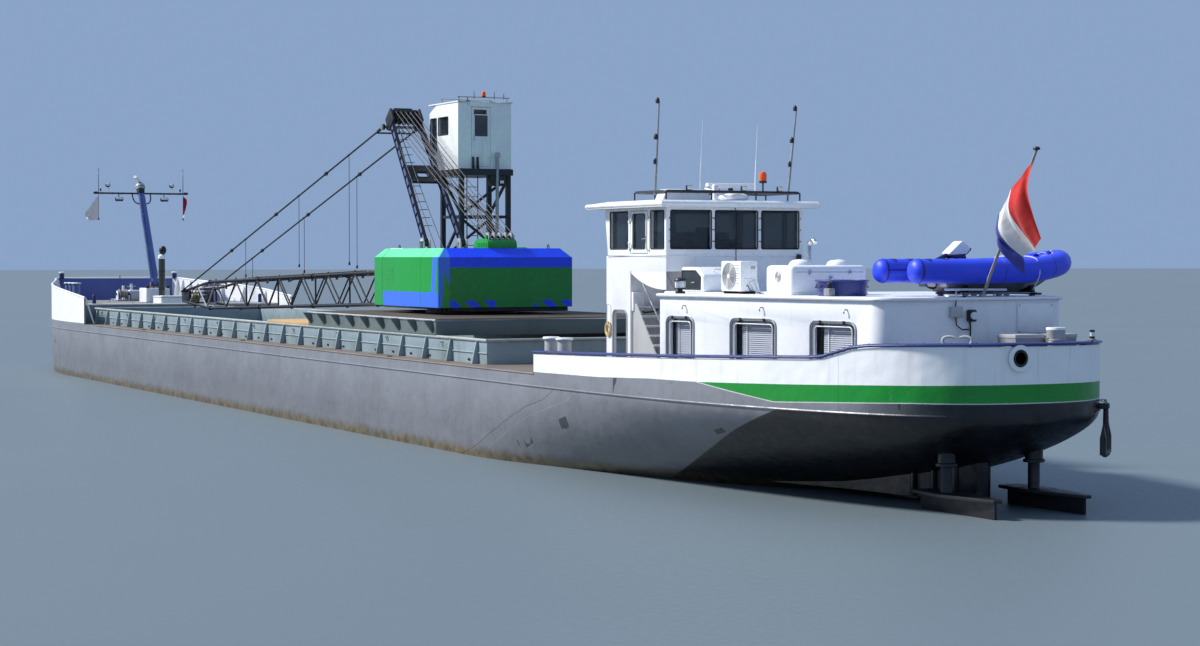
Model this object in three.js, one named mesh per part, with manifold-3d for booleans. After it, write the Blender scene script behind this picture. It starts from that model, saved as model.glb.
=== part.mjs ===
// Self-propelled river barge with a rope-operated lattice crane over its open hold.
//
// Sizes are those of the full-size ship in millimetres, and the whole group is scaled at the end.
// X runs forward, Y to port and Z up. Heights are measured from the waterline, widths from the
// centreline and lengths from a datum behind the stern.

import * as THREE from 'three';
import { mergeVertices } from 'three/addons/utils/BufferGeometryUtils.js';
import Module from 'manifold-3d';

const wasm = await Module();
wasm.setup();

const MODEL_SCALE = 0.5;
const SEAT = 0.6;
const RUNNING = 12;
const PIN_PLAY = 1.035;

// Hull
const STERN_X = 2100;
const BOW_X = 67000;
const HALF_BEAM = 4100;
const DRAUGHT = 1000;
const DECK = 2040;
const KNUCKLE = 1780;
const SHELL = 70;
const HOLD = { x: [20000, 56900], halfWidth: 3220, floor: -560 };
const SHAFT = { x: 5600, z: -400 };

// Hull sections: distance, half-breadth, half-width of the flat bottom, bottom height, fullness
const HULL_SECTIONS = [
  [STERN_X, 250, 40, 1650, 2.0],
  [2140, 650, 60, 1600, 2.0],
  [2280, 1150, 80, 1500, 2.0],
  [2550, 1600, 100, 1350, 2.0],
  [3000, 2050, 100, 1120, 1.9],
  [3800, 2500, 120, 800, 1.8],
  [5000, 2950, 140, 470, 1.6],
  [6600, 3380, 160, 110, 1.5],
  [8600, 3740, 200, -260, 1.5],
  [10800, 3950, 260, -740, 1.6],
  [13200, 4060, 600, -950, 1.9],
  [15500, HALF_BEAM, 1600, -DRAUGHT, 2.4],
  [18500, HALF_BEAM, 3000, -DRAUGHT, 4.5],
  [21500, HALF_BEAM, 3600, -DRAUGHT, 6.0],
  [55500, HALF_BEAM, 3600, -DRAUGHT, 6.0],
  [59500, 4060, 3300, -DRAUGHT, 5.0],
  [62500, 3750, 2500, -900, 3.5],
  [64600, 3200, 1500, -500, 2.8],
  [65800, 2860, 800, 150, 2.4],
  [66500, 2700, 400, 900, 2.2],
  [BOW_X, 2450, 250, 1450, 2.0],
];

// Bulwarks and coaming
const STERN_BULWARK_FORE = 14500;
const STERN_BULWARK_TOP = [
  [STERN_X, 3000], [3000, 2980], [4000, 2930], [4800, 2720], [9000, 2600], [16000, 2450],
];
const BOW_BULWARK_AFT = 55500;
const BOW_BULWARK_TOP = [
  [BOW_BULWARK_AFT, 3060], [59000, 3300], [62500, 3470], [64600, 3570], [66500, 3680], [BOW_X, 3700],
];
const FOREDECK = { aft: 57100, top: 2750 };
const COAMING = { x: [18900, 57000], halfWidth: 3300, thickness: 80, top: 2620 };
const COAMING_STEP = { count: 24, width: 60, reach: 170 };

// Stern house
const DECKHOUSE = {
  aft: 4030, fore: 12880, halfAft: 2070, halfFore: 3200, shoulder: 10300, neck: 1700,
  roof: 3760, wall: 110, cornerRadius: 320,
};
const CORNER_STEPS = 8;
const DECKHOUSE_WINDOWS = { bottom: 2520, top: 3340, spans: [[4710, 5830], [6870, 8090], [9280, 10040]] };
const TRUNK = { x: [12900, 14700], half: 1700, porch: 15800, porchHead: 3450, top: 4580, wall: 90 };
const STAIR = { aft: 13190, y: [920, 1640], steps: 7, rise: 205, run: 190 };
const WHEELHOUSE = {
  aft: 12900, fore: 15800, half: 1700, sill: TRUNK.top + SEAT, head: 5630, wall: 70, rake: 160,
};
const WHEELHOUSE_ROOF = { x: [12600, 16420], half: 1950, thickness: 150 };
const WHEELHOUSE_DOOR = { x: [13790, 14590], z: [4640, 5560], thickness: 60 };

// Crane
const SLEW_X = 27700;
const PLATFORM = { x: [22000, 31700], half: 3340, top: 3020 };
const RING = { radius: 1250, top: 3110 };
const TURNTABLE = { top: 3230, thickness: 110 };
const HOUSE = { x: [25300, 30100], half: 1950, top: 4800, chamfer: 240 };
const BOOM = {
  heelX: 30560, heelZ: 3720, tipX: 55050, tipZ: 3080, chord: 90, lace: 55, sheave: 120,
};
const MAST = {
  footX: 29700, footZ: 4960, headX: 32800, headZ: 8650, footHalf: 560, headHalf: 430, pin: 44, forward: 330,
};
const PENDANT = { half: 560, size: 60, tipX: 54800, tipZ: 3260 };
const HEEL_PIN = 60;
const CAB_DOOR = { y: [-1780, -1180], z: [7160, 8890] };
const CAB = { x: [30500, 32700], y: [-2430, -770], floor: 7100, top: 9050, wall: 60 };
const TOWER = { x: [30500, 31900], y: [-2330, -870], base: 3230 };

// Stern gear under water
const PROPELLER = { x: 4950, z: SHAFT.z, radius: 500, hub: 115, blades: 4 };
const DEADWOOD = {
  z: [140, 1000], ribs: [4100, 4500, 4900],
  half: [[3750, 120], [4300, 420], [5200, 800], [6700, 1110], [8800, 1760], [10500, 2100]],
};
const RUDDER = {
  stockX: 3500, aft: 2000, fore: 4250, bottom: -940, top: 300, y: 960, stock: 110, trunk: 820,
};

// Nav mast
const NAV = {
  footX: 60700, baseTop: 3330, footZ: 3480, length: 4300, lean: 29, crossbar: 1940, whip: 1760, gear: 400,
};
const BOW_HATCH = { x: [57500, 58700], half: 600, top: 3050 };
const ROOF_TOP = DECKHOUSE.roof + 70;
const GEAR_BASE = WHEELHOUSE.head + SEAT + WHEELHOUSE_ROOF.thickness;
const RADAR = { x: 14200, y: -600, z: GEAR_BASE + 260 };

const BOLLARD_STEP = 660;
const STERN_BOLLARD = {
  x: 2750, y: -870, top: 3300, radius: 150, locker: { fore: 3450, y: [-1450, -100], top: 3170 },
};
const DINGHY = { x: 4850, y: -900, z: 4300 };
const STAFF = { foot: [4045, ROOF_TOP + 20], head: [2450, 6440], y: -200, radius: 26 };
const ANCHOR = { x: 2669, y: -1931, z: 1400 };

// Door hinges, drawn round their own axis: the leaf lies towards -X with its outer face at -offset
const DOOR_HINGE = { offset: 20, radius: 15, pin: 9, half: 50, play: 1.5, gap: 6, lug: 20 };
const WHEELHOUSE_HINGE = {
  x: WHEELHOUSE_DOOR.x[1] + RUNNING, y: WHEELHOUSE.half + DOOR_HINGE.offset, heights: [4800, 5400],
};
// The cab door's hinges lie along its starboard edge, and it opens aft
const CAB_HINGE = { x: CAB.x[0] - DOOR_HINGE.offset, y: CAB_DOOR.y[0] + RUNNING / 2, heights: [7500, 8550] };
// The bow hatch's pin lies just ahead of its frame
const HATCH_PIN = { x: BOW_HATCH.x[1] + 50, z: BOW_HATCH.top - 24, radius: 12 };

const COLOURS = {
  white: [0xeef1f2, 0.35, 0],
  grey: [0x8b8e91, 0.6, 0],
  dark: [0x14161c, 0.7, 0],
  steel: [0x23262e, 0.6, 0.3],
  coaming: [0x86918c, 0.6, 0],
  deck: [0x6d6257, 0.8, 0],
  blue: [0x2b3c86, 0.4, 0],
  green: [0x2aa24a, 0.4, 0],
  glass: [0x20262c, 0.05, 0],
  wood: [0xb79b6b, 0.8, 0],
  rubber: [0x2a45c8, 0.6, 0],
  navBlue: [0x5370a6, 0.5, 0],
  bronze: [0xa8874a, 0.35, 0.9],
  black: [0x0f1012, 0.7, 0],
  cloth: [0xd8d8dc, 0.9, 0],
  galvanised: [0x9a9d9f, 0.5, 0.6],
};

function toSolid(geometry) {
  const bare = geometry.index ? geometry.toNonIndexed() : geometry.clone();
  bare.deleteAttribute('normal');
  bare.deleteAttribute('uv');
  const merged = mergeVertices(bare, 0.001);
  return new wasm.Manifold(new wasm.Mesh({
    numProp: 3,
    vertProperties: new Float32Array(merged.attributes.position.array),
    triVerts: new Uint32Array(merged.index.array),
  }));
}

function toGeometry(solid) {
  const mesh = solid.getMesh();
  const geometry = new THREE.BufferGeometry();
  geometry.setAttribute('position', new THREE.BufferAttribute(mesh.vertProperties, 3));
  geometry.setIndex(new THREE.BufferAttribute(mesh.triVerts, 1));
  geometry.computeVertexNormals();
  return geometry;
}

function join(...geometries) {
  return toGeometry(geometries.map(toSolid).reduce((sum, next) => sum.add(next)));
}

function cut(base, ...tools) {
  return toGeometry([base, ...tools].map(toSolid).reduce((rest, tool) => rest.subtract(tool)));
}

function box([x0, x1], [y0, y1], [z0, z1]) {
  const geometry = new THREE.BoxGeometry(x1 - x0, y1 - y0, z1 - z0);
  return geometry.translate((x0 + x1) / 2, (y0 + y1) / 2, (z0 + z1) / 2);
}

function bar(from, to, width, depth = width) {
  const start = new THREE.Vector3(...from);
  const end = new THREE.Vector3(...to);
  const along = end.clone().sub(start);
  const length = along.length();
  along.normalize();
  const up = Math.abs(along.z) > 0.9 ? new THREE.Vector3(1, 0, 0) : new THREE.Vector3(0, 0, 1);
  const side = up.cross(along).normalize();
  const top = along.clone().cross(side);
  const middle = start.add(end).multiplyScalar(0.5);
  const place = new THREE.Matrix4().makeBasis(along, side, top).setPosition(middle);
  return new THREE.BoxGeometry(length, width, depth).applyMatrix4(place);
}

function rod(from, to, radius, sides = 8) {
  const start = new THREE.Vector3(...from);
  const end = new THREE.Vector3(...to);
  const along = end.clone().sub(start);
  const upright = new THREE.Vector3(0, 1, 0);
  const turn = new THREE.Quaternion().setFromUnitVectors(upright, along.clone().normalize());
  const middle = start.add(end).multiplyScalar(0.5);
  const place = new THREE.Matrix4().compose(middle, turn, new THREE.Vector3(1, 1, 1));
  return new THREE.CylinderGeometry(radius, radius, along.length(), sides).applyMatrix4(place);
}

function outlineShape(points) {
  return new THREE.Shape(points.map(([a, b]) => new THREE.Vector2(a, b)));
}

function plateXY(points, [z0, z1]) {
  const geometry = new THREE.ExtrudeGeometry(outlineShape(points), { depth: z1 - z0, bevelEnabled: false });
  return geometry.translate(0, 0, z0);
}

function plateXZ(points, [y0, y1]) {
  const geometry = new THREE.ExtrudeGeometry(outlineShape(points), { depth: y1 - y0, bevelEnabled: false });
  return geometry.rotateX(Math.PI / 2).translate(0, y1, 0);
}

function plateYZ(points, [x0, x1]) {
  const geometry = new THREE.ExtrudeGeometry(outlineShape(points), { depth: x1 - x0, bevelEnabled: false });
  const turn = new THREE.Matrix4().makeBasis(
    new THREE.Vector3(0, 1, 0), new THREE.Vector3(0, 0, 1), new THREE.Vector3(1, 0, 0));
  return geometry.applyMatrix4(turn).translate(x0, 0, 0);
}

// A rounded rectangle as a list of points, with each corner an arc of a few steps
function roundedRectangle([a0, a1], [b0, b1], radius, steps = 3) {
  const corners = [[a1 - radius, b1 - radius, 0], [a0 + radius, b1 - radius, 90],
    [a0 + radius, b0 + radius, 180], [a1 - radius, b0 + radius, 270]];
  const points = [];
  for (const [a, b, start] of corners) {
    for (let step = 0; step <= steps; step += 1) {
      const angle = THREE.MathUtils.degToRad(start + 90 * step / steps);
      points.push([a + radius * Math.cos(angle), b + radius * Math.sin(angle)]);
    }
  }
  return points;
}

// Joins rings of equally many points; a closed loft has no ends, an open one gets flat convex ends
function loft(rings, closed = false) {
  const size = rings[0].length;
  const positions = rings.flat(2);
  const index = [];
  const spans = closed ? rings.length : rings.length - 1;
  for (let ring = 0; ring < spans; ring += 1) {
    const next = (ring + 1) % rings.length;
    for (let point = 0; point < size; point += 1) {
      const after = (point + 1) % size;
      const [a, b] = [ring * size + point, ring * size + after];
      const [c, d] = [next * size + after, next * size + point];
      index.push(a, b, c, a, c, d);
    }
  }
  if (!closed) {
    const last = (rings.length - 1) * size;
    for (let point = 1; point < size - 1; point += 1) {
      index.push(0, point + 1, point);
      index.push(last, last + point, last + point + 1);
    }
  }
  let volume = 0;
  const corner = (which) => new THREE.Vector3(...positions.slice(3 * which, 3 * which + 3));
  for (let i = 0; i < index.length; i += 3) {
    volume += corner(index[i]).dot(corner(index[i + 1]).cross(corner(index[i + 2])));
  }
  if (volume < 0) {
    index.reverse();
  }
  const geometry = new THREE.BufferGeometry();
  geometry.setAttribute('position', new THREE.Float32BufferAttribute(positions, 3));
  geometry.setIndex(index);
  geometry.computeVertexNormals();
  return geometry;
}

// Moves a path sideways to its left by a distance, keeping its corners sharp
function offsetPath(points, distance, closed = false) {
  const count = points.length;
  return points.map(([x, y], i) => {
    const before = points[closed ? (i + count - 1) % count : Math.max(i - 1, 0)];
    const after = points[closed ? (i + 1) % count : Math.min(i + 1, count - 1)];
    const first = new THREE.Vector2(x - before[0], y - before[1]).normalize();
    const second = new THREE.Vector2(after[0] - x, after[1] - y).normalize();
    if (first.length() === 0) {
      first.copy(second);
    }
    if (second.length() === 0) {
      second.copy(first);
    }
    const normal = new THREE.Vector2(-(first.y + second.y), first.x + second.x).normalize();
    const stretch = normal.dot(new THREE.Vector2(-first.y, first.x));
    return [x + normal.x * distance / stretch, y + normal.y * distance / stretch];
  });
}

// A standing wall along a path: its left face is inset by the thickness, and top and bottom may vary
function wall(points, thickness, bottomAt, topAt, closed = false) {
  const inner = offsetPath(points, thickness, closed);
  const rings = points.map(([x, y], i) => {
    const [u, v] = inner[i];
    return [[x, y, bottomAt(x)], [u, v, bottomAt(x)], [u, v, topAt(x)], [x, y, topAt(x)]];
  });
  return loft(rings, closed);
}

function interpolate(table, x) {
  const next = table.findIndex(([position]) => position >= x);
  if (next <= 0) {
    return next === 0 ? table[0][1] : table[table.length - 1][1];
  }
  const [x0, v0] = table[next - 1];
  const [x1, v1] = table[next];
  return v0 + (v1 - v0) * (x - x0) / (x1 - x0);
}

function mirrored(geometry) {
  const copy = geometry.clone().scale(1, -1, 1);
  const order = copy.index ? Array.from(copy.index.array) : [...Array(copy.attributes.position.count).keys()];
  copy.setIndex(order.reverse());
  return copy;
}

const ship = new THREE.Group();

function addMesh(parent, name, geometry, colour) {
  const [color, roughness, metalness] = COLOURS[colour];
  const mesh = new THREE.Mesh(geometry, new THREE.MeshStandardMaterial({ color, roughness, metalness }));
  mesh.name = name;
  parent.add(mesh);
  return mesh;
}

// Hull: each section runs from the port deck edge round the bottom to the starboard deck edge
function hullRing([x, half, flat, bottom, fullness]) {
  const steps = 6;
  const port = [[x, half, DECK]];
  for (let step = 0; step <= steps; step += 1) {
    const angle = Math.PI / 2 * step / steps;
    const y = flat + (half - flat) * Math.cos(angle) ** (2 / fullness);
    const z = KNUCKLE - (KNUCKLE - bottom) * Math.sin(angle) ** (2 / fullness);
    port.push([x, y, z]);
  }
  const starboard = port.map(([, y, z]) => [x, -y, z]).reverse();
  return [...port, ...starboard];
}

// Deadwood: a wedge that fills the space over the propeller, with upright ribs at its narrow end
function deadwood() {
  const { z, ribs, half } = DEADWOOD;
  const starboard = half.map(([x, y]) => [x, -y]);
  const wedge = plateXY([...starboard, ...[...half].reverse()], z);
  const plates = ribs.map((x) => {
    const reach = interpolate(half, x) + 70;
    return box([x, x + 50], [-reach, reach], [z[0] + 40, 820]);
  });
  return [wedge, ...plates];
}

function hull() {
  const body = loft(HULL_SECTIONS.map(hullRing));
  const skeg = plateXZ([
    [SHAFT.x, 500], [SHAFT.x, SHAFT.z - 200], [SHAFT.x + 900, -DRAUGHT], [15500, -DRAUGHT],
    [15500, -500], [8500, 400],
  ], [-170, 170]);
  const bossing = rod([SHAFT.x - 250, 0, SHAFT.z], [SHAFT.x + 1800, 0, SHAFT.z], 190, 12);
  const rudderTrunks = [-1, 1].map((side) => rod(
    [RUDDER.stockX, side * RUDDER.y, RUDDER.trunk], [RUDDER.stockX, side * RUDDER.y, 1500], 170, 12));
  const space = box(HOLD.x, [-HOLD.halfWidth, HOLD.halfWidth], [HOLD.floor, DECK + 500]);
  return cut(join(body, skeg, bossing, ...rudderTrunks, ...deadwood()), space);
}

// The deck edge between two distances, with its ends at exactly those distances
function deckEdge(from, to) {
  const between = HULL_SECTIONS.filter(([x]) => x > from && x < to).map(([x, half]) => [x, half]);
  return [[from, interpolate(HULL_SECTIONS, from)], ...between, [to, interpolate(HULL_SECTIONS, to)]];
}

// Deck edges run with the ship on their left, so that walls along them are inset inwards
function roundTheStern() {
  const starboard = deckEdge(STERN_X, STERN_BULWARK_FORE).map(([x, y]) => [x, -y]);
  return [...deckEdge(STERN_X, STERN_BULWARK_FORE).reverse(), ...starboard];
}

function sternTop(x) {
  return interpolate(STERN_BULWARK_TOP, x);
}

function sternBulwark() {
  return wall(roundTheStern(), SHELL, () => DECK + SEAT, sternTop);
}

function sternRail() {
  return wall(offsetPath(roundTheStern(), -45), 160, (x) => sternTop(x) + SEAT, (x) => sternTop(x) + 75);
}

function roundTheBow(inset = 0) {
  const port = deckEdge(BOW_BULWARK_AFT, BOW_X);
  const starboard = port.map(([x, y]) => [x, -y]);
  return offsetPath([...starboard, ...port.reverse()], inset);
}

function bowBulwark() {
  return wall(roundTheBow(), SHELL, () => DECK + SEAT, (x) => interpolate(BOW_BULWARK_TOP, x));
}

function foredeck() {
  const inner = roundTheBow(SHELL + 1).filter(([x]) => x > FOREDECK.aft);
  const edge = interpolate(HULL_SECTIONS, FOREDECK.aft) - SHELL - 6;
  const outline = [[FOREDECK.aft, -edge], ...inner, [FOREDECK.aft, edge]];
  return plateXY(outline, [DECK + SEAT, FOREDECK.top]);
}

// Coaming: a frame of four walls round the hold, with upright stiffeners outside
function coaming() {
  const [x0, x1] = COAMING.x;
  const half = COAMING.halfWidth;
  const frame = cut(
    box([x0, x1], [-half, half], [DECK + SEAT, COAMING.top]),
    box([x0 + COAMING.thickness, x1 - COAMING.thickness],
      [-HOLD.halfWidth, HOLD.halfWidth], [DECK - 100, COAMING.top + 100]));
  const stiffeners = [];
  for (let i = 0; i < COAMING_STEP.count; i += 1) {
    const x = x0 + 500 + i * (x1 - x0 - 1000) / (COAMING_STEP.count - 1);
    const bracket = [[half - 5, DECK + SEAT], [half + COAMING_STEP.reach, DECK + SEAT],
      [half + 60, COAMING.top - 60], [half - 5, COAMING.top - 60]];
    const port = plateYZ(bracket, [x, x + COAMING_STEP.width]);
    stiffeners.push(port, mirrored(port));
  }
  return join(frame, ...stiffeners);
}

// Deckhouse: straight sides that narrow aft, round aft corners and a narrow neck beside the stair
function deckhouseOutline() {
  const { aft, fore, halfAft, halfFore, shoulder, neck, cornerRadius: radius } = DECKHOUSE;
  const corner = [];
  for (let step = 0; step <= CORNER_STEPS; step += 1) {
    const angle = Math.PI / 2 * step / CORNER_STEPS;
    corner.push([aft + radius - radius * Math.cos(angle), halfAft - radius + radius * Math.sin(angle)]);
  }
  const port = [...corner, [shoulder, halfFore], [shoulder, neck], [fore, neck]];
  const starboard = port.map(([x, y]) => [x, -y]);
  return [...port.reverse(), ...starboard];
}

function deckhouseWalls() {
  const shell = wall(deckhouseOutline(), DECKHOUSE.wall, () => DECK + SEAT, () => DECKHOUSE.roof, true);
  const windows = DECKHOUSE_WINDOWS.spans.map((span) => plateXZ(
    roundedRectangle(span, [DECKHOUSE_WINDOWS.bottom, DECKHOUSE_WINDOWS.top], 110), [-4000, 4000]));
  return cut(shell, ...windows);
}

function deckhouseGlass() {
  const inner = offsetPath(deckhouseOutline(), DECKHOUSE.wall + SEAT, true);
  return wall(inner, 14, () => DECKHOUSE_WINDOWS.bottom - 60, () => DECKHOUSE_WINDOWS.top + 60, true);
}

function deckhouseRoof() {
  const outline = offsetPath(deckhouseOutline(), -35, true).map(([x, y]) => [Math.min(x, DECKHOUSE.fore), y]);
  return plateXY(outline, [DECKHOUSE.roof + SEAT, ROOF_TOP]);
}

// Trunk: the lower body of the wheelhouse, open as a porch in front and with a recess for the stair
function trunk() {
  const { x: [x0, x1], half, porch, porchHead, top, wall: thick } = TRUNK;
  const body = box([x0, porch], [-half, half], [DECK + SEAT, top]);
  const underPorch = box([x1, porch + 100], [-half + thick, half - thick], [DECK - 50, porchHead]);
  const doorway = plateXZ(roundedRectangle([14760, 15470], [DECK + 60, 3390], 150), [-2 * half, 2 * half]);
  const recess = box([x0 - 100, x1 - 100], [STAIR.y[0] - 20, half + 100], [DECK - 50, 4250]);
  const cabin = box([x0 + thick, porch - thick], [-half + thick, STAIR.y[0] - 20 - thick], [3560, top + 100]);
  const cabinFore = box([x1 + thick, porch - thick], [0, half - thick], [3560, top + 100]);
  return cut(body, underPorch, doorway, recess, cabin, cabinFore);
}

function stair() {
  const treads = [];
  const { aft, y, steps, rise, run } = STAIR;
  for (let i = 0; i < steps; i += 1) {
    const z = DECK + rise * (i + 1);
    const x = aft + run * i;
    treads.push(box([x, x + run + 40], y, [z - 40, z]));
  }
  const fore = aft + run * steps + 35;
  const slope = [[aft - 60, DECK + SEAT], [fore, DECK + SEAT], [fore, DECK + rise * steps + 60],
    [fore - 160, DECK + rise * steps + 60]];
  return join(...treads, plateXZ(slope, [y[1] - 20, y[1] + 10]), plateXZ(slope, [y[0] - 10, y[0] + 20]));
}

// Wheelhouse window band: front pillars lean forward at the top
function bandRing(z, inset) {
  const { aft, fore, half, sill, head, rake } = WHEELHOUSE;
  const front = fore - rake / 2 + rake * (z - sill) / (head - sill);
  return [[aft + inset, -half + inset, z], [front - inset, -half + inset, z],
    [front - inset, half - inset, z], [aft + inset, half - inset, z]];
}

function wheelhouseBand() {
  const { sill, head, wall: thick, half } = WHEELHOUSE;
  const outer = loft([bandRing(sill, 0), bandRing(head, 0)]);
  const inner = loft([bandRing(sill - 200, thick), bandRing(head + 200, thick)]);
  const glassZ = [4740, 5560];
  const aftPanes = [[-1590, -650], [-550, 500], [600, 1590]];
  const sidePanes = [[13000, 13620], [14720, 15600]];
  const cuts = [
    ...aftPanes.map((span) => box([12000, 13400], span, glassZ)),
    ...[[-1590, -40], [40, 1590]].map((span) => box([15300, 16400], span, glassZ)),
    ...sidePanes.map((span) => box(span, [half - 300, half + 300], glassZ)),
    ...[[13000, 13620], [13700, 14640], [14720, 15600]].map(
      (span) => box(span, [-half - 300, -half + 300], glassZ)),
    box([WHEELHOUSE_DOOR.x[0] - 2 * RUNNING, WHEELHOUSE_DOOR.x[1] + 2 * RUNNING], [half - 300, half + 300],
      [WHEELHOUSE_DOOR.z[0] - RUNNING, WHEELHOUSE_DOOR.z[1] + RUNNING]),
  ];
  const lugs = WHEELHOUSE_HINGE.heights.flatMap((height) => hingeLugs(height)
    .map((lug) => lug.translate(WHEELHOUSE_HINGE.x, WHEELHOUSE_HINGE.y, 0)));
  return join(cut(outer, inner, ...cuts), ...lugs);
}

function wheelhouseGlass() {
  const { sill, head, wall: thick, half } = WHEELHOUSE;
  const outer = loft([bandRing(sill + 20, thick + SEAT), bandRing(head - 20, thick + SEAT)]);
  const inner = loft([bandRing(sill - 200, thick + 14), bandRing(head + 200, thick + 14)]);
  const doorway = box([WHEELHOUSE_DOOR.x[0] - 60, WHEELHOUSE_DOOR.x[1] + 60], [half - 400, half + 300],
    [sill - 100, head + 100]);
  return cut(outer, inner, doorway);
}

function wheelhouseRoof() {
  const { x: [x0, x1], half, thickness } = WHEELHOUSE_ROOF;
  const z = WHEELHOUSE.head + SEAT;
  const profile = [[x0, z], [x1 - 120, z], [x1, z + 60], [x1 - 60, z + 100], [15200, z + thickness],
    [x0 + 80, z + thickness], [x0, z + 90]];
  return plateXZ(profile, [-half, half]);
}

function hingeKnuckle(z) {
  const { offset, radius, pin, half, gap, lug } = DOOR_HINGE;
  return join(
    rod([0, 0, z - half], [0, 0, z + half], radius, 12),
    rod([0, 0, z - half - gap - lug], [0, 0, z + half + gap + lug], pin, 12),
    box([-70, 0], [-offset - 4, -4], [z - half, z + half]),
  );
}

function hingeLugs(z) {
  const { offset, radius, pin, half, play, gap, lug } = DOOR_HINGE;
  const near = half + gap;
  return [-near - lug, near].map((start) => cut(
    join(
      rod([0, 0, z + start], [0, 0, z + start + lug], radius, 16),
      box([0, 70], [-radius, radius], [z + start, z + start + lug]),
      box([30, 70], [-offset - 10, 0], [z + start, z + start + lug]),
    ),
    rod([0, 0, z + start - 5], [0, 0, z + start + lug + 5], pin + play, 16)));
}

function wheelhouseDoor() {
  const { x, z, thickness } = WHEELHOUSE_DOOR;
  const { half } = WHEELHOUSE;
  const knuckles = WHEELHOUSE_HINGE.heights.map((height) => hingeKnuckle(height)
    .translate(WHEELHOUSE_HINGE.x, WHEELHOUSE_HINGE.y, 0));
  const pane = box([13900, 14480], [half - 200, half + 50], [4740, 5500]);
  const leaf = cut(box(x, [half - thickness, half], z), pane);
  return join(leaf, ...knuckles);
}

// Roof gear on the wheelhouse: a rail on posts, with a pedestal for the radar
function wheelhouseGear() {
  const [x0, x1, half, z] = [12950, 14500, 1650, GEAR_BASE + 150];
  const rails = [
    ...[x0, x1 - 50, RADAR.x - 40].map((x) => box([x, x + 50], [-half, half], [z, z + 50])),
    ...[-half, half - 50].map((y) => box([x0, x1], [y, y + 50], [z, z + 50])),
  ];
  const posts = [x0 + 10, x1 - 40].flatMap((x) => [-half + 10, half - 40].map(
    (y) => box([x, x + 30], [y, y + 30], [GEAR_BASE + SEAT, z + 10])));
  const pedestal = box([RADAR.x - 110, RADAR.x + 110], [RADAR.y - 110, RADAR.y + 110],
    [GEAR_BASE + SEAT, RADAR.z]);
  return join(...rails, ...posts, pedestal);
}

// Bollards: posts with rims in a row on one foot plate, the first post aft of the given distance
function bollardRow(x, y, deck, height, count) {
  const places = Array.from({ length: count }, (_, i) => x + (i - 0.5) * BOLLARD_STEP);
  const posts = places.flatMap((at) => [
    rod([at, y, deck + 10], [at, y, deck + height], 150, 12),
    rod([at, y, deck + height - 60], [at, y, deck + height], 190, 12),
  ]);
  const plate = box([places[0] - 230, places[count - 1] + 230], [y - 200, y + 200], [deck + SEAT, deck + 30]);
  return join(plate, ...posts);
}

// Single tall bollard to starboard on the stern, with a locker in front of it
function sternBollard() {
  const { x, y, top, radius, locker } = STERN_BOLLARD;
  return join(
    rod([x, y, DECK + SEAT], [x, y, top], radius, 16),
    rod([x, y, top - 50], [x, y, top], radius + 20, 16),
    box([x + radius - 20, locker.fore], locker.y, [DECK + SEAT, locker.top]),
  );
}

// Dinghy: a horseshoe tube with a pointed bow, a floor and a transom, lying athwart
function dinghy() {
  const path = new THREE.CatmullRomCurve3([
    new THREE.Vector3(-580, 2000, 0), new THREE.Vector3(-600, 300, 0), new THREE.Vector3(-560, -700, 30),
    new THREE.Vector3(-300, -1380, 130), new THREE.Vector3(0, -1560, 170), new THREE.Vector3(300, -1380, 130),
    new THREE.Vector3(560, -700, 30), new THREE.Vector3(600, 300, 0), new THREE.Vector3(580, 2000, 0),
  ]);
  const section = new THREE.Shape();
  section.absarc(0, 0, 232, 0, 2 * Math.PI);
  const tube = new THREE.ExtrudeGeometry(section, { steps: 18, extrudePath: path, curveSegments: 5 });
  const floor = plateXY([[-560, 1300], [560, 1300], [560, -700], [260, -1320], [-260, -1320], [-560, -700]],
    [-260, -120]);
  const keel = plateXZ([[-500, -240], [0, -400], [500, -240]], [-1150, 1250]);
  const transom = box([-560, 560], [1200, 1250], [-300, 60]);
  return join(tube, floor, keel, transom);
}

// Outboard, tilted up: its cowl leans over the boat, and its leg points aft over the transom
function outboard() {
  return join(
    plateYZ([[600, 290], [930, 270], [985, 320], [700, 560], [650, 560], [500, 440], [500, 400]],
      [-140, 140]),
    plateYZ([[560, 225], [880, 225], [930, 290], [590, 300]], [-120, 120]),
    bar([0, 860, 340], [0, 1620, 10], 120),
    bar([0, 1500, 60], [0, 1560, -90], 40, 200),
    box([-90, 90], [1190, 1262], [60 + SEAT, 170]),
  );
}

// Crane
function lugPlate([x, z], [y0, y1], foot, height, holeRadius) {
  const outline = [[x - foot, z - height], [x + foot, z - height], [x + 110, z + 110], [x - 110, z + 110]];
  const plate = plateXZ(outline, [y0, y1]);
  return cut(plate, rod([x, y0 - 50, z], [x, y1 + 50, z], holeRadius, 16));
}

function turntable() {
  const { top, thickness } = TURNTABLE;
  const bottom = top - thickness;
  const heel = BOOM.heelX - SLEW_X;
  const parts = [
    rod([0, 0, RING.top + SEAT], [0, 0, top], 1150, 24),
    box([-2300, 4400], [-1850, 900], [bottom, top]),
    box([2300, 4400], [-2430, -1800], [bottom, top]),
  ];
  const lugs = [[600, 660], [-660, -600]].map((span) => lugPlate(
    [heel, BOOM.heelZ], span, 230, BOOM.heelZ - top + 20, HEEL_PIN * PIN_PLAY));
  return join(...parts, ...lugs);
}

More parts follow.
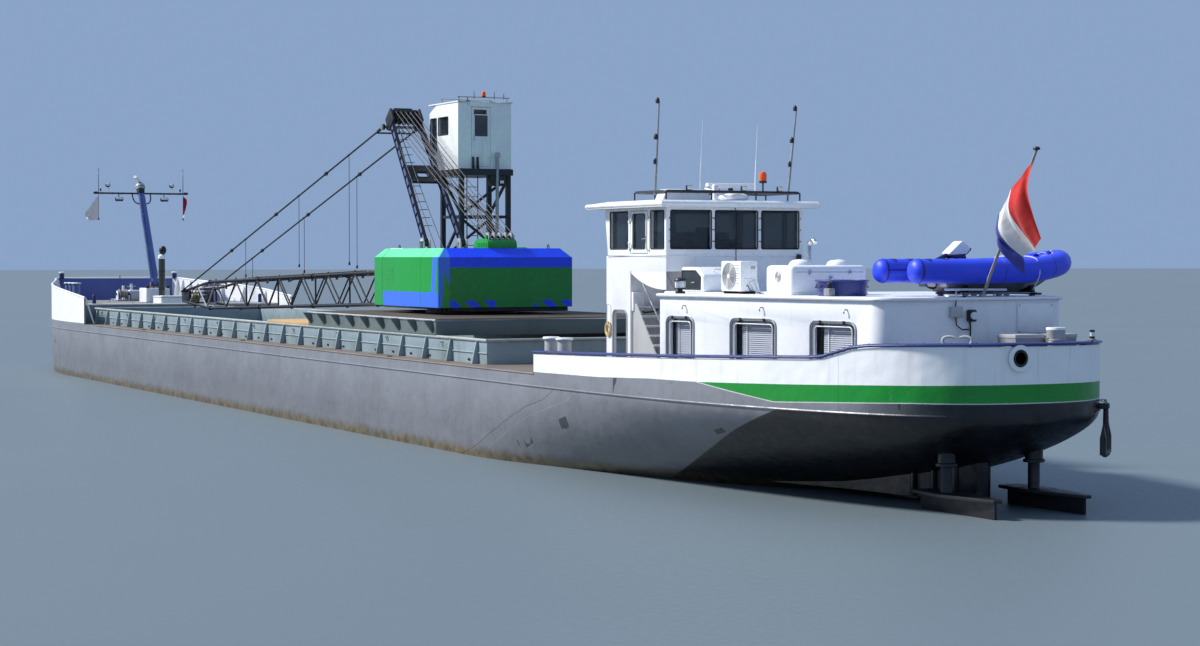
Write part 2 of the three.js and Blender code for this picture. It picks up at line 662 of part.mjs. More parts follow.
function machineHouse() {
  const { x, half, top, chamfer } = HOUSE;
  const [x0, x1] = [x[0] - SLEW_X, x[1] - SLEW_X];
  const bottom = TURNTABLE.top + SEAT;
  const ring = (inset, z) => roundedCorners([x0 + inset, x1 - inset], half - inset, 150)
    .map(([a, b]) => [a, b, z]);
  const body = loft([ring(0, bottom), ring(0, top - chamfer), ring(chamfer, top)]);
  const foot = MAST.footX - SLEW_X;
  const lugs = [-1, 1].flatMap((side) => [-95, 95].map((shift) => {
    const y = side * MAST.footHalf + shift;
    return lugPlate([foot, MAST.footZ], [y - 20, y + 20], 150, MAST.footZ - top + 40, MAST.pin * PIN_PLAY);
  }));
  return join(body, ...lugs);
}

function roundedCorners([a0, a1], half, radius) {
  return roundedRectangle([a0, a1], [-half, half], radius, 2);
}

function drumCowl() {
  const z = HOUSE.top + SEAT;
  const profile = [
    [-2150, z], [-1150, z], [-1150, z + 120], [-1350, z + 250], [-2000, z + 250], [-2150, z + 150],
  ];
  const cowl = plateXZ(profile, [-420, 420]);
  const sheaves = [];
  for (let i = 0; i < 5; i += 1) {
    const y = -330 + 165 * i;
    sheaves.push(rod([-1950, y - 30, z + 300], [-1950, y + 30, z + 300], 120, 12));
  }
  return join(cowl, rod([-1950, -380, z + 300], [-1950, 380, z + 300], 40, 8),
    ...[-410, 370].map((y) => box([-2010, -1890], [y, y + 40], [z + 200, z + 350])),
    ...sheaves);
}

// Mast: an A-frame drawn along its own length, from its foot pins to its head
function lengthOfMast() {
  return Math.hypot(MAST.headX - MAST.footX, MAST.headZ - MAST.footZ);
}

function mast() {
  const length = lengthOfMast();
  const { footHalf, headHalf } = MAST;
  const legs = [-1, 1].map((side) => bar(
    [0, side * footHalf, 0], [length, side * headHalf, 0], 90, 210));
  const feet = [-footHalf, footHalf].map((y) => rod([0, y - 130, 0], [0, y + 130, 0], MAST.pin, 16));
  const half = (footHalf + headHalf) / 2;
  const eyes = PENDANT.half + 50;
  const plate = cut(
    box([0.47 * length, 0.61 * length], [-half, half], [-50, 50]),
    plateXY(roundedRectangle([0.5 * length, 0.56 * length], [-200, 200], 60), [-100, 100]));
  const head = [
    box([length - 300, length + 160], [-headHalf - 60, -headHalf + 20], [-260, 260]),
    box([length - 300, length + 160], [headHalf - 20, headHalf + 60], [-260, 260]),
    rod([length, -headHalf, 0], [length, headHalf, 0], 60, 12),
    box([length + 60, length + 200], [-headHalf, headHalf], [-240, 200]),
    rod([length - 60, -eyes, -MAST.forward], [length - 60, eyes, -MAST.forward], MAST.pin, 16),
  ];
  const ears = [-1, 1].map((side) => box(
    [length - 140, length + 20], [side * headHalf - 40, side * headHalf + 40], [-400, -200]));
  const sheaves = [];
  for (let i = 0; i < 5; i += 1) {
    const y = -300 + 150 * i;
    sheaves.push(rod([length, y - 30, 0], [length, y + 30, 0], 200, 12));
  }
  return join(...legs, ...feet, plate, ...head, ...ears, ...sheaves);
}

// Boom: a lattice of four chords drawn along its own length, from heel pin to tip
// Columns: station as a share of the length, depth, width
const BOOM_STATIONS = [
  [0.005, 220, 1040],
  [0.12, 960, 1150],
  [0.83, 960, 1150],
  [0.985, 380, 1000],
];

function boomCorners(share) {
  const depth = interpolate(BOOM_STATIONS.map(([s, d]) => [s, d]), share) - BOOM.chord;
  const width = interpolate(BOOM_STATIONS.map(([s, , w]) => [s, w]), share) - BOOM.chord;
  return [[width / 2, depth / 2], [-width / 2, depth / 2], [-width / 2, -depth / 2], [width / 2, -depth / 2]];
}

function boomLength() {
  return Math.hypot(BOOM.tipX - BOOM.heelX, BOOM.tipZ - BOOM.heelZ);
}

function boom() {
  const length = boomLength();
  const parts = [];
  for (let i = 0; i < BOOM_STATIONS.length - 1; i += 1) {
    const [from, to] = [BOOM_STATIONS[i][0], BOOM_STATIONS[i + 1][0]];
    boomCorners(from).forEach(([y, z], corner) => {
      const [v, w] = boomCorners(to)[corner];
      parts.push(bar([from * length - 10, y, z], [to * length + 10, v, w], BOOM.chord));
    });
  }
  const bays = 18;
  for (let bay = 0; bay <= bays; bay += 1) {
    const share = 0.05 + 0.9 * bay / bays;
    const here = boomCorners(share);
    const next = boomCorners(share + 0.9 / bays);
    for (let face = 0; face < 4; face += 1) {
      const other = (face + 1) % 4;
      const [start, end] = bay % 2 === 0 ? [face, other] : [other, face];
      if (bay % 6 === 0) {
        parts.push(bar([share * length, ...here[face]], [share * length, ...here[other]], BOOM.lace));
      }
      if (bay < bays) {
        parts.push(bar([share * length, ...here[start]],
          [(share + 0.9 / bays) * length, ...next[end]], BOOM.lace));
      }
    }
  }
  parts.push(
    rod([0, -700, 0], [0, 700, 0], HEEL_PIN, 16),
    rod([0, -560, 0], [0, 560, 0], 120, 12),
    bar([0, 475, 0], [0.02 * length, 475, 0], 90, 200),
    bar([0, -475, 0], [0.02 * length, -475, 0], 90, 200),
    box([0.955 * length, length + 60], [395, 465], [-230, 230]),
    box([0.955 * length, length + 60], [-465, -395], [-230, 230]),
    rod([length - BOOM.sheave, -430, 0], [length - BOOM.sheave, 430, 0], HEEL_PIN, 16),
    rod([length - BOOM.sheave, -150, 0], [length - BOOM.sheave, -90, 0], 240, 14),
    rod([length - BOOM.sheave, 90, 0], [length - BOOM.sheave, 150, 0], 240, 14),
  );
  return join(...parts);
}

// Pendants: two bars drawn along their own length from the mast head to the boom tip
function pendants(length) {
  const { half, size } = PENDANT;
  const sides = [-half, half].flatMap((y) => [
    box([60, length], [y - size / 2, y + size / 2], [-size / 2, size / 2]),
    cut(box([-90, 90], [y - 30, y + 30], [-90, 90]),
      rod([0, y - 60, 0], [0, y + 60, 0], MAST.pin * PIN_PLAY, 16)),
  ]);
  return join(...sides, box([600, 680], [-half, half], [-25, 25]));
}

function cabTower() {
  const { x: [x0, x1], y: [y0, y1], base } = TOWER;
  const z0 = base + SEAT;
  const z1 = CAB.floor - 180;
  const levels = [z0, z0 + 1250, z0 + 2500, z1];
  const corners = [[x0, y0], [x1, y0], [x1, y1], [x0, y1]];
  const parts = [
    box([x0 - 150, x1 + 850], [CAB.y[0], CAB.y[1]], [z1, CAB.floor - SEAT]),
    ...corners.map(([x, y]) => bar([x, y, z0], [x, y, z1 + 20], 130)),
    ...corners.map(([x, y]) => box([x - 130, x + 130], [y - 100, y + 100], [z0, z0 + 25])),
  ];
  for (let level = 1; level < levels.length; level += 1) {
    for (let side = 0; side < 4; side += 1) {
      const from = corners[side];
      const to = corners[(side + 1) % 4];
      const [low, high] = [levels[level - 1] + 60, levels[level] - 60];
      const flip = (level + side) % 2 === 0;
      parts.push(bar([...from, flip ? low : high], [...to, flip ? high : low], 70));
      if (level < levels.length - 1) {
        parts.push(bar([...from, levels[level]], [...to, levels[level]], 80));
      }
    }
  }
  return join(...parts);
}

// Crane cab: a shell with a curved-down front roof edge, windows all round and a doorway aft
function cabShell() {
  const { x: [x0, x1], y: [y0, y1], floor, top, wall: thick } = CAB;
  const profile = (inset) => [
    [x0 + inset, floor + inset], [x1 - 350 - inset / 2, floor + inset], [x1 - inset, floor + 420],
    [x1 - inset, top - 260 - inset], [x1 - 500, top - 60 - inset],
    [x0 + 500, top - inset], [x0 + inset, top - inset]];
  const outer = plateXZ(profile(0), [y0, y1]);
  const inner = plateXZ(profile(thick), [y0 + thick, y1 - thick]);
  const lugs = CAB_HINGE.heights.flatMap((height) => hingeLugs(height).map(onCab));
  return join(cut(outer, inner,
    box([x1 - 200, x1 + 200], [y0 + 90, y1 - 90], [floor + 480, top - 380]),
    box([x1 - 560, x1 - 80], [y0 - 100, y1 + 100], [floor + 480, top - 420]),
    box([x0 + 750, x1 - 700], [y0 - 100, y1 + 100], [floor + 1020, top - 420]),
    box([x0 - 100, x0 + 200], CAB_DOOR.y, CAB_DOOR.z)), ...lugs);
}

function onCab(geometry) {
  return mirrored(geometry).rotateZ(-Math.PI / 2).translate(CAB_HINGE.x, CAB_HINGE.y, 0);
}

function cabDoor() {
  const { x: [x0], wall: thick } = CAB;
  const [y0, y1] = CAB_DOOR.y;
  const [z0, z1] = CAB_DOOR.z;
  const panel = box([x0, x0 + thick], [y0 + RUNNING, y1 - RUNNING], [z0 + RUNNING, z1 - RUNNING]);
  const knuckles = CAB_HINGE.heights.map((height) => onCab(hingeKnuckle(height)));
  return join(cut(panel, box([x0 - 50, x0 + 150], [y0 + 110, y1 - 80], [z0 + 920, z1 - 80])), ...knuckles);
}

function cabGlass() {
  const { x: [x0, x1], y: [y0, y1], floor, top, wall: thick } = CAB;
  const clear = thick + SEAT;
  const outer = box([x0 + 720, x1 - clear], [y0 + clear, y1 - clear], [floor + 450, top - 350]);
  const within = clear + 12;
  const inner = box([x0 + 600, x1 - within], [y0 + within, y1 - within], [floor + 300, top - 200]);
  return cut(outer, inner);
}

// Propeller: a hub with pitched blades on a short shaft
function propeller() {
  const { radius, hub, blades } = PROPELLER;
  const blade = () => {
    const shape = new THREE.Shape();
    shape.absellipse(0, radius * 0.56, 200, radius * 0.44, 0, 2 * Math.PI);
    const geometry = new THREE.ExtrudeGeometry(shape, { depth: 36, bevelEnabled: false, curveSegments: 6 });
    return geometry.translate(0, 0, -18).rotateY(Math.PI / 2);
  };
  const shaftEnd = SHAFT.x - 250 - SEAT - PROPELLER.x;
  const parts = [rod([-200, 0, 0], [260, 0, 0], hub, 14), rod([200, 0, 0], [shaftEnd, 0, 0], 70, 12)];
  for (let i = 0; i < blades; i += 1) {
    const pitched = blade().rotateY(THREE.MathUtils.degToRad(35));
    parts.push(pitched.rotateX(2 * Math.PI * i / blades));
  }
  return join(...parts);
}

function rudder() {
  const { stockX, aft, fore, bottom, top, stock } = RUDDER;
  const blade = [[aft - stockX, 25], [fore - stockX - 250, 90], [fore - stockX, 40], [fore - stockX, -40],
    [fore - stockX - 250, -90], [aft - stockX, -25]];
  return join(
    plateXY(blade, [bottom, top]),
    plateXY([[aft - stockX - 60, -90], [-300, -330], [fore - stockX, -250], [fore - stockX, 250],
      [-300, 330], [aft - stockX - 60, 90]], [top - 10, top + 50]),
    rod([0, 0, top], [0, 0, RUDDER.trunk - SEAT], stock, 12),
  );
}

function sternAnchor() {
  return join(
    bar([0, 0, 520], [0, 0, -330], 110),
    box([-90, 90], [-420, 420], [-420, -300]),
    plateYZ([[-430, -400], [-300, -400], [-330, 180], [-430, 60]], [-60, 60]),
    plateYZ([[300, -400], [430, -400], [430, 60], [330, 180]], [-60, 60]),
    box([-60, 150 - SEAT], [-130, 130], [400, 520]),
  );
}

function navMast() {
  const { length, crossbar } = NAV;
  const yard = length - 60;
  const lean = THREE.MathUtils.degToRad(NAV.lean);
  const plumb = (y, reach) => [-reach * Math.sin(lean), y, yard + reach * Math.cos(lean)];
  const onEachSide = [-1, 1].flatMap((side) => [
    rod(plumb(side * NAV.whip, -1100), plumb(side * NAV.whip, 1030), 22, 8),
    bar([0, side * 370, yard], [0, side * 340, yard - 400], 50),
    bar([0, side * 340, yard - 390], [0, side * 60, yard - 500], 50),
    box([-25, 25], [side * 1330 - 25, side * 1330 + 25], [yard, yard + 320]),
    rod([-60, side * 1330, yard + 390], [60, side * 1330, yard + 390], 110, 12),
    box([-25, 25], [side * 940 - 25, side * 940 + 25], [yard - 220, yard]),
    box([-60, 90], [side * 940 - 170, side * 940 + 170], [yard - 340, yard - 200]),
  ]);
  return join(
    plateYZ([[-95, 0], [95, 0], [95, 230], [160, 310], [120, length], [-120, length], [-160, 310],
      [-95, 230]], [-80, 80]),
    rod([0, -95, 0], [0, 95, 0], 90, 16),
    rod([0, -180, 0], [0, 180, 0], MAST.pin, 16),
    bar([0, -crossbar, yard], [0, crossbar, yard], 90),
    box([-140, 140], [-140, 140], [length - 60, length + 120]),
    rod([0, 0, length + 100], [0, 0, length + NAV.gear], 200, 16),
    ...onEachSide,
  );
}

function radarScanner(half) {
  return join(box([-70, 70], [-half, half], [55, 165]), rod([0, 0, SEAT], [0, 0, 80], 60, 12));
}

// Crane platform: a deck laid across the coaming, with triangular brackets along both sides
function cranePlatform() {
  const { x: [x0, x1], half, top } = PLATFORM;
  const brackets = [];
  for (let i = 0; i < 9; i += 1) {
    const x = x0 + 200 + i * (x1 - x0 - 480) / 8;
    const bracket = [[half - 10, COAMING.top + 40], [half + 240, top - 20], [half - 10, top - 20]];
    const port = plateYZ(bracket, [x, x + 80]);
    brackets.push(port, mirrored(port));
  }
  return join(box([x0, x1], [-half, half], [COAMING.top + SEAT, top]), ...brackets);
}

function hookBlock() {
  const eye = cut(
    join(rod([0, -60, 0], [0, 60, 0], 125, 16), box([-90, 90], [-60, 60], [-250, 0])),
    rod([0, -100, 0], [0, 100, 0], HEEL_PIN * PIN_PLAY, 16));
  const hook = plateXZ([[-35, -200], [35, -200], [35, -290], [80, -330], [75, -390], [20, -425], [-50, -410],
    [-95, -350], [-55, -335], [-20, -370], [20, -360], [20, -330], [-35, -280]], [-35, 35]);
  return join(eye, hook);
}

// Dinghy cradle: two chocks with a notch for the keel, on two rails
function cradle() {
  const base = ROOF_TOP + SEAT - DINGHY.z;
  const chocks = [-700, 800].map((y) => plateXZ(
    [[-420, base], [420, base], [420, -267], [0, -401], [-420, -267]], [y - 60, y + 60]));
  const rails = [-420, 380].map((x) => box([x, x + 40], [-760, 860], [base, base + 40]));
  return join(...chocks, ...rails);
}

function flagstaff() {
  const { foot, head, y, radius } = STAFF;
  return join(
    box([4000, 4090], [y - 60, y + 60], [ROOF_TOP + SEAT, ROOF_TOP + 60]),
    rod([foot[0], y, foot[1]], [head[0], y, head[1]], radius, 16),
  );
}

// Stern flag: its upper edge lies along the staff's after side, and the rest hangs straight down
function sternFlag() {
  const { foot, head, y, radius } = STAFF;
  const length = Math.hypot(head[0] - foot[0], head[1] - foot[1]);
  const [alongX, alongZ] = [(head[0] - foot[0]) / length, (head[1] - foot[1]) / length];
  const beside = (fromHead) => [
    head[0] - fromHead * alongX - (radius + SEAT) * alongZ,
    head[1] - fromHead * alongZ + (radius + SEAT) * alongX,
  ];
  const outline = [
    beside(60), beside(1650), [2900, 4700], [2700, 4240], [2600, 4260], [2450, 4850], [2200, 4880],
    [2250, 5600], [2400, 6200],
  ];
  return plateXZ(outline, [y - 12, y + 12]);
}

function airConditioner() {
  const feet = [8850, 9490].map((x) => box([x, x + 60], [1800, 2200], [ROOF_TOP + SEAT, ROOF_TOP + 60]));
  return join(box([8800, 9600], [1800, 2200], [ROOF_TOP + 50, 4480]), ...feet);
}

function companionHood() {
  const z = ROOF_TOP + SEAT;
  return plateXZ([[11600, z], [12600, z], [12600, 4350], [11900, 4350], [11600, 4180]], [700, 1500]);
}

// Locker on the stern house roof: two domed covers, and a pipe that rises and bends aft
function roofLocker() {
  const domes = [800, 1650].map((y) => new THREE.SphereGeometry(210, 16, 10)
    .scale(1, 1, 0.55).translate(7450, y, 4400));
  return join(
    box([7000, 8000], [400, 2100], [ROOF_TOP + SEAT, 4400]),
    ...domes,
    rod([7850, 1200, 4350], [7850, 1200, 4800], 45, 10),
    rod([7850, 1200, 4780], [7600, 1200, 4900], 45, 10),
  );
}

function roofTub() {
  const z = ROOF_TOP + SEAT;
  const round = (from, to, radius) => rod([6000, 1600, z + from], [6000, 1600, z + to], radius, 20);
  return cut(join(round(0, 320, 480), round(270, 320, 520)), round(60, 400, 440));
}

function roofVent() {
  return join(
    rod([9900, 2950, ROOF_TOP + SEAT], [9900, 2950, ROOF_TOP + 260], 70, 12),
    rod([9900, 2950, ROOF_TOP + 220], [9900, 2950, ROOF_TOP + 320], 130, 12),
  );
}

function windlass() {
  const z = FOREDECK.top + SEAT;
  const drums = [-1, 1].flatMap((side) => [
    rod([64000, side * 330, z + 290], [64000, side * 620, z + 290], 140, 14),
    rod([64000, side * 330, z + 290], [64000, side * 370, z + 290], 215, 16),
    rod([64000, side * 580, z + 290], [64000, side * 620, z + 290], 215, 16),
    box([63820, 64180], [side * 700 - 30, side * 700 + 30], [z, z + 390]),
  ]);
  return join(
    box([63650, 64350], [-760, 760], [z, z + 60]),
    box([63780, 64220], [-220, 220], [z, z + 460]),
    rod([64000, -760, z + 290], [64000, 760, z + 290], 55, 10),
    ...drums,
  );
}

// Bow hatch: a hollow frame with hinge plates at its fore edge
function bowHatch() {
  const { x: [x0, x1], half, top } = BOW_HATCH;
  const { x, z, radius } = HATCH_PIN;
  const plates = [-1, 1].flatMap((side) => [-90, 90].map((shift) => {
    const y = side * 350 + shift;
    const plate = join(rod([x, y - 10, z], [x, y + 10, z], 34, 16),
      box([x - 34, x + 34], [y - 10, y + 10], [z - 100, z]),
      box([x1 - 10, x + 34], [y - 10, y + 10], [z - 150, z - 45]));
    return cut(plate, rod([x, y - 20, z], [x, y + 20, z], radius + 2, 12));
  }));
  return join(
    cut(box([x0, x1], [-half, half], [FOREDECK.top + SEAT, top - 60]),
      box([x0 + 60, x1 - 60], [-half + 60, half - 60], [FOREDECK.top - 100, top + 100])),
    ...plates,
  );
}

function bowHatchLid() {
  const { x: [x0, x1], half, top } = BOW_HATCH;
  const { x, z, radius } = HATCH_PIN;
  const knuckles = [-350, 350].flatMap((y) => [
    rod([x, y - 68, z], [x, y + 68, z], 24, 12),
    rod([x, y - 115, z], [x, y + 115, z], radius, 12),
    box([x1 - 20, x], [y - 68, y + 68], [z - 16, z + 14]),
  ]);
  return join(
    box([x0 - 20, x1], [-half - 20, half + 20], [top - 60 + RUNNING, top]),
    ...knuckles,
  );
}

function navBase() {
  const { footX, footZ, baseTop } = NAV;
  const lugs = [[112, 160], [-160, -112]].map((span) => lugPlate(
    [footX, footZ], span, 170, footZ - baseTop + 30, MAST.pin * PIN_PLAY));
  return join(box([footX - 500, footX + 600], [-480, 480], [FOREDECK.top + SEAT, baseTop]), ...lugs);
}

// Assembly: what stands on the hull
addMesh(ship, 'hull', hull(), 'grey');
addMesh(ship, 'hold_coaming', coaming(), 'coaming');
addMesh(ship, 'stern_bulwark', sternBulwark(), 'white');
addMesh(ship, 'stern_rail_cap', sternRail(), 'blue');
addMesh(ship, 'bow_bulwark', bowBulwark(), 'white');
addMesh(ship, 'foredeck', foredeck(), 'deck');
addMesh(ship, 'deckhouse_walls', deckhouseWalls(), 'white');
addMesh(ship, 'deckhouse_glass', deckhouseGlass(), 'glass');
addMesh(ship, 'deckhouse_roof', deckhouseRoof(), 'white');
addMesh(ship, 'wheelhouse_trunk', trunk(), 'white');
addMesh(ship, 'stair', stair(), 'grey');
addMesh(ship, 'wheelhouse_window_band', wheelhouseBand(), 'white');
addMesh(ship, 'wheelhouse_glass', wheelhouseGlass(), 'glass');
addMesh(ship, 'wheelhouse_roof', wheelhouseRoof(), 'white');
addMesh(ship, 'wheelhouse_door', wheelhouseDoor(), 'white');

addMesh(ship, 'name_plate', box([3990, DECKHOUSE.aft - SEAT], [-1740, -950], [3160, 3700]), 'grey');
addMesh(ship, 'wheelhouse_gear', wheelhouseGear(), 'steel');
addMesh(ship, 'radar_aft', radarScanner(600), 'white').position.set(RADAR.x, RADAR.y, RADAR.z);
addMesh(ship, 'air_conditioner', airConditioner(), 'white');
addMesh(ship, 'companion_hood', companionHood(), 'white');
addMesh(ship, 'roof_locker', roofLocker(), 'white');
addMesh(ship, 'roof_tub', roofTub(), 'blue');
addMesh(ship, 'roof_vent', roofVent(), 'grey');
addMesh(ship, 'dinghy', dinghy(), 'rubber').position.set(DINGHY.x, DINGHY.y, DINGHY.z);
addMesh(ship, 'outboard_motor', outboard(), 'black').position.set(DINGHY.x, DINGHY.y, DINGHY.z);
addMesh(ship, 'dinghy_cradle', cradle(), 'galvanised').position.set(DINGHY.x, DINGHY.y, DINGHY.z);
addMesh(ship, 'flagstaff', flagstaff(), 'wood');
addMesh(ship, 'stern_flag', sternFlag(), 'cloth');

// Assembly: deck gear, with mooring bollards in rows on each side
const BOLLARDS = [
  ['stern', 3050, 1000, DECK, 560, 2],
  ['side', 14000, 3740, DECK, 800, 2],
  ['bow', 62200, 2900, FOREDECK.top, 800, 3],
];
for (const [place, x, y, deck, height, count] of BOLLARDS) {
  addMesh(ship, `${place}_bollards_port`, bollardRow(x, y, deck, height, count), 'dark');
  const starboard = place === 'stern' ? sternBollard() : bollardRow(x, -y, deck, height, count);
  addMesh(ship, `${place}_bollards_starboard`, starboard, 'dark');
}
addMesh(ship, 'windlass', windlass(), 'dark');
addMesh(ship, 'bow_hatch', bowHatch(), 'white');
addMesh(ship, 'bow_hatch_lid', bowHatchLid(), 'white');
const anchor = addMesh(ship, 'stern_anchor', sternAnchor(), 'dark');
anchor.position.set(ANCHOR.x, ANCHOR.y, ANCHOR.z);
anchor.rotation.z = Math.PI / 4;
addMesh(ship, 'hold_boards', box([PLATFORM.x[1] + SEAT, 35500], [-PLATFORM.half, PLATFORM.half],
  [COAMING.top + SEAT, 2700]), 'wood');

// Assembly: folding nav mast, leaning forward about its foot pin
addMesh(ship, 'nav_mast_base', navBase(), 'white');
const navGroup = new THREE.Group();
navGroup.position.set(NAV.footX, 0, NAV.footZ);
navGroup.rotation.y = THREE.MathUtils.degToRad(NAV.lean);
ship.add(navGroup);
addMesh(navGroup, 'nav_mast', navMast(), 'navBlue');
const radarFore = addMesh(navGroup, 'radar_fore', radarScanner(460), 'white');
radarFore.position.z = NAV.length + NAV.gear;
radarFore.rotation.z = THREE.MathUtils.degToRad(55);

// Assembly: under water
addMesh(ship, 'propeller', propeller(), 'bronze').position.set(PROPELLER.x, 0, PROPELLER.z);
addMesh(ship, 'rudder_port', rudder(), 'dark').position.set(RUDDER.stockX, RUDDER.y, 0);
addMesh(ship, 'rudder_starboard', rudder(), 'dark').position.set(RUDDER.stockX, -RUDDER.y, 0);

// Assembly: crane, drawn from its slewing axis
addMesh(ship, 'crane_platform', cranePlatform(), 'dark');
addMesh(ship, 'slewing_ring', rod([SLEW_X, 0, PLATFORM.top + SEAT], [SLEW_X, 0, RING.top], RING.radius, 32),
  'steel');
const crane = new THREE.Group();
crane.position.x = SLEW_X;
ship.add(crane);
addMesh(crane, 'turntable', turntable(), 'dark');
addMesh(crane, 'machine_house', machineHouse(), 'green');
addMesh(crane, 'drum_cowl', drumCowl(), 'green');
const cabGroup = new THREE.Group();
cabGroup.position.x = -SLEW_X;
crane.add(cabGroup);
addMesh(cabGroup, 'cab_tower', cabTower(), 'steel');
addMesh(cabGroup, 'crane_cab', cabShell(), 'white');
addMesh(cabGroup, 'crane_cab_glass', cabGlass(), 'glass');
addMesh(cabGroup, 'crane_cab_door', cabDoor(), 'white');

// Hinged groups turn about a cross pin, so their slope is a turn about -Y
function slopedGroup([fromX, fromZ], [toX, toZ]) {
  const group = new THREE.Group();
  group.position.set(fromX - SLEW_X, 0, fromZ);
  group.rotation.y = -Math.atan2(toZ - fromZ, toX - fromX);
  crane.add(group);
  return group;
}
const heelPin = [BOOM.heelX, BOOM.heelZ];
const boomTip = [BOOM.tipX, BOOM.tipZ];
const mastFoot = [MAST.footX, MAST.footZ];
const mastHead = [MAST.headX, MAST.headZ];
addMesh(slopedGroup(mastFoot, mastHead), 'mast', mast(), 'dark');
addMesh(slopedGroup(heelPin, boomTip), 'boom', boom(), 'steel');

const mastLength = lengthOfMast();
const mastAlong = new THREE.Vector2(mastHead[0] - mastFoot[0], mastHead[1] - mastFoot[1]).normalize();
const pendantPin = [
  mastFoot[0] + (mastLength - 60) * mastAlong.x + MAST.forward * mastAlong.y,
  mastFoot[1] + (mastLength - 60) * mastAlong.y - MAST.forward * mastAlong.x,
];
const pendantEnd = [PENDANT.tipX, PENDANT.tipZ];
const pendantLength = Math.hypot(pendantEnd[0] - pendantPin[0], pendantEnd[1] - pendantPin[1]);
addMesh(slopedGroup(pendantPin, pendantEnd), 'pendants', pendants(pendantLength), 'steel');

const hookShare = 1 - BOOM.sheave / boomLength();
const hook = addMesh(crane, 'hook_block', hookBlock(), 'dark');
hook.position.set(
  BOOM.heelX + hookShare * (BOOM.tipX - BOOM.heelX) - SLEW_X, 0,
  BOOM.heelZ + hookShare * (BOOM.tipZ - BOOM.heelZ));

// The finished group is half size and stands on the hull's flat bottom, with midships over the origin
ship.scale.setScalar(MODEL_SCALE);
ship.position.set(-MODEL_SCALE * (STERN_X + BOW_X) / 2, 0, MODEL_SCALE * DRAUGHT);

export default ship;
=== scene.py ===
import math
import bpy
import bmesh
from mathutils import Matrix, Vector


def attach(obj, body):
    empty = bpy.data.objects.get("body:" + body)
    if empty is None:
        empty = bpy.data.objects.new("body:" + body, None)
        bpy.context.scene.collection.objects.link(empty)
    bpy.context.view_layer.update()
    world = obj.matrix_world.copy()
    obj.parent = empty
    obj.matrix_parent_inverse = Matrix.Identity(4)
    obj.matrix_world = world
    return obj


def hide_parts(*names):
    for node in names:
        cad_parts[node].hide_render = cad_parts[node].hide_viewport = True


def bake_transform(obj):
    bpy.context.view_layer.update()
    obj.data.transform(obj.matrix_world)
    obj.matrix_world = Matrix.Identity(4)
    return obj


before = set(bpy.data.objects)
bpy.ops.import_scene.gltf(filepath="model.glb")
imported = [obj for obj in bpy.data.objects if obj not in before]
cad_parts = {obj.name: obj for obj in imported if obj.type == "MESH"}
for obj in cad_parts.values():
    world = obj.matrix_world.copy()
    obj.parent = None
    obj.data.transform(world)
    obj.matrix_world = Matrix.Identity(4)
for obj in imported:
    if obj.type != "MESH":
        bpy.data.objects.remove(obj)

for spare in ("Cube", "Light", "Camera"):
    if spare in bpy.data.objects:
        bpy.data.objects.remove(bpy.data.objects[spare])
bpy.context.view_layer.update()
scene = bpy.context.scene
scene.view_settings.view_transform = "Standard"


# Shapes are drawn in the full-size ship's metres: X forward from behind the stern, Y to port,
# Z up from the waterline. The model is half that size and stands on its flat bottom.
SCALE = 0.5
MIDSHIP = 34.55
DRAUGHT = 1.0


def at(x, y, z):
    return Vector((SCALE * (x - MIDSHIP), SCALE * y, SCALE * (z + DRAUGHT)))


def linear(colour):
    return tuple(c / 12.92 if c <= 0.04045 else ((c + 0.055) / 1.055) ** 2.4 for c in colour)


# Camera: port quarter, 69 mm on a 36 mm sensor
YAW, PITCH = math.radians(25.96), math.radians(1.62)
camera = bpy.data.objects.new("camera", bpy.data.cameras.new("camera"))
camera.data.lens = 69
camera.data.sensor_width = 36
camera.data.clip_end = 500
camera.location = at(-30.7, 24.5, 4.54)
ahead = Vector((math.cos(YAW) * math.cos(PITCH), -math.sin(YAW) * math.cos(PITCH), -math.sin(PITCH)))
camera.rotation_euler = ahead.to_track_quat("-Z", "Y").to_euler()
scene.collection.objects.link(camera)
scene.camera = camera


def turned(axis, a, b, c):
    """The point at c along the axis, with a and b across it."""
    return {"x": (c, a, b), "y": (a, c, b), "z": (a, b, c)}[axis]


def moved(point, shift):
    return tuple(a + b for a, b in zip(point, shift))


def turns(count):
    return [2 * math.pi * k / count for k in range(count)]


def hoop(axis, centre, wide, high, count):
    """Points round an ellipse that lies square to an axis."""
    return [moved(centre, turned(axis, wide * math.cos(a), high * math.sin(a), 0)) for a in turns(count)]


def span(side, near, far):
    """Two distances from the middle as low and high, to port or to starboard."""
    return tuple(sorted((side * near, side * far)))


SHARP_EDGE = math.radians(35)


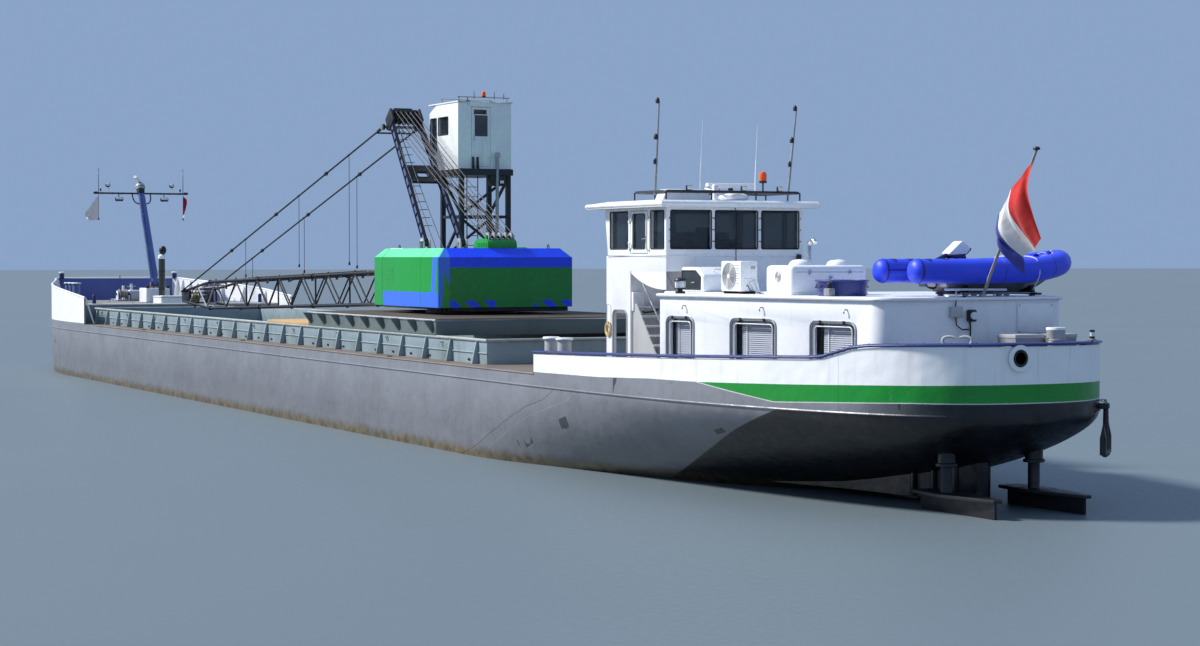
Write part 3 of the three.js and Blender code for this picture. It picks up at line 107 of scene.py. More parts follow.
class Piece:
    """Collects shapes, drawn in full-size metres, into one mesh with several materials."""

    def __init__(self, name, place=None):
        self.name = name
        self.mesh = bmesh.new()
        self.materials = []
        self.place = place or Matrix.Identity(4)

    def verts(self, points):
        return [self.mesh.verts.new(at(*(self.place @ Vector(p)))) for p in points]

    def paint(self, faces, material):
        if material not in self.materials:
            self.materials.append(material)
        for face in faces:
            face.material_index = self.materials.index(material)
            face.smooth = True
        return faces

    def round(self, verts, faces, bevel, segments=2):
        edges = {edge for face in faces for edge in face.edges}
        index = faces[0].material_index
        made = bmesh.ops.bevel(self.mesh, geom=list(edges) + verts, offset=SCALE * bevel, segments=segments,
                               profile=0.5, affect="EDGES", clamp_overlap=True)
        for face in made["faces"]:
            face.material_index = index
            face.smooth = True

    def box(self, x, y, z, material, bevel=0.0, segments=2):
        v = self.verts([(x[i & 1], y[i >> 1 & 1], z[i >> 2]) for i in range(8)])
        loops = ((0, 2, 3, 1), (4, 5, 7, 6), (0, 1, 5, 4), (2, 6, 7, 3), (0, 4, 6, 2), (1, 3, 7, 5))
        faces = self.paint([self.mesh.faces.new([v[i] for i in loop]) for loop in loops], material)
        if bevel:
            self.round(v, faces, bevel, segments)

    def prism(self, points, axis, ends, material, bevel=0.0, segments=2):
        low, high = [self.verts([turned(axis, a, b, c) for a, b in points]) for c in ends]
        count = len(points)
        faces = [self.mesh.faces.new(low), self.mesh.faces.new(high[::-1])]
        faces += [self.mesh.faces.new((low[i], high[i], high[(i + 1) % count], low[(i + 1) % count]))
                  for i in range(count)]
        self.paint(faces, material)
        if bevel:
            self.round(low + high, faces, bevel, segments)

    def skin(self, rows, material, wrap=False, ends=False):
        grid = [self.verts(row) for row in rows]
        faces = []
        for near, far in zip(grid, grid[1:]):
            count = len(near)
            for i in range(count if wrap else count - 1):
                faces.append(self.mesh.faces.new((near[i], near[(i + 1) % count],
                                                  far[(i + 1) % count], far[i])))
        if ends:
            faces += [self.mesh.faces.new(grid[0][::-1]), self.mesh.faces.new(grid[-1])]
        return self.paint(faces, material)

    def tube(self, path, radius, material, sides=8, closed=False, flat=1.0):
        path = [Vector(p) for p in path]
        count = len(path)
        rows, side = [], None
        for i, p in enumerate(path):
            before = path[i - 1] if i or closed else p
            after = path[(i + 1) % count] if i < count - 1 or closed else p
            along = (after - before).normalized()
            if side is None:
                side = along.cross(Vector((0, 0, 1)) if abs(along.z) < 0.9 else Vector((1, 0, 0)))
            side = (side - along * side.dot(along)).normalized()
            up = along.cross(side)
            r = radius[i] if isinstance(radius, (list, tuple)) else radius
            rows.append([p + r * (math.cos(a) * side + flat * math.sin(a) * up) for a in turns(sides)])
        if closed:
            rows.append(rows[0])
        self.skin(rows, material, wrap=True, ends=not closed)

    def rod(self, start, end, radius, material, sides=12):
        self.tube([start, end], radius, material, sides)

    def lathe(self, profile, origin, material, axis="z", sides=20):
        rows = []
        for radius, height in profile:
            radius = max(radius, 0.0004)
            rows.append(hoop(axis, moved(origin, turned(axis, 0, 0, height)), radius, radius, sides))
        self.skin(rows, material, wrap=True, ends=True)

    def make(self, body, stands_for=()):
        bmesh.ops.remove_doubles(self.mesh, verts=self.mesh.verts, dist=1e-5)
        bmesh.ops.recalc_face_normals(self.mesh, faces=self.mesh.faces)
        data = bpy.data.meshes.new(self.name)
        self.mesh.to_mesh(data)
        self.mesh.free()
        data.set_sharp_from_angle(angle=SHARP_EDGE)
        for material in self.materials:
            data.materials.append(material)
        piece = bpy.data.objects.new(self.name, data)
        scene.collection.objects.link(piece)
        if body:
            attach(piece, body)
        if stands_for:
            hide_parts(*stands_for)
        return piece


def spline(points, per_span):
    """A centripetal Catmull-Rom curve through points of any number of coordinates."""
    points = [Vector(p) for p in points]
    out = []
    for i, (p1, p2) in enumerate(zip(points, points[1:])):
        p0 = points[i - 1] if i else p1 * 2 - p2
        p3 = points[i + 2] if i + 2 < len(points) else p2 * 2 - p1
        t1 = max((p1 - p0).length, 1e-6) ** 0.5
        t2 = t1 + max((p2 - p1).length, 1e-6) ** 0.5
        t3 = t2 + max((p3 - p2).length, 1e-6) ** 0.5
        steps = per_span(p1, p2) if callable(per_span) else per_span
        for k in range(steps):
            t = t1 + (t2 - t1) * k / steps
            a1 = p0 * ((t1 - t) / t1) + p1 * (t / t1)
            a2 = p1 * ((t2 - t) / (t2 - t1)) + p2 * ((t - t1) / (t2 - t1))
            a3 = p2 * ((t3 - t) / (t3 - t2)) + p3 * ((t - t2) / (t3 - t2))
            b1 = a1 * ((t2 - t) / t2) + a2 * (t / t2)
            b2 = a2 * ((t3 - t) / (t3 - t1)) + a3 * ((t - t1) / (t3 - t1))
            out.append(b1 * ((t2 - t) / (t2 - t1)) + b2 * ((t - t1) / (t2 - t1)))
    out.append(points[-1])
    return out


def interpolate(table, x):
    """A value between the table's points, and the end values beyond them."""
    if x <= table[0][0]:
        return table[0][1]
    for (x0, v0), (x1, v1) in zip(table, table[1:]):
        if x <= x1:
            return v0 + (v1 - v0) * (x - x0) / (x1 - x0)
    return table[-1][1]


def rounded(a, b, radius, steps=5):
    """A rounded rectangle as a list of points."""
    points = []
    for ca, cb, start in ((a[1] - radius, b[1] - radius, 0), (a[0] + radius, b[1] - radius, 90),
                          (a[0] + radius, b[0] + radius, 180), (a[1] - radius, b[0] + radius, 270)):
        for k in range(steps + 1):
            angle = math.radians(start + 90 * k / steps)
            points.append((ca + radius * math.cos(angle), cb + radius * math.sin(angle)))
    return points


def pane(axis, place, a, b, radius=0.03, steps=3):
    """A rounded rectangle square to an axis, at a place along it."""
    return [turned(axis, u, v, place) for u, v in rounded(a, b, radius, steps)]


def sheave(piece, rim, y, x, z, material, sides):
    """A grooved wheel on a cross axle, from one half of its rim."""
    profile = [(r, y - h) for r, h in rim] + [(r, y + h) for r, h in reversed(rim)]
    piece.lathe(profile, (x, 0, z), material, "y", sides)


# Materials
class Graph:
    """A material's nodes, with its colours placed by the full-size ship's metres."""

    def __init__(self, name):
        self.material = bpy.data.materials.new(name)
        self.material.use_nodes = True
        self.nodes = self.material.node_tree.nodes
        self.shader = self.nodes["Principled BSDF"]
        coordinates = self.nodes.new("ShaderNodeTexCoord").outputs["Object"]
        self.spot = self.mapping(coordinates, [1 / SCALE] * 3, (MIDSHIP, 0, -DRAUGHT))
        split = self.nodes.new("ShaderNodeSeparateXYZ")
        self.link(self.spot, split.inputs[0])
        self.x, self.y, self.z = split.outputs
        normal = self.nodes.new("ShaderNodeNewGeometry").outputs["Normal"]
        face = self.nodes.new("ShaderNodeSeparateXYZ")
        self.link(normal, face.inputs[0])
        self.nx, _, self.nz = face.outputs

    def link(self, source, target):
        if isinstance(source, bpy.types.NodeSocket):
            self.material.node_tree.links.new(source, target)
        elif isinstance(source, tuple) and len(source) == 3 and target.type == "RGBA":
            target.default_value = (*source, 1)
        else:
            target.default_value = source
        return target

    def mapping(self, vector, scale, location=(0, 0, 0)):
        node = self.nodes.new("ShaderNodeMapping")
        self.link(vector, node.inputs["Vector"])
        node.inputs["Scale"].default_value = scale
        node.inputs["Location"].default_value = location
        return node.outputs[0]

    def noise(self, scale, detail=3.0, roughness=0.55, stretch=None, seed=0.0):
        node = self.nodes.new("ShaderNodeTexNoise")
        vector = self.mapping(self.spot, stretch or (1, 1, 1), (seed, 1.7 * seed, 0.6 * seed))
        self.link(vector, node.inputs["Vector"])
        node.inputs["Scale"].default_value = scale
        node.inputs["Detail"].default_value = detail
        node.inputs["Roughness"].default_value = roughness
        return node.outputs["Fac"]

    def math(self, operation, a, b=0.0):
        node = self.nodes.new("ShaderNodeMath")
        node.operation = operation
        for value, socket in zip((a, b), node.inputs):
            self.link(value, socket)
        return node.outputs[0]

    def both(self, a, b):
        return self.math("MULTIPLY", a, b)

    def plus(self, a, b):
        return self.math("ADD", a, b)

    def minus(self, a, b):
        return self.math("SUBTRACT", a, b)

    def below(self, a, b):
        return self.math("LESS_THAN", a, b)

    def above(self, a, b):
        return self.math("GREATER_THAN", a, b)

    def size(self, a):
        return self.math("ABSOLUTE", a)

    def mix(self, share, a, b, blend="MIX"):
        node = self.nodes.new("ShaderNodeMix")
        node.data_type = "RGBA"
        node.blend_type = blend
        self.link(share, node.inputs[0])
        self.link(a, node.inputs[6])
        self.link(b, node.inputs[7])
        return node.outputs[2]

    def step(self, value, low, high, to_low=0.0, to_high=1.0):
        """Runs from to_low to to_high as the value runs from low to high."""
        node = self.nodes.new("ShaderNodeMapRange")
        for item, socket in zip((value, low, high, to_low, to_high), node.inputs):
            self.link(item, socket)
        return node.outputs[0]

    def curve(self, value, table):
        """A height that depends on a distance, as straight runs between the table's points."""
        total = table[0][1]
        for (x0, v0), (x1, v1) in zip(table, table[1:]):
            total = self.plus(total, self.step(value, x0, x1, 0.0, v1 - v0))
        return total

    def bricks(self, width, height, mortar):
        node = self.nodes.new("ShaderNodeTexBrick")
        self.link(self.spot, node.inputs["Vector"])
        node.inputs["Scale"].default_value = 1.0
        node.inputs["Mortar Size"].default_value = mortar
        node.inputs["Brick Width"].default_value = width
        node.inputs["Row Height"].default_value = height
        return node.outputs["Fac"]

    def finish(self, colour, rough=0.5, metal=0.0, bump=None, height=0.002, worn=0.12, **sockets):
        self.link(colour, self.shader.inputs["Base Color"])
        self.link(self.step(self.noise(7, 4, seed=3.1), 0.3, 0.7, max(rough - worn, 0.03),
                            min(rough + worn, 1)), self.shader.inputs["Roughness"])
        self.shader.inputs["Metallic"].default_value = metal
        for name, value in sockets.items():
            self.shader.inputs[name.replace("_", " ")].default_value = value
        if bump is not None:
            node = self.nodes.new("ShaderNodeBump")
            node.inputs["Distance"].default_value = height
            node.inputs["Strength"].default_value = 1.0
            self.link(bump, node.inputs["Height"])
            self.link(node.outputs[0], self.shader.inputs["Normal"])
        return self.material

    def weather(self, colour, vary=0.08, stains=0.25, stain=(0.30, 0.27, 0.22), runs=0.2,
                run=(0.32, 0.18, 0.10), chips=0.0, chip=(0.16, 0.09, 0.06)):
        """Adds blotches, stains, vertical runs and chips to a coat of paint."""
        patch = self.step(self.noise(0.7, 4, 0.6, seed=1.3), 0.3, 0.7, 1 - vary, 1 + vary)
        grain = self.step(self.noise(26, 3, 0.6, seed=5.7), 0.3, 0.7, 1 - 0.4 * vary, 1 + 0.4 * vary)
        colour = self.mix(1.0, colour, self.both(patch, grain), "MULTIPLY")
        if stains:
            share = self.step(self.noise(1.6, 6, 0.65, seed=8.9), 0.52, 0.78, 0, stains)
            colour = self.mix(share, colour, linear(stain))
        if runs:
            upright = self.step(self.size(self.nz), 0.75, 0.3)
            share = self.step(self.noise(1.0, 4, 0.6, (5.5, 5.5, 0.45), seed=2.2), 0.56, 0.8, 0, runs)
            colour = self.mix(self.both(share, upright), colour, linear(run))
        if chips:
            share = self.step(self.noise(9, 5, 0.7, seed=6.4), 0.66, 0.69, 0, chips)
            colour = self.mix(share, colour, linear(chip))
        return colour


def coat(name, colour, rough=0.4, metal=0.0, bump=0.5, height=0.0015, **wear):
    graph = Graph(name)
    worn = graph.weather(linear(colour), **wear)
    grain = graph.plus(graph.noise(3, 3, seed=4.4), graph.both(graph.noise(60, 3, seed=7.7), bump))
    return graph.finish(worn, rough, metal, bump=grain, height=height)


white = coat("white_enamel", (0.93, 0.94, 0.95), 0.28, vary=0.03, stains=0.10, stain=(0.62, 0.60, 0.55),
             runs=0.13, run=(0.52, 0.42, 0.33))
shaded_white = coat("white_wall", (0.91, 0.92, 0.94), 0.32, vary=0.04, stains=0.13, stain=(0.60, 0.58, 0.54),
                    runs=0.2, run=(0.50, 0.40, 0.32))
grey = coat("grey_enamel", (0.52, 0.53, 0.55), 0.45, vary=0.08, stains=0.3, runs=0.25, chips=0.4)
light_grey = coat("light_grey_enamel", (0.68, 0.69, 0.70), 0.42, vary=0.06, stains=0.2, runs=0.2)
black = coat("black_enamel", (0.10, 0.105, 0.13), 0.48, vary=0.15, stains=0.25, stain=(0.24, 0.20, 0.17),
             runs=0.2, chips=0.5, chip=(0.30, 0.17, 0.10))
dark_steel = coat("dark_steel", (0.15, 0.16, 0.20), 0.45, metal=0.2, vary=0.15, stains=0.25,
                  stain=(0.22, 0.19, 0.17), runs=0.1, chips=0.4, chip=(0.30, 0.18, 0.12))
# Blue-grey that paints light and shade: the shaded bodies of the white bow bollards, and the sunlit side of
# the mast's dark legs.
blue_grey_light_and_shade = coat("blue_grey_painted_light_and_shade", (0.36, 0.42, 0.60), 0.42, vary=0.08, stains=0.2, runs=0.2, chips=0.3)
rail_blue = coat("rail_blue", (0.19, 0.23, 0.48), 0.35, vary=0.1, stains=0.15, runs=0.0, chips=0.4,
                 chip=(0.55, 0.55, 0.6))
navy = coat("navy_enamel", (0.10, 0.14, 0.33), 0.35, vary=0.1, stains=0.12, runs=0.08)
zinc = coat("galvanised_steel", (0.62, 0.63, 0.64), 0.42, metal=0.65, vary=0.12, stains=0.2, runs=0.15)
stainless = coat("stainless", (0.78, 0.79, 0.80), 0.25, metal=0.95, vary=0.05, stains=0.05, runs=0.0)
bronze = coat("bronze", (0.62, 0.47, 0.24), 0.35, metal=0.95, vary=0.15, stains=0.3, stain=(0.2, 0.35, 0.25))
rubber = coat("black_rubber", (0.035, 0.035, 0.04), 0.75, vary=0.2, stains=0.3, runs=0.0, bump=1.5)
orange = coat("orange_lens", (0.95, 0.36, 0.05), 0.2, vary=0.05, stains=0.05, runs=0.0)
yellow = coat("yellow_enamel", (0.85, 0.70, 0.10), 0.4, vary=0.08, stains=0.3, runs=0.2, chips=0.5)
red = coat("red_enamel", (0.70, 0.08, 0.07), 0.4, vary=0.08, stains=0.1, runs=0.05)
lens = coat("lamp_lens", (0.86, 0.88, 0.90), 0.12, vary=0.03, stains=0.03, runs=0.0)
# Near black for painted shade: the inside of the fan housing, the fairlead's hole and the drain slots.
painted_shade_fill = coat("painted_shade_near_black", (0.05, 0.055, 0.06), 0.8, vary=0.2, stains=0.1, runs=0.0)
fitting = coat("warm_fitting", (0.42, 0.33, 0.24), 0.5, vary=0.15, stains=0.2, runs=0.0)


def glass_material(name, alpha):
    graph = Graph(name)
    smudge = graph.step(graph.noise(2.2, 4, 0.6), 0.4, 0.75, 0.0, 0.35)
    colour = graph.mix(smudge, linear((0.10, 0.13, 0.15)), linear((0.30, 0.35, 0.38)))
    return graph.finish(colour, 0.07, bump=graph.noise(0.8, 2), height=0.004, worn=0.04, Alpha=alpha, IOR=1.5,
                        Specular_IOR_Level=0.8)


glass = glass_material("tinted_glass", 0.55)
house_glass = glass_material("clear_glass", 0.28)


# Ship's side paint: white over green and grey over dark, with the edges at measured heights
def side_paint():
    graph = Graph("ship_side")
    x, z = graph.x, graph.z
    white_low = graph.curve(x, [(2.1, 2.33), (3.7, 2.29), (5.7, 2.23), (7.94, 2.175), (9.5, 2.17),
                                (11.5, 2.11), (15, 2.08)])
    green_low = graph.curve(x, [(2.1, 2.0), (3.0, 2.0), (4.5, 1.95), (5.8, 1.90), (7.0, 2.05), (7.94, 2.175)])
    ragged = graph.step(graph.noise(14, 4, 0.7), 0, 1, -0.006, 0.006)
    height = graph.plus(z, ragged)
    is_white = graph.above(height, white_low)
    aft = graph.below(x, 7.94)
    is_green = graph.both(graph.above(height, green_low), aft)
    seam = graph.curve(x, [(4.6, 1.79), (5.75, 1.76), (7.3, 1.28), (10.3, 0.27), (11.1, 0.0)])
    forward = graph.step(graph.minus(z, seam), -0.01, 0.01)
    upper = graph.step(z, 1.755, 1.775)
    fade = graph.step(x, 2.6, 4.4)
    grey_share = graph.math("MAXIMUM", graph.both(upper, fade), graph.both(forward, graph.step(x, 5.5, 5.7)))
    slate = graph.weather(linear((0.50, 0.51, 0.54)), vary=0.10, stains=0.35, stain=(0.36, 0.35, 0.34),
                          runs=0.25, run=(0.30, 0.27, 0.24), chips=0.5, chip=(0.17, 0.17, 0.18))
    # Grey darker towards the bottom: painted shade where the hull turns under.
    grey_painted_shade_low = graph.mix(graph.step(z, 0.7, 1.7, 0.35, 0.0), slate, linear((0.20, 0.21, 0.23)))
    touched = graph.both(graph.step(graph.noise(1.1, 2, 0.4, (1.4, 0.2, 1.1), seed=9.1), 0.64, 0.65),
                         graph.step(graph.bricks(0.62, 0.34, 0.13), 0.6, 0.4))
    grey_painted_shade_low = graph.mix(graph.both(touched, 0.85), grey_painted_shade_low, linear((0.17, 0.17, 0.19)))
    tar = graph.weather(linear((0.05, 0.06, 0.09)), vary=0.25, stains=0.4, stain=(0.19, 0.19, 0.21), runs=0.3,
                        run=(0.22, 0.22, 0.23), chips=0.4, chip=(0.28, 0.28, 0.30))
    cloud = graph.step(graph.noise(0.8, 6, 0.65, (1, 1, 2.2), seed=12.0), 0.45, 0.75)
    tar = graph.mix(graph.both(cloud, graph.step(z, 1.35, 1.72, 0.05, 0.6)), tar, linear((0.20, 0.21, 0.24)))
    colour = graph.mix(grey_share, tar, grey_painted_shade_low)
    green = graph.weather(linear((0.03, 0.53, 0.17)), vary=0.07, stains=0.15, stain=(0.10, 0.32, 0.16),
                          runs=0.15, run=(0.12, 0.24, 0.12), chips=0.35, chip=(0.55, 0.68, 0.58))
    colour = graph.mix(is_green, colour, green)
    clean = graph.weather(linear((0.94, 0.945, 0.955)), vary=0.02, stains=0.10, stain=(0.66, 0.64, 0.60),
                          runs=0.22, run=(0.56, 0.44, 0.32))
    colour = graph.mix(is_white, colour, clean)
    line = graph.both(graph.step(graph.size(graph.minus(height, green_low)), 0.012, 0.006),
                      graph.both(aft, graph.minus(1.0, is_white)))
    colour = graph.mix(graph.both(line, 0.8), colour, linear((0.85, 0.87, 0.86)))
    weed = graph.step(graph.plus(z, graph.step(graph.noise(2.6, 5, 0.7, seed=3.3), 0, 1, -0.16,
                                               0.16)), 0.30, 0.10)
    slime = graph.mix(graph.step(graph.noise(5, 4), 0.35, 0.65), linear((0.25, 0.22, 0.12)),
                      linear((0.42, 0.36, 0.22)))
    colour = graph.mix(graph.both(weed, graph.step(x, 5, 14, 0.45, 0.9)), colour, slime)
    plates = graph.bricks(6.0, 1.35, 0.018)
    dents = graph.plus(graph.both(graph.noise(1.3, 2, seed=1.1), 4.0), graph.both(graph.noise(45, 3), 0.25))
    bump = graph.minus(dents, graph.both(plates, 0.6))
    return graph.finish(colour, 0.36, bump=bump, height=0.006, worn=0.1)


def hold_paint():
    graph = Graph("hold_steel")
    base = graph.mix(graph.step(graph.noise(0.5, 5, 0.65, seed=4.0), 0.35, 0.65), linear((0.37, 0.36, 0.34)),
                     linear((0.46, 0.38, 0.30)))
    colour = graph.weather(base, vary=0.12, stains=0.5, stain=(0.30, 0.20, 0.13), runs=0.5,
                           run=(0.38, 0.22, 0.12), chips=0.6, chip=(0.25, 0.13, 0.08))
    seams = graph.bricks(2.6, 1.3, 0.02)
    bump = graph.minus(graph.both(graph.noise(1.6, 3), 3.0), graph.both(seams, 0.8))
    return graph.finish(colour, 0.6, bump=bump, height=0.006)


def deck_paint(name, tone, dirt):
    """Walkway paint: rubbed, dusty, and with a raised grip pattern."""
    graph = Graph(name)
    colour = graph.weather(linear(tone), vary=0.14, stains=0.55, stain=dirt, runs=0.0, chips=0.7,
                           chip=(0.34, 0.22, 0.14))
    dust = graph.step(graph.noise(0.9, 6, 0.7, seed=15.0), 0.45, 0.75, 0.0, 0.45)
    colour = graph.mix(dust, colour, linear((0.55, 0.51, 0.46)))
    grip = graph.bricks(0.10, 0.05, 0.018)
    bump = graph.minus(graph.both(graph.noise(2.2, 3), 2.0), graph.both(grip, 0.35))
    return graph.finish(colour, 0.6, bump=bump, height=0.004)


ship_side = side_paint()
hold_steel = hold_paint()
side_deck = deck_paint("side_deck", (0.44, 0.40, 0.37), (0.31, 0.27, 0.23))
fore_deck = deck_paint("fore_deck", (0.50, 0.50, 0.50), (0.36, 0.35, 0.34))

# Hull: a fine skin through the sections of the solid hull
# Columns: distance, half-breadth, half-width of the flat bottom, bottom height, fullness
SECTIONS = [
    (2.1, 0.25, 0.04, 1.65, 2.0), (2.14, 0.65, 0.06, 1.6, 2.0), (2.28, 1.15, 0.08, 1.5, 2.0),
    (2.55, 1.6, 0.1, 1.35, 2.0), (3.0, 2.05, 0.1, 1.12, 1.9), (3.8, 2.5, 0.12, 0.8, 1.8),
    (5.0, 2.95, 0.14, 0.47, 1.6), (6.6, 3.38, 0.16, 0.11, 1.5), (8.6, 3.74, 0.2, -0.26, 1.5),
    (10.8, 3.95, 0.26, -0.74, 1.6), (13.2, 4.06, 0.6, -0.95, 1.9), (15.5, 4.1, 1.6, -1.0, 2.4),
    (18.5, 4.1, 3.0, -1.0, 4.5), (21.5, 4.1, 3.6, -1.0, 6.0), (55.5, 4.1, 3.6, -1.0, 6.0),
    (59.5, 4.06, 3.3, -1.0, 5.0), (62.5, 3.75, 2.5, -0.9, 3.5), (64.6, 3.2, 1.5, -0.5, 2.8),
    (65.8, 2.86, 0.8, 0.15, 2.4), (66.5, 2.7, 0.4, 0.9, 2.2), (67.0, 2.45, 0.25, 1.45, 2.0),
]
DECK, KNUCKLE = 2.04, 1.78
STERN, BOW, HALF_BEAM, BOTTOM = 2.1, 67.0, 4.1, -1.0
BULWARK_END, BOW_START = 14.5, 55.5
DEADWOOD = [(3.75, 0.12), (4.3, 0.42), (5.2, 0.8), (6.7, 1.11), (8.8, 1.76), (10.5, 2.1)]


def fine_sections():
    out = []
    for x, half, flat, bottom, fullness in spline(SECTIONS, lambda a, b: 4 if b[0] - a[0] < 30 else 12):
        out.append((min(max(x, STERN), BOW), min(half, HALF_BEAM), max(flat, 0.03),
                    max(bottom, BOTTOM), fullness))
    return out


FINE = fine_sections()


def half_at(x):
    return interpolate([(s[0], s[1]) for s in FINE], x)


def section(x, half, flat, bottom, fullness):
    """One side's outline from the deck edge down to the flat bottom."""
    points, steps = [(x, half, DECK)], 16
    for k in range(steps + 1):
        angle = math.pi / 2 * k / steps
        points.append((x, flat + (half - flat) * math.cos(angle) ** (2 / fullness) if k < steps else flat,
                       KNUCKLE - (KNUCKLE - bottom) * math.sin(angle) ** (2 / fullness)))
    return points


def stern_outline(aft_of, inset=0.0):
    """The deck edge round the stern from the port side to the starboard side."""
    port = [(s[0], s[1]) for s in FINE if s[0] < aft_of]
    port.append((aft_of, half_at(aft_of)))
    path = [(x, y) for x, y in reversed(port)] + [(x, -y) for x, y in port]
    return offset(path, inset)


def offset(path, distance):
    """Moves a path sideways to its left."""
    out = []
    for i, (x, y) in enumerate(path):
        a = path[max(i - 1, 0)]
        b = path[min(i + 1, len(path) - 1)]
        along = Vector((b[0] - a[0], b[1] - a[1])).normalized()
        out.append((x - along.y * distance, y + along.x * distance))
    return out


def hull_skin():
    piece = Piece("hull_skin")
    port = [section(*s) for s in FINE]
    rows = [line + [(x, -y, z) for x, y, z in reversed(line)] for line in port]
    piece.skin(rows, ship_side)
    for row in (rows[0], rows[-1]):
        centre = (row[0][0], 0.0, 1.9)
        for a, b in zip(row, row[1:] + row[:1]):
            piece.skin([[a, b], [centre, centre]], ship_side)
    # Deck plates round the hold
    hold, wall, floor = (20.0, 56.9), 3.22, -0.56

    def plate(x0, x1, inner):
        xs = sorted({s[0] for s in FINE if x0 < s[0] < x1} | {x0, x1})
        for side in (1, -1):
            piece.skin([[(x, side * inner, DECK), (x, side * half_at(x), DECK)] for x in xs], side_deck)
    plate(STERN, hold[0], 0.0)
    plate(*hold, wall)
    plate(hold[1], BOW, 0.0)
    # Hold walls with upright ribs, and its floor
    for side in (1, -1):
        piece.skin([[(x, side * wall, DECK), (x, side * wall, floor)] for x in hold], hold_steel)
        for k in range(28):
            x = hold[0] + 0.7 + k * 1.31
            piece.box((x, x + 0.07), (side * 3.20 - 0.03, side * 3.20 + 0.03), (floor, 2.0),
                      hold_steel, 0.012)
    for x in hold:
        piece.skin([[(x, y, DECK), (x, y, floor)] for y in (-wall, wall)], hold_steel)
    piece.skin([[(x, y, floor) for x in hold] for y in (-wall, wall)], hold_steel)
    # Rubbing strakes along the knuckle and the deck edge
    for side in (1, -1):
        path = [(s[0], side * (s[1] + 0.004), KNUCKLE) for s in FINE if s[0] > 2.5]
        piece.tube(path, 0.022, ship_side, 6)
        edge = [(s[0], side * (s[1] - 0.012), DECK) for s in FINE if BULWARK_END < s[0] < BOW_START]
        piece.tube([(BULWARK_END, side * (half_at(BULWARK_END) - 0.012), DECK)] + edge, 0.028, side_deck, 6)
    # Deadwood: a wedge of plating with upright ribs over the propeller
    low, high, aft = 0.14, 1.0, DEADWOOD[0]
    plating = [(x, interpolate(DEADWOOD, x)) for x in (3.75, 4.0, 4.3, 4.75, 5.2, 5.9, 6.7, 7.7,
                                                       8.8, 9.7, 10.5)]
    for side in (1, -1):
        piece.skin([[(x, side * y, low), (x, side * (y + 0.005), 0.5 * (low + high)), (x, side * y, high)]
                    for x, y in plating], ship_side)
        for x in (4.1, 4.5, 4.9):
            y = interpolate(DEADWOOD, x)
            piece.box((x - 0.04, x + 0.04), span(side, y - 0.02, y + 0.10), (low, high), ship_side, 0.012)
    piece.skin([[(x, y, low), (x, -y, low)] for x, y in plating], ship_side)
    piece.skin([[(aft[0], y, low), (aft[0], y, high)] for y in (aft[1], -aft[1])], ship_side)
    # Skeg, bossing and rudder trunks
    skeg = [(5.6, 0.5), (5.6, -0.60), (6.5, BOTTOM), (15.5, BOTTOM), (15.5, -0.5), (8.5, 0.4)]
    piece.prism(skeg, "y", (-0.17, 0.17), ship_side, 0.04)
    piece.lathe([(0.12, 5.3), (0.19, 5.42), (0.19, 7.4), (0.05, 7.9)], (0, 0, -0.40), ship_side, "x", 20)
    for side in (1, -1):
        piece.lathe([(0.20, 0.82), (0.20, 0.87), (0.165, 0.88), (0.165, 1.5)],
                    (3.5, side * 0.96, 0), ship_side)
    piece.make("ship", ("hull",))


hull_skin()

# Stern bulwark and its rail cap
BULWARK_TOP = [(2.1, 3.0), (3.0, 2.98), (4.0, 2.93), (4.8, 2.72), (9.0, 2.6), (16.0, 2.45)]


def bulwark_top(x):
    if x < BULWARK_TOP[3][0]:
        return interpolate(spline(BULWARK_TOP[:5], 8), x)
    return interpolate(BULWARK_TOP, x)


def bracket(piece, inner, outer, reach, low, top, share, material):
    """An upright bracket from a bulwark's inner face; share tells how far its top edge runs inwards."""
    inward = Vector((inner[0] - outer[0], inner[1] - outer[1])).normalized()
    along = Vector((-inward.y, inward.x)) * 0.012
    foot = Vector(inner) + inward * reach
    rows = []
    for shift in (-1, 1):
        ax, ay = inner[0] + shift * along.x, inner[1] + shift * along.y
        fx, fy = foot.x + shift * along.x, foot.y + shift * along.y
        shoulder = ((1 - share) * ax + share * fx, (1 - share) * ay + share * fy, top)
        rows.append([(ax, ay, low), (ax, ay, top), shoulder, (fx, fy, low)])
    piece.skin(rows, material, wrap=True, ends=True)


bulwark_inside = coat("bulwark_inside", (0.62, 0.66, 0.80), 0.4, vary=0.06, stains=0.2,
                      stain=(0.45, 0.42, 0.40), runs=0.25)


def stern_bulwark():
    piece = Piece("stern_bulwark_plating")
    outer = stern_outline(BULWARK_END)
    inner = stern_outline(BULWARK_END, 0.05)
    for path, material in ((outer, ship_side), (inner, bulwark_inside)):
        rows = []
        for (x, y), edge in zip(path, outer):
            top = bulwark_top(edge[0]) - 0.01
            rows.append([(x, y, DECK + (top - DECK) * k / 4) for k in range(5)])
        piece.skin(rows, material)
    # Brackets inside
    for i in range(4, len(outer) - 4, 3):
        top = bulwark_top(outer[i][0]) - 0.05
        bracket(piece, inner[i], outer[i], 0.30, DECK, top, 0.3, bulwark_inside)
    piece.make("ship", ("stern_bulwark",))


stern_bulwark()


def rail_cap():
    piece = Piece("stern_rail_moulding")
    rows = []
    middle = stern_outline(BULWARK_END, 0.03)
    for (x, y), (ox, oy) in zip(middle, stern_outline(BULWARK_END)):
        out = Vector((ox - x, oy - y)).normalized()
        top = bulwark_top(ox)
        ring = []
        for a in turns(12):
            reach, rise = 0.075 * math.cos(a), 0.034 + 0.032 * math.sin(a)
            ring.append((x + out.x * reach, y + out.y * reach, top + rise))
        rows.append(ring)
    piece.skin(rows, rail_blue, wrap=True, ends=True)
    piece.make("ship", ("stern_rail_cap",))


rail_cap()


# Stern house: window frames, blinds, lamps and fittings
HOUSE_ROOF = 3.83


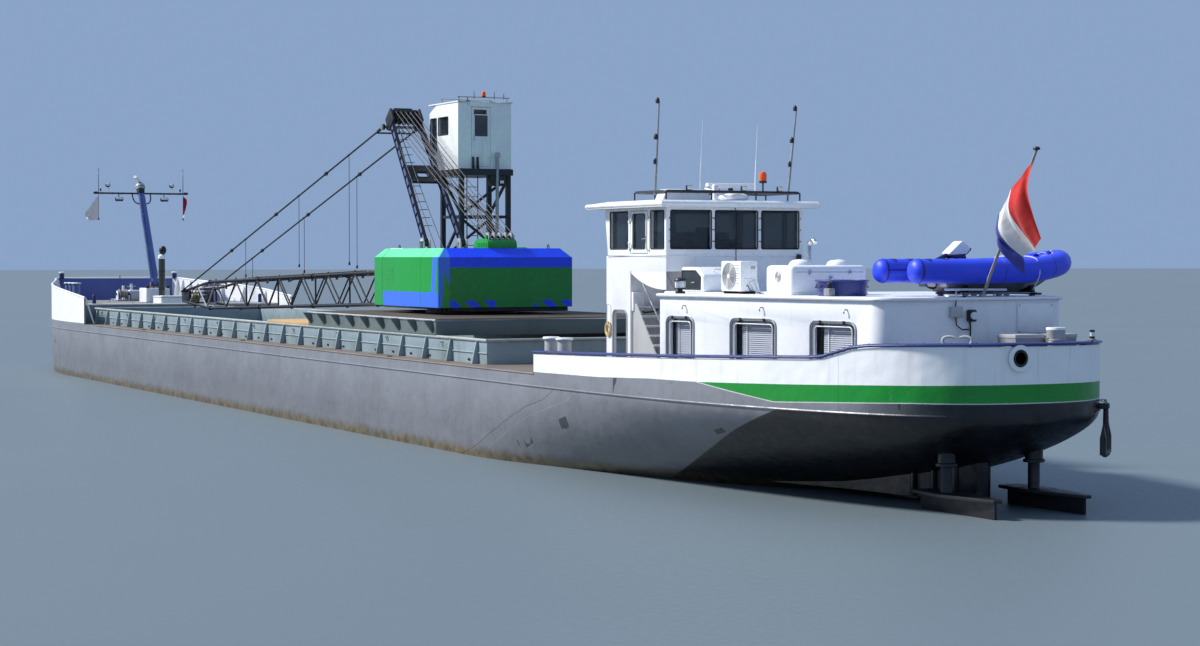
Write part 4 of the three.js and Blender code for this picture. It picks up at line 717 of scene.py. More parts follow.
def side_of_house(x):
    """Half-width of the house at a distance, along its slanting sides."""
    (x0, y0), (x1, y1) = (4.35, 2.07), (10.3, 3.2)
    return y0 + (x - x0) * (y1 - y0) / (x1 - x0)


def house_window(piece, x0, x1, side, blind):
    low, high = 2.52, 3.34
    for inset, corner, out, thick, material, sides in (
            (-0.045, 0.15, 0.012, 0.016, light_grey, 8), (0.01, 0.10, 0.010, 0.009, rubber, 6),
            (0.06, 0.08, -0.004, 0.012, white, 6)):
        edge = rounded((x0 + inset, x1 - inset), (low + inset, high - inset), corner, 6)
        piece.tube([(x, side * (side_of_house(x) + out), z) for x, z in edge], thick, material, sides, True)
    for x in (x0 + 0.22 * (x1 - x0), x0 + 0.78 * (x1 - x0)):
        y = side * (side_of_house(x) + 0.03)
        piece.rod((x - 0.035, y, high + 0.04), (x + 0.035, y, high + 0.04), 0.013, black, 10)
        piece.box((x - 0.014, x + 0.014), (y - 0.016, y + 0.012), (high - 0.01, high + 0.04), black, 0.004)
    x = x0 + 0.15
    y = side * (side_of_house(x) + 0.02)
    piece.rod((x, y, low + 0.05), (x + 0.08, y, low + 0.05), 0.012, black, 8)
    # Blind: slats on two tapes behind the glass
    end = x0 + blind * (x1 - x0)
    for k in range(21):
        z = low + 0.02 + k * 0.039
        row = []
        for x in (x0, end):
            y = side_of_house(x) - 0.125
            row.append([(x, side * (y - 0.010), z + 0.020), (x, side * (y + 0.010), z - 0.018),
                        (x, side * (y + 0.013), z - 0.016), (x, side * (y - 0.007), z + 0.022)])
        piece.skin(row, blind_white, wrap=True, ends=True)
    for x in (x0 + 0.15 * (end - x0), x0 + 0.85 * (end - x0)):
        y = side * (side_of_house(x) - 0.10)
        piece.box((x - 0.008, x + 0.008), (y - 0.003, y + 0.003), (low, high), white)


blind_white = coat("blind_slats", (0.80, 0.83, 0.90), 0.5, vary=0.04, stains=0.05, runs=0.0)


def deckhouse_trim():
    piece = Piece("deckhouse_trim")
    for side in (1, -1):
        for (x0, x1), blind in zip(((4.71, 5.83), (6.87, 8.09), (9.28, 10.04)), (0.84, 0.88, 0.86)):
            house_window(piece, x0, x1, side, blind if side > 0 else 0.97)
        # Hooks over the windows and a rounded edge on the roof
        for x in (4.9, 7.2, 9.5):
            y = side * (side_of_house(x) + 0.03)
            piece.tube([(x, y - side * 0.03, 3.60), (x, y + side * 0.03, 3.60), (x, y + side * 0.05, 3.56),
                        (x, y + side * 0.03, 3.53)], 0.014, light_grey, 8)
    corner = [(4.03 + 0.32 - 0.355 * math.cos(a), 1.75 + 0.355 * math.sin(a))
              for a in (math.pi / 2 * k / 10 for k in range(11))]
    port = corner + [(10.335, 3.236), (10.335, 1.735), (12.86, 1.735)]
    edge = [(x, y, 3.795) for x, y in reversed(port)] + [(x, -y, 3.795) for x, y in port]
    piece.tube(edge, 0.036, shaded_white, 8, flat=0.95)
    # Aft wall: junction box, deck lamp and the conduit between them
    piece.box((3.93, 4.03), (0.30, 0.56), (3.46, 3.66), light_grey, 0.02)
    piece.box((3.90, 4.03), (0.02, 0.18), (3.38, 3.60), black, 0.03)
    piece.rod((3.90, 0.10, 3.49), (3.86, 0.10, 3.49), 0.07, lens, 16)
    piece.tube([(4.02, 0.1, 3.38), (4.0, 0.1, 3.3), (4.0, 0.1, 2.6)], 0.014, rubber, 8)
    piece.tube([(4.0, 0.42, 3.46), (3.98, 0.42, 3.32), (3.98, 0.30, 3.24), (3.99, 0.14, 3.24)],
               0.012, rubber, 8)
    piece.tube([(4.0, 0.43, 3.66), (3.98, 0.43, 3.78), (4.0, 0.2, 3.84)], 0.012, rubber, 8)
    # Screws of the bare plate
    for y in (-0.98, -1.71):
        for z in (3.19, 3.67):
            piece.lathe([(0.012, 3.974), (0.012, 3.986), (0.004, 3.99)], (0, y, z), zinc, "x", 10)
    # Electrical socket box and pipe on the roof's port edge
    piece.box((5.55, 5.75), (2.02, 2.16), (3.84, 3.98), grey, 0.02)
    piece.lathe([(0.05, 3.98), (0.05, 4.06), (0.035, 4.08)], (5.65, 2.09, 0), black, "z", 12)
    piece.make("ship")


deckhouse_trim()


def lantern():
    piece = Piece("roof_lantern")
    x, y, z = 9.9, 2.95, HOUSE_ROOF
    piece.lathe([(0.10, 0.0), (0.10, 0.04), (0.05, 0.05), (0.05, 0.08), (0.125, 0.09), (0.125, 0.11)],
                (x, y, z), black)
    piece.lathe([(0.10, 0.11), (0.105, 0.16), (0.105, 0.22), (0.10, 0.25)], (x, y, z), lens, "z", 24)
    piece.lathe([(0.125, 0.25), (0.13, 0.27), (0.11, 0.30), (0.06, 0.318), (0.01, 0.32)], (x, y, z), black)
    for a in turns(4):
        px, py = x + 0.118 * math.cos(a + 0.4), y + 0.118 * math.sin(a + 0.4)
        piece.rod((px, py, z + 0.1), (px, py, z + 0.26), 0.007, zinc, 6)
    piece.make("ship", ("roof_vent",))


lantern()


def air_conditioner():
    piece = Piece("air_conditioner_unit")
    x0, x1, y0, y1, z0, z1 = 8.8, 9.6, 1.8, 2.2, 3.88, 4.48
    piece.box((x0, x1), (y0, y1 - 0.01), (z0, z1), white, 0.03, 3)
    for x in (x0 + 0.05, x1 - 0.11):
        piece.box((x, x + 0.06), (y0 + 0.02, y1 - 0.04), (HOUSE_ROOF, z0 + 0.01), rubber, 0.01)
    fan = (9.26, 2.19, 4.18)
    piece.lathe([(0.25, 0.0), (0.275, 0.0), (0.272, 0.014), (0.255, 0.018), (0.25, 0.012)], fan,
                light_grey, "y", 36)
    # Dark disc behind the fan grille: painted shade inside the housing.
    piece.lathe([(0.25, 0.0), (0.25, 0.003), (0.01, 0.003)], fan, painted_shade_fill, "y", 32)
    for k in range(7):
        r = 0.035 + 0.033 * k
        piece.tube(hoop("y", moved(fan, (0, 0.018, 0)), r, r, 30), 0.005, light_grey, 5, True)
    for a in turns(8):
        piece.rod((fan[0] + 0.03 * math.cos(a), fan[1] + 0.018, fan[2] + 0.03 * math.sin(a)),
                  (fan[0] + 0.25 * math.cos(a), fan[1] + 0.018, fan[2] + 0.245 * math.sin(a)),
                  0.006, light_grey, 5)
    piece.lathe([(0.05, 0.004), (0.045, 0.022), (0.01, 0.025)], fan, white, "y", 20)
    for a in turns(5):
        c, s = math.cos(a), math.sin(a)
        blade = [[(fan[0] + r * c - w * s, fan[1] + 0.004, fan[2] + r * s + w * c),
                  (fan[0] + r * c + w * s, fan[1] + 0.011, fan[2] + r * s - w * c)]
                 for r, w in ((0.04, 0.03), (0.15, 0.07), (0.22, 0.08))]
        piece.skin(blade, grey)
    # Aft end: service cover, valves and lagged pipes down to the roof
    piece.box((x0 - 0.012, x0 + 0.01), (y0 + 0.05, y1 - 0.09), (z0 + 0.06, z0 + 0.26), white, 0.01)
    piece.box((x0 - 0.008, x0 + 0.01), (y0 + 0.06, y0 + 0.16), (z1 - 0.16, z1 - 0.10), light_grey, 0.004)
    for y, z in ((1.90, 4.10), (1.98, 4.06)):
        piece.tube([(x0, y, z), (x0 - 0.06, y, z), (x0 - 0.10, y - 0.03, z - 0.06),
                    (x0 - 0.10, y - 0.06, 3.90), (x0 - 0.16, y - 0.14, 3.862),
                    (x0 - 0.42, y - 0.28, 3.855)], 0.02, white, 8)
    piece.tube([(x0, 2.06, 4.0), (x0 - 0.05, 2.06, 4.0), (x0 - 0.08, 2.02, 3.90), (x0 - 0.30, 1.9, 3.85)],
               0.010, rubber, 6)
    for k in range(9):
        z = z0 + 0.10 + 0.05 * k
        piece.box((x0 + 0.06, x0 + 0.30), (y1 - 0.012, y1 - 0.006), (z, z + 0.012), grey)
    piece.make("ship", ("air_conditioner",))


air_conditioner()


def companion_hood():
    piece = Piece("companion_hood_shell")
    piece.prism([(11.6, HOUSE_ROOF), (12.6, HOUSE_ROOF), (12.6, 4.35), (11.9, 4.35), (11.6, 4.18)], "y",
                (0.7, 1.5), white, 0.05, 4)
    pane = [(11.72, 3.88), (12.54, 3.88), (12.54, 4.27), (11.94, 4.27), (11.72, 4.14)]
    piece.tube([(x, 1.502, z) for x, z in pane], 0.016, rubber, 6, True)
    piece.prism(pane, "y", (1.49, 1.506), pane_painted_shade_reflection)
    piece.rod((11.9, 1.54, 4.03), (12.08, 1.54, 4.02), 0.012, stainless, 8)
    piece.rod((12.0, 1.50, 4.03), (12.0, 1.54, 4.03), 0.012, stainless, 8)
    piece.tube([(11.7, 1.0, 4.25), (11.66, 1.0, 4.3), (11.66, 1.2, 4.3), (11.7, 1.2, 4.25)],
               0.012, stainless, 8)
    piece.make("ship", ("companion_hood",))


def pane_material():
    """Opaque glass coloured dark as painted shade of the room behind it, with soft bands of painted
    reflection from its surroundings.
    """
    graph = Graph("pane_painted_shade_reflection")
    # Soft noise bands: painted reflection.
    band = graph.step(graph.noise(1.2, 3, 0.5, (1, 1, 2.6), seed=2.0), 0.35, 0.7)
    colour = graph.mix(band, linear((0.06, 0.075, 0.09)), linear((0.17, 0.20, 0.24)))
    return graph.finish(colour, 0.06, bump=graph.noise(1.1, 2), height=0.003, worn=0.03, IOR=1.5,
                        Specular_IOR_Level=0.9)


pane_painted_shade_reflection = pane_material()
companion_hood()


def roof_locker():
    piece = Piece("roof_locker_shell")
    piece.box((7.0, 8.0), (0.4, 2.1), (HOUSE_ROOF, 4.40), white, 0.09, 5)
    piece.box((6.985, 8.015), (0.385, 2.115), (3.832, 3.88), white, 0.02)
    for y in (0.8, 1.65):
        piece.lathe([(0.215, 4.37), (0.215, 4.41), (0.19, 4.46), (0.13, 4.50), (0.05, 4.514), (0.002, 4.515)],
                    (7.45, y, 0), white, "z", 28)
    # Round louvred vent to port, lid seam and catches
    for k in range(6):
        r = 0.10 - 0.016 * k
        piece.tube(hoop("y", (7.5, 2.105, 4.18), r, r, 24), 0.008, light_grey, 6, True)
    for x in (7.0, 8.0):
        piece.tube([(x, 0.5, 4.27), (x, 2.0, 4.27)], 0.008, light_grey, 6)
    for y in (0.8, 1.7):
        piece.box((6.975, 7.0), (y - 0.03, y + 0.03), (4.22, 4.31), stainless, 0.006)
    piece.box((6.97, 7.0), (1.2, 1.26), (4.12, 4.20), stainless, 0.008)
    pipe = [(7.85, 4.35), (7.85, 4.74), (7.83, 4.83), (7.76, 4.88), (7.68, 4.88), (7.62, 4.83)]
    piece.tube(spline([(x, 1.2, z) for x, z in pipe], 3), 0.045, stainless, 12)
    piece.lathe([(0.075, 4.38), (0.075, 4.41), (0.05, 4.42)], (7.85, 1.2, 0), stainless)
    piece.make("ship", ("roof_locker",))


roof_locker()


def roof_tub():
    piece = Piece("roof_tub_shell")
    piece.lathe([(0.02, 0.055), (0.43, 0.06), (0.455, 0.27), (0.47, 0.295), (0.505, 0.30), (0.518, 0.285),
                 (0.505, 0.265), (0.485, 0.255), (0.47, 0.10), (0.45, 0.0), (0.02, 0.0)], (6.0, 1.6, 3.832),
                rail_blue, "z", 40)
    for side in (1, -1):
        grip = [(-0.1, 0.49, 4.04), (-0.1, 0.515, 3.99), (0.1, 0.515, 3.99), (0.1, 0.49, 4.04)]
        piece.tube([(6.0 + x, 1.6 + side * y, z) for x, y, z in grip], 0.012, rubber, 8)
    piece.make("ship", ("roof_tub",))


roof_tub()


# Wheelhouse: frames round the panes, gear on the roof, and what is seen inside
def wheelhouse_trim():
    piece = Piece("wheelhouse_trim")
    low, high = 4.74, 5.56
    for y0, y1 in ((-1.59, -0.65), (-0.55, 0.50), (0.60, 1.59)):
        piece.tube(pane("x", 12.9, (y0, y1), (low, high)), 0.016, rubber, 6, True)
        for y in (y0 - 0.035, y1 + 0.035):
            for z in (4.9, 5.15, 5.4):
                piece.lathe([(0.012, 12.88), (0.012, 12.9)], (0, y, z), black, "x", 8)
    for y0, y1 in ((-1.59, -0.04), (0.04, 1.59)):
        piece.tube([(15.72 + 0.16 * (z - 4.58) / 1.05 + 0.002, y, z)
                    for y, z in rounded((y0, y1), (low, high), 0.03, 3)], 0.016, rubber, 6, True)
    for side, spans in ((1, ((13.0, 13.62), (14.72, 15.6))),
                        (-1, ((13.0, 13.62), (13.7, 14.64), (14.72, 15.6)))):
        for x0, x1 in spans:
            piece.tube(pane("y", side * 1.701, (x0, x1), (low, high)), 0.015, rubber, 6, True)
    # Seam and drip strip where the band sits in the lower body
    for z, r in ((4.585, 0.014), (5.645, 0.02)):
        piece.tube([(12.885, -1.715, z), (12.885, 1.715, z), (15.70, 1.715, z), (15.70, -1.715, z)],
                   r, white, 8, True)
    # Rounded edge all round the roof
    piece.tube([(12.62, -1.94, 5.70), (12.62, 1.94, 5.70), (16.30, 1.94, 5.70), (16.39, 1.85, 5.70),
                (16.39, -1.85, 5.70), (16.30, -1.94, 5.70)], 0.045, white, 10, True)
    # Wipers on the forward panes
    for y in (-0.8, 0.8):
        piece.tube([(15.84, y, 5.60), (15.80, y + 0.1, 5.3), (15.77, y + 0.25, 5.02)], 0.010, black, 6)
    # Handrail and hooks beside the door, and a socket on the aft wall
    piece.tube([(13.72, 1.70, 4.70), (13.72, 1.76, 4.74), (13.72, 1.76, 5.38), (13.72, 1.70, 5.42)],
               0.014, stainless, 8)
    piece.tube([(12.89, 0.02, 5.62), (12.84, 0.02, 5.55), (12.88, 0.0, 4.55), (12.88, 0.0, 4.30)],
               0.009, rubber, 6)
    piece.box((12.82, 12.9), (-1.62, -1.52), (4.40, 4.62), black, 0.02)
    piece.make("ship")


wheelhouse_trim()


def wheelhouse_inside():
    piece = Piece("wheelhouse_interior")
    piece.box((13.0, 15.62), (-1.56, 0.76), (4.02, 4.06), fitting, 0.006)
    piece.prism([(15.0, 4.06), (15.55, 4.06), (15.58, 4.80), (15.35, 4.98), (15.05, 4.86)], "y", (-1.4, 1.35),
                fitting, 0.03, 3)
    for y in (-0.9, -0.45, 0.0, 0.55, 0.95):
        piece.box((15.08, 15.34), (y - 0.16, y + 0.16), (4.94, 5.12), black, 0.02)
        piece.box((15.07, 15.09), (y - 0.14, y + 0.14), (4.96, 5.10), lens, 0.004)
    piece.lathe([(0.26, 4.07), (0.24, 4.12), (0.06, 4.14), (0.05, 4.42), (0.12, 4.46)],
                (14.35, 0.1, 0), stainless)
    piece.box((14.12, 14.58), (-0.14, 0.34), (4.46, 4.58), black, 0.05, 3)
    piece.box((14.06, 14.18), (-0.12, 0.32), (4.56, 5.22), black, 0.05, 3)
    for y in (-0.2, 0.4):
        piece.box((14.16, 14.5), (y - 0.04, y + 0.04), (4.70, 4.76), black, 0.03, 3)
    piece.box((13.05, 13.45), (-1.5, -0.4), (4.06, 4.62), fitting, 0.02)
    piece.box((13.05, 13.5), (-1.5, -0.3), (4.62, 4.66), light_grey, 0.01)
    piece.lathe([(0.20, 14.72), (0.22, 14.735), (0.20, 14.75)], (0, 0.1, 4.72), black, "x", 28)
    # Ceiling and lower walls in shade
    piece.box((13.0, 15.6), (-1.6, 1.6), (5.60, 5.62), light_grey)
    for z in (4.60, 4.68):
        piece.tube([(12.99, -1.6, z), (12.99, 1.6, z)], 0.02, fitting, 8)
    piece.make("ship")


wheelhouse_inside()


def roof_gear():
    """Rail of dark tube with lamp poles, whips, beacon, horn and a flat radome beside the scanner."""
    piece = Piece("wheelhouse_roof_gear")
    base, rail = 5.78, 5.97
    x0, x1, half = 12.97, 14.48, 1.66
    piece.tube(pane("z", rail, (x0, x1), (-half, half), 0.12, 4), 0.032, dark_steel, 8, True)
    piece.tube([(13.5, -half, rail), (13.5, half, rail)], 0.028, dark_steel, 8)
    for x in (12.98, 13.5, 14.47):
        for y in (-half, -0.55, 0.55, half):
            piece.rod((x, y, base), (x, y, rail), 0.018, dark_steel, 8)
            piece.lathe([(0.05, base), (0.05, base + 0.012), (0.02, base + 0.02)], (x, y, 0), zinc, "z", 12)
    for y, top in ((1.66, 7.93), (-1.66, 7.86)):
        lean = 0.10 if y > 0 else 0.22
        piece.tube([(13.5, y, 5.9), (13.5, y - 0.5 * lean, 6.9), (13.5, y - lean, top)],
                   [0.03, 0.026, 0.018], zinc, 10)
        for z, r in ((top, 0.045), (7.15, 0.05), (6.62, 0.035)):
            shift = y - lean * (z - 5.9) / (top - 5.9)
            piece.lathe([(0.02, -0.06), (r, -0.05), (r, 0.03), (0.6 * r, 0.06), (0.01, 0.07)],
                        (13.44, shift + 0.07, z), black, "z", 14)
            piece.rod((13.5, shift, z - 0.03), (13.44, shift + 0.07, z - 0.03), 0.012, black, 6)
    for y, top in ((0.83, 7.5), (-0.53, 7.44)):
        piece.tube([(12.97, y, 6.0), (12.97, y, 6.3), (12.97, y - 0.02, 6.8), (12.97, y - 0.05, top)],
                   [0.02, 0.018, 0.008, 0.004], white, 8)
    # Beacon
    piece.rod((12.97, -0.72, 5.97), (12.97, -0.72, 6.18), 0.018, black, 8)
    piece.lathe([(0.06, 6.17), (0.085, 6.18), (0.085, 6.22)], (12.97, -0.72, 0), black)
    piece.lathe([(0.075, 6.22), (0.08, 6.25), (0.08, 6.36), (0.06, 6.41), (0.01, 6.425)], (12.97, -0.72, 0),
                orange, "z", 24)
    # Small floodlights and a horn on the rail
    for y in (-0.2, -1.1, 1.15):
        piece.box((12.86, 12.95), (y - 0.06, y + 0.06), (6.0, 6.1), black, 0.015)
        piece.box((12.852, 12.87), (y - 0.05, y + 0.05), (6.01, 6.09), lens, 0.008)
    piece.lathe([(0.018, 13.1), (0.02, 13.4), (0.05, 13.55), (0.09, 13.62)], (0, 0.3, 6.02), zinc, "x", 18)
    # Roof box with sloping ends, and the radome with its small mast
    piece.prism([(1.72, base), (1.60, 6.02), (0.72, 6.02), (0.45, base)], "x", (13.05, 13.42), white, 0.03, 3)
    piece.lathe([(0.10, base), (0.36, 5.80), (0.40, 5.84), (0.38, 5.90), (0.28, 5.945), (0.1, 5.96),
                 (0.01, 5.965)], (13.3, -0.1, 0), white, "z", 36)
    piece.box((13.22, 13.34), (0.24, 0.36), (base, 6.14), white, 0.03, 3)
    # Pedestal and drive of the scanner
    piece.lathe([(0.14, base), (0.14, 5.81), (0.10, 5.84), (0.09, 5.98), (0.11, 6.01), (0.11, 6.03)],
                (14.2, -0.6, 0), white)
    piece.make("ship", ("wheelhouse_gear",))


roof_gear()


def radar_bar(name, body, node, centre, half, tilt=0.0, yaw=0.0):
    """Slotted bar scanner, a little shorter than the solid that it stands for."""
    turn = Matrix.Translation(Vector(centre)) @ Matrix.Rotation(tilt, 4, "Y") @ Matrix.Rotation(yaw, 4, "Z")
    piece = Piece(name, turn)
    profile = [(-0.065, 0.06), (-0.05, 0.055), (0.045, 0.06), (0.066, 0.085), (0.066, 0.14), (0.045, 0.163),
               (-0.05, 0.163), (-0.066, 0.15)]
    piece.skin([[(x, y, z) for x, z in profile] for y in (-half, half)], white, wrap=True, ends=True)
    piece.box((0.060, 0.069), (-half + 0.03, half - 0.03), (0.09, 0.135), light_grey, 0.004)
    piece.lathe([(0.055, 0.002), (0.06, 0.02), (0.05, 0.06)], (0, 0, 0), black)
    piece.make(body, (node,))


radar_bar("radar_aft_scanner", "radar_aft", "radar_aft", (14.2, -0.6, 6.0406), 0.6)


def trunk_fittings():
    """Porch edge, electrical box and handrails round the stair."""
    piece = Piece("trunk_fittings")
    for side in (1, -1):
        piece.tube(pane("y", side * 1.702, (14.76, 15.47), (2.10, 3.39), 0.15, 6), 0.022, light_grey, 8, True)
        piece.tube([(15.62, side * 1.72, 3.5), (15.62, side * 1.78, 3.5), (15.62, side * 1.78, 3.1),
                    (15.62, side * 1.72, 3.1)], 0.014, stainless, 8)
    # Electrical box at the head of the stair, its pane and cable
    piece.box((14.50, 14.59), (1.42, 1.68), (3.37, 3.79), white, 0.015)
    piece.box((14.492, 14.505), (1.46, 1.64), (3.52, 3.72), lens, 0.006)
    piece.tube([(14.54, 1.44, 3.38), (14.54, 1.38, 3.33), (14.54, 1.10, 3.36), (14.56, 0.95, 3.50)],
               0.014, rubber, 6)
    # Guard plate on the port side of the stair, its lower edge curved upwards
    sweep = [(12.92 + 1.64 * k / 8, 3.86 + 0.34 * (k / 8) ** 2.2) for k in range(9)]
    piece.prism([(14.56, 4.25), (12.92, 4.25)] + sweep, "y", (1.68, 1.697), white)
    piece.tube([(13.16, 1.66, 2.10), (13.16, 1.66, 3.05), (13.22, 1.66, 3.12), (14.50, 1.66, 4.42)],
               0.018, stainless, 8)
    piece.tube([(13.12, 0.92, 3.0), (14.4, 0.92, 4.2)], 0.018, white, 8)
    for k in range(7):
        z, x = 2.04 + 0.205 * (k + 1), 13.19 + 0.19 * k
        piece.box((x + 0.005, x + 0.03), (0.95, 1.61), (z - 0.002, z + 0.008), white, 0.003)
    # Coiled hose on the port front pillar
    for r in (0.09, 0.115, 0.14):
        piece.tube(hoop("y", (15.66, 1.735, 2.95), r, 1.15 * r, 20), 0.014, rope_tan, 6, True)
    piece.make("ship")


rope_tan = coat("tan_rope", (0.76, 0.66, 0.48), 0.8, vary=0.15, stains=0.3, runs=0.0, bump=2.0)
trunk_fittings()


def door_fittings():
    piece = Piece("wheelhouse_door_fittings")
    piece.prism([(13.9, 4.74), (14.48, 4.74), (14.48, 5.50), (13.9, 5.50)], "y", (1.662, 1.672), pane_painted_shade_reflection)
    piece.tube(pane("y", 1.70, (13.9, 14.48), (4.74, 5.50), 0.04), 0.014, rubber, 6, True)
    piece.box((13.835, 13.875), (1.698, 1.712), (4.86, 5.02), stainless, 0.008)
    piece.rod((13.855, 1.70, 4.96), (13.855, 1.75, 4.96), 0.012, stainless, 8)
    piece.rod((13.85, 1.745, 4.96), (13.96, 1.745, 4.95), 0.012, stainless, 8)
    piece.make("wheelhouse_door")


door_fittings()


# Dinghy across the aft roof: tubes, hull, lines, thwart and outboard
DINGHY = (4.85, -0.9, 4.3)
tube_blue = coat("dinghy_blue", (0.17, 0.28, 0.93), 0.42, vary=0.07, stains=0.18, stain=(0.28, 0.34, 0.72),
                 runs=0.1, run=(0.35, 0.38, 0.60), bump=0.8)
tube_seam = coat("dinghy_trim", (0.07, 0.10, 0.50), 0.5, vary=0.08, stains=0.1, runs=0.0)
rope_white = coat("white_rope", (0.84, 0.82, 0.78), 0.85, vary=0.12, stains=0.25, stain=(0.5, 0.46, 0.4),
                  runs=0.0, bump=2.0)
boat_grey = coat("dinghy_hull", (0.50, 0.50, 0.53), 0.45, vary=0.08, stains=0.35,
                 stain=(0.40, 0.38, 0.38), runs=0.1)


def tube_line(lift=0.0, reach=0.0):
    """The tube's centre line, moved out by reach and up by lift."""
    spots = spline([(-0.58, 2.0, 0), (-0.60, 0.3, 0), (-0.56, -0.7, 0.03), (-0.30, -1.38, 0.13),
                    (0, -1.56, 0.17), (0.30, -1.38, 0.13), (0.56, -0.7, 0.03), (0.60, 0.3, 0),
                    (0.58, 2.0, 0)], 9)
    out = []
    for i, p in enumerate(spots):
        along = (spots[min(i + 1, len(spots) - 1)] - spots[max(i - 1, 0)]).normalized()
        side = Vector((along.y, -along.x, 0)).normalized() * -1
        out.append(p + side * reach + Vector((0, 0, lift)))
    return out


def dinghy():
    piece = Piece("dinghy_hull", Matrix.Translation(DINGHY))
    spots = tube_line()
    piece.tube(spots, 0.226, tube_blue, 24)
    for x in (-0.58, 0.58):
        piece.lathe([(0.226, 1.995), (0.222, 2.02), (0.185, 2.08), (0.11, 2.12), (0.05, 2.13)], (x, 0, 0),
                    tube_blue, "y", 24)
        piece.lathe([(0.2265, 1.955), (0.229, 1.96), (0.229, 1.99), (0.2265, 1.995)], (x, 0, 0),
                    tube_seam, "y", 24)
        # Dart-shaped patches on the upper side
        for y in (1.77, 1.39, 0.55):
            for turn in (1, -1):
                rows = []
                for degrees, wide in ((84, 0.075), (72, 0.06), (58, 0.035), (44, 0.004)):
                    a = math.radians(degrees)
                    px, pz = x + turn * 0.2285 * math.cos(a), 0.2285 * math.sin(a)
                    rows.append([(px, y - wide, pz), (px, y + wide, pz)])
                piece.skin(rows, tube_seam)
    # Rubbing strake, seam welts and patches with handles
    piece.tube(tube_line(0.02, 0.222), 0.013, tube_seam, 8)
    for share in (0.14, 0.30, 0.44, 0.56, 0.70, 0.86):
        index = int(share * (len(spots) - 1))
        a, b = spots[index], spots[index + 1]
        side = Vector((b.y - a.y, a.x - b.x, 0)).normalized()
        ring = [a + 0.2265 * (math.cos(angle) * side + math.sin(angle) * Vector((0, 0, 1)))
                for angle in turns(16)]
        piece.tube(ring, 0.006, tube_seam, 5, True)
    grab = tube_line(0.175, 0.135)
    for share in (0.06, 0.16, 0.26, 0.36, 0.46, 0.54, 0.64, 0.74, 0.84, 0.94):
        index = int(share * (len(grab) - 1))
        p = grab[index]
        piece.lathe([(0.055, -0.012), (0.055, 0.0), (0.03, 0.012), (0.012, 0.018)], (p.x, p.y, p.z + 0.012),
                    tube_seam, "z", 12)
    line = []
    for i, p in enumerate(grab):
        if 3 < i < len(grab) - 3:
            sag = 0.03 * math.sin(math.pi * (i * 10 / len(grab) % 1)) ** 2
            line.append((p.x * 1.02, p.y * 1.01, p.z + 0.03 - sag))
    piece.tube(line, 0.011, rope_white, 6)
    # Rigid hull, floor, thwart and transom
    rows = []
    for y, half, keel, edge in ((1.25, 0.52, -0.36, -0.10), (0.6, 0.54, -0.39, -0.10),
                                (-0.1, 0.52, -0.395, -0.09), (-0.7, 0.44, -0.37, -0.06),
                                (-1.1, 0.30, -0.28, 0.02), (-1.36, 0.12, -0.13, 0.08)):
        rows.append([(share * half, y, edge + depth * (keel - edge))
                     for share, depth in ((-1, 0), (-0.62, 0.45), (-0.3, 0.78), (0, 1), (0.3, 0.78),
                                          (0.62, 0.45), (1, 0))])
    piece.skin(rows, boat_grey)
    piece.tube([(0, row[3][1], row[3][2] - 0.004) for row in rows], 0.018, boat_grey, 8)
    piece.prism([(-0.40, 1.24), (0.40, 1.24), (0.42, -0.5), (0.2, -1.1), (-0.2, -1.1), (-0.42, -0.5)], "z",
                (-0.15, -0.12), fitting)
    for k in range(9):
        y = -0.9 + 0.24 * k
        piece.box((-0.38, 0.38), (y, y + 0.012), (-0.122, -0.112), boat_grey)
    piece.box((-0.50, 0.50), (-0.15, 0.17), (0.085, 0.125), light_grey, 0.015)
    piece.box((-0.46, 0.46), (1.20, 1.262), (-0.30, 0.17), boat_grey, 0.02)
    piece.box((-0.14, 0.14), (1.185, 1.28), (0.02, 0.20), black, 0.015)
    # Oars along the tubes, fuel tank and a painter coiled forward
    for x in (-0.40, 0.40):
        piece.rod((x, -0.75, 0.19), (x * 1.03, 0.85, 0.21), 0.016, stainless, 10)
        piece.box((x * 1.03 - 0.055, x * 1.03 + 0.055), (0.85, 1.2), (0.195, 0.215), tube_seam, 0.009)
    piece.box((-0.22, 0.12), (0.72, 0.98), (-0.11, 0.10), red, 0.05, 3)
    for k in range(3):
        r = 0.10 + 0.03 * k
        piece.tube(hoop("z", (0, -0.75, -0.10 + 0.012 * k), r, r, 18), 0.012, rope_white, 6, True)
    # Lashing over the bow down to the cradle
    half = [(0.60, -0.58, -0.35), (0.80, -0.58, -0.05), (0.72, -0.58, 0.19), (0.56, -0.58, 0.255)]
    lashing = [(-x, y, z) for x, y, z in half] + [(0.0, -0.57, 0.27)] + half[::-1]
    piece.tube(spline(lashing, 4), 0.012, rope_white, 6)
    piece.make("ship", ("dinghy",))


dinghy()


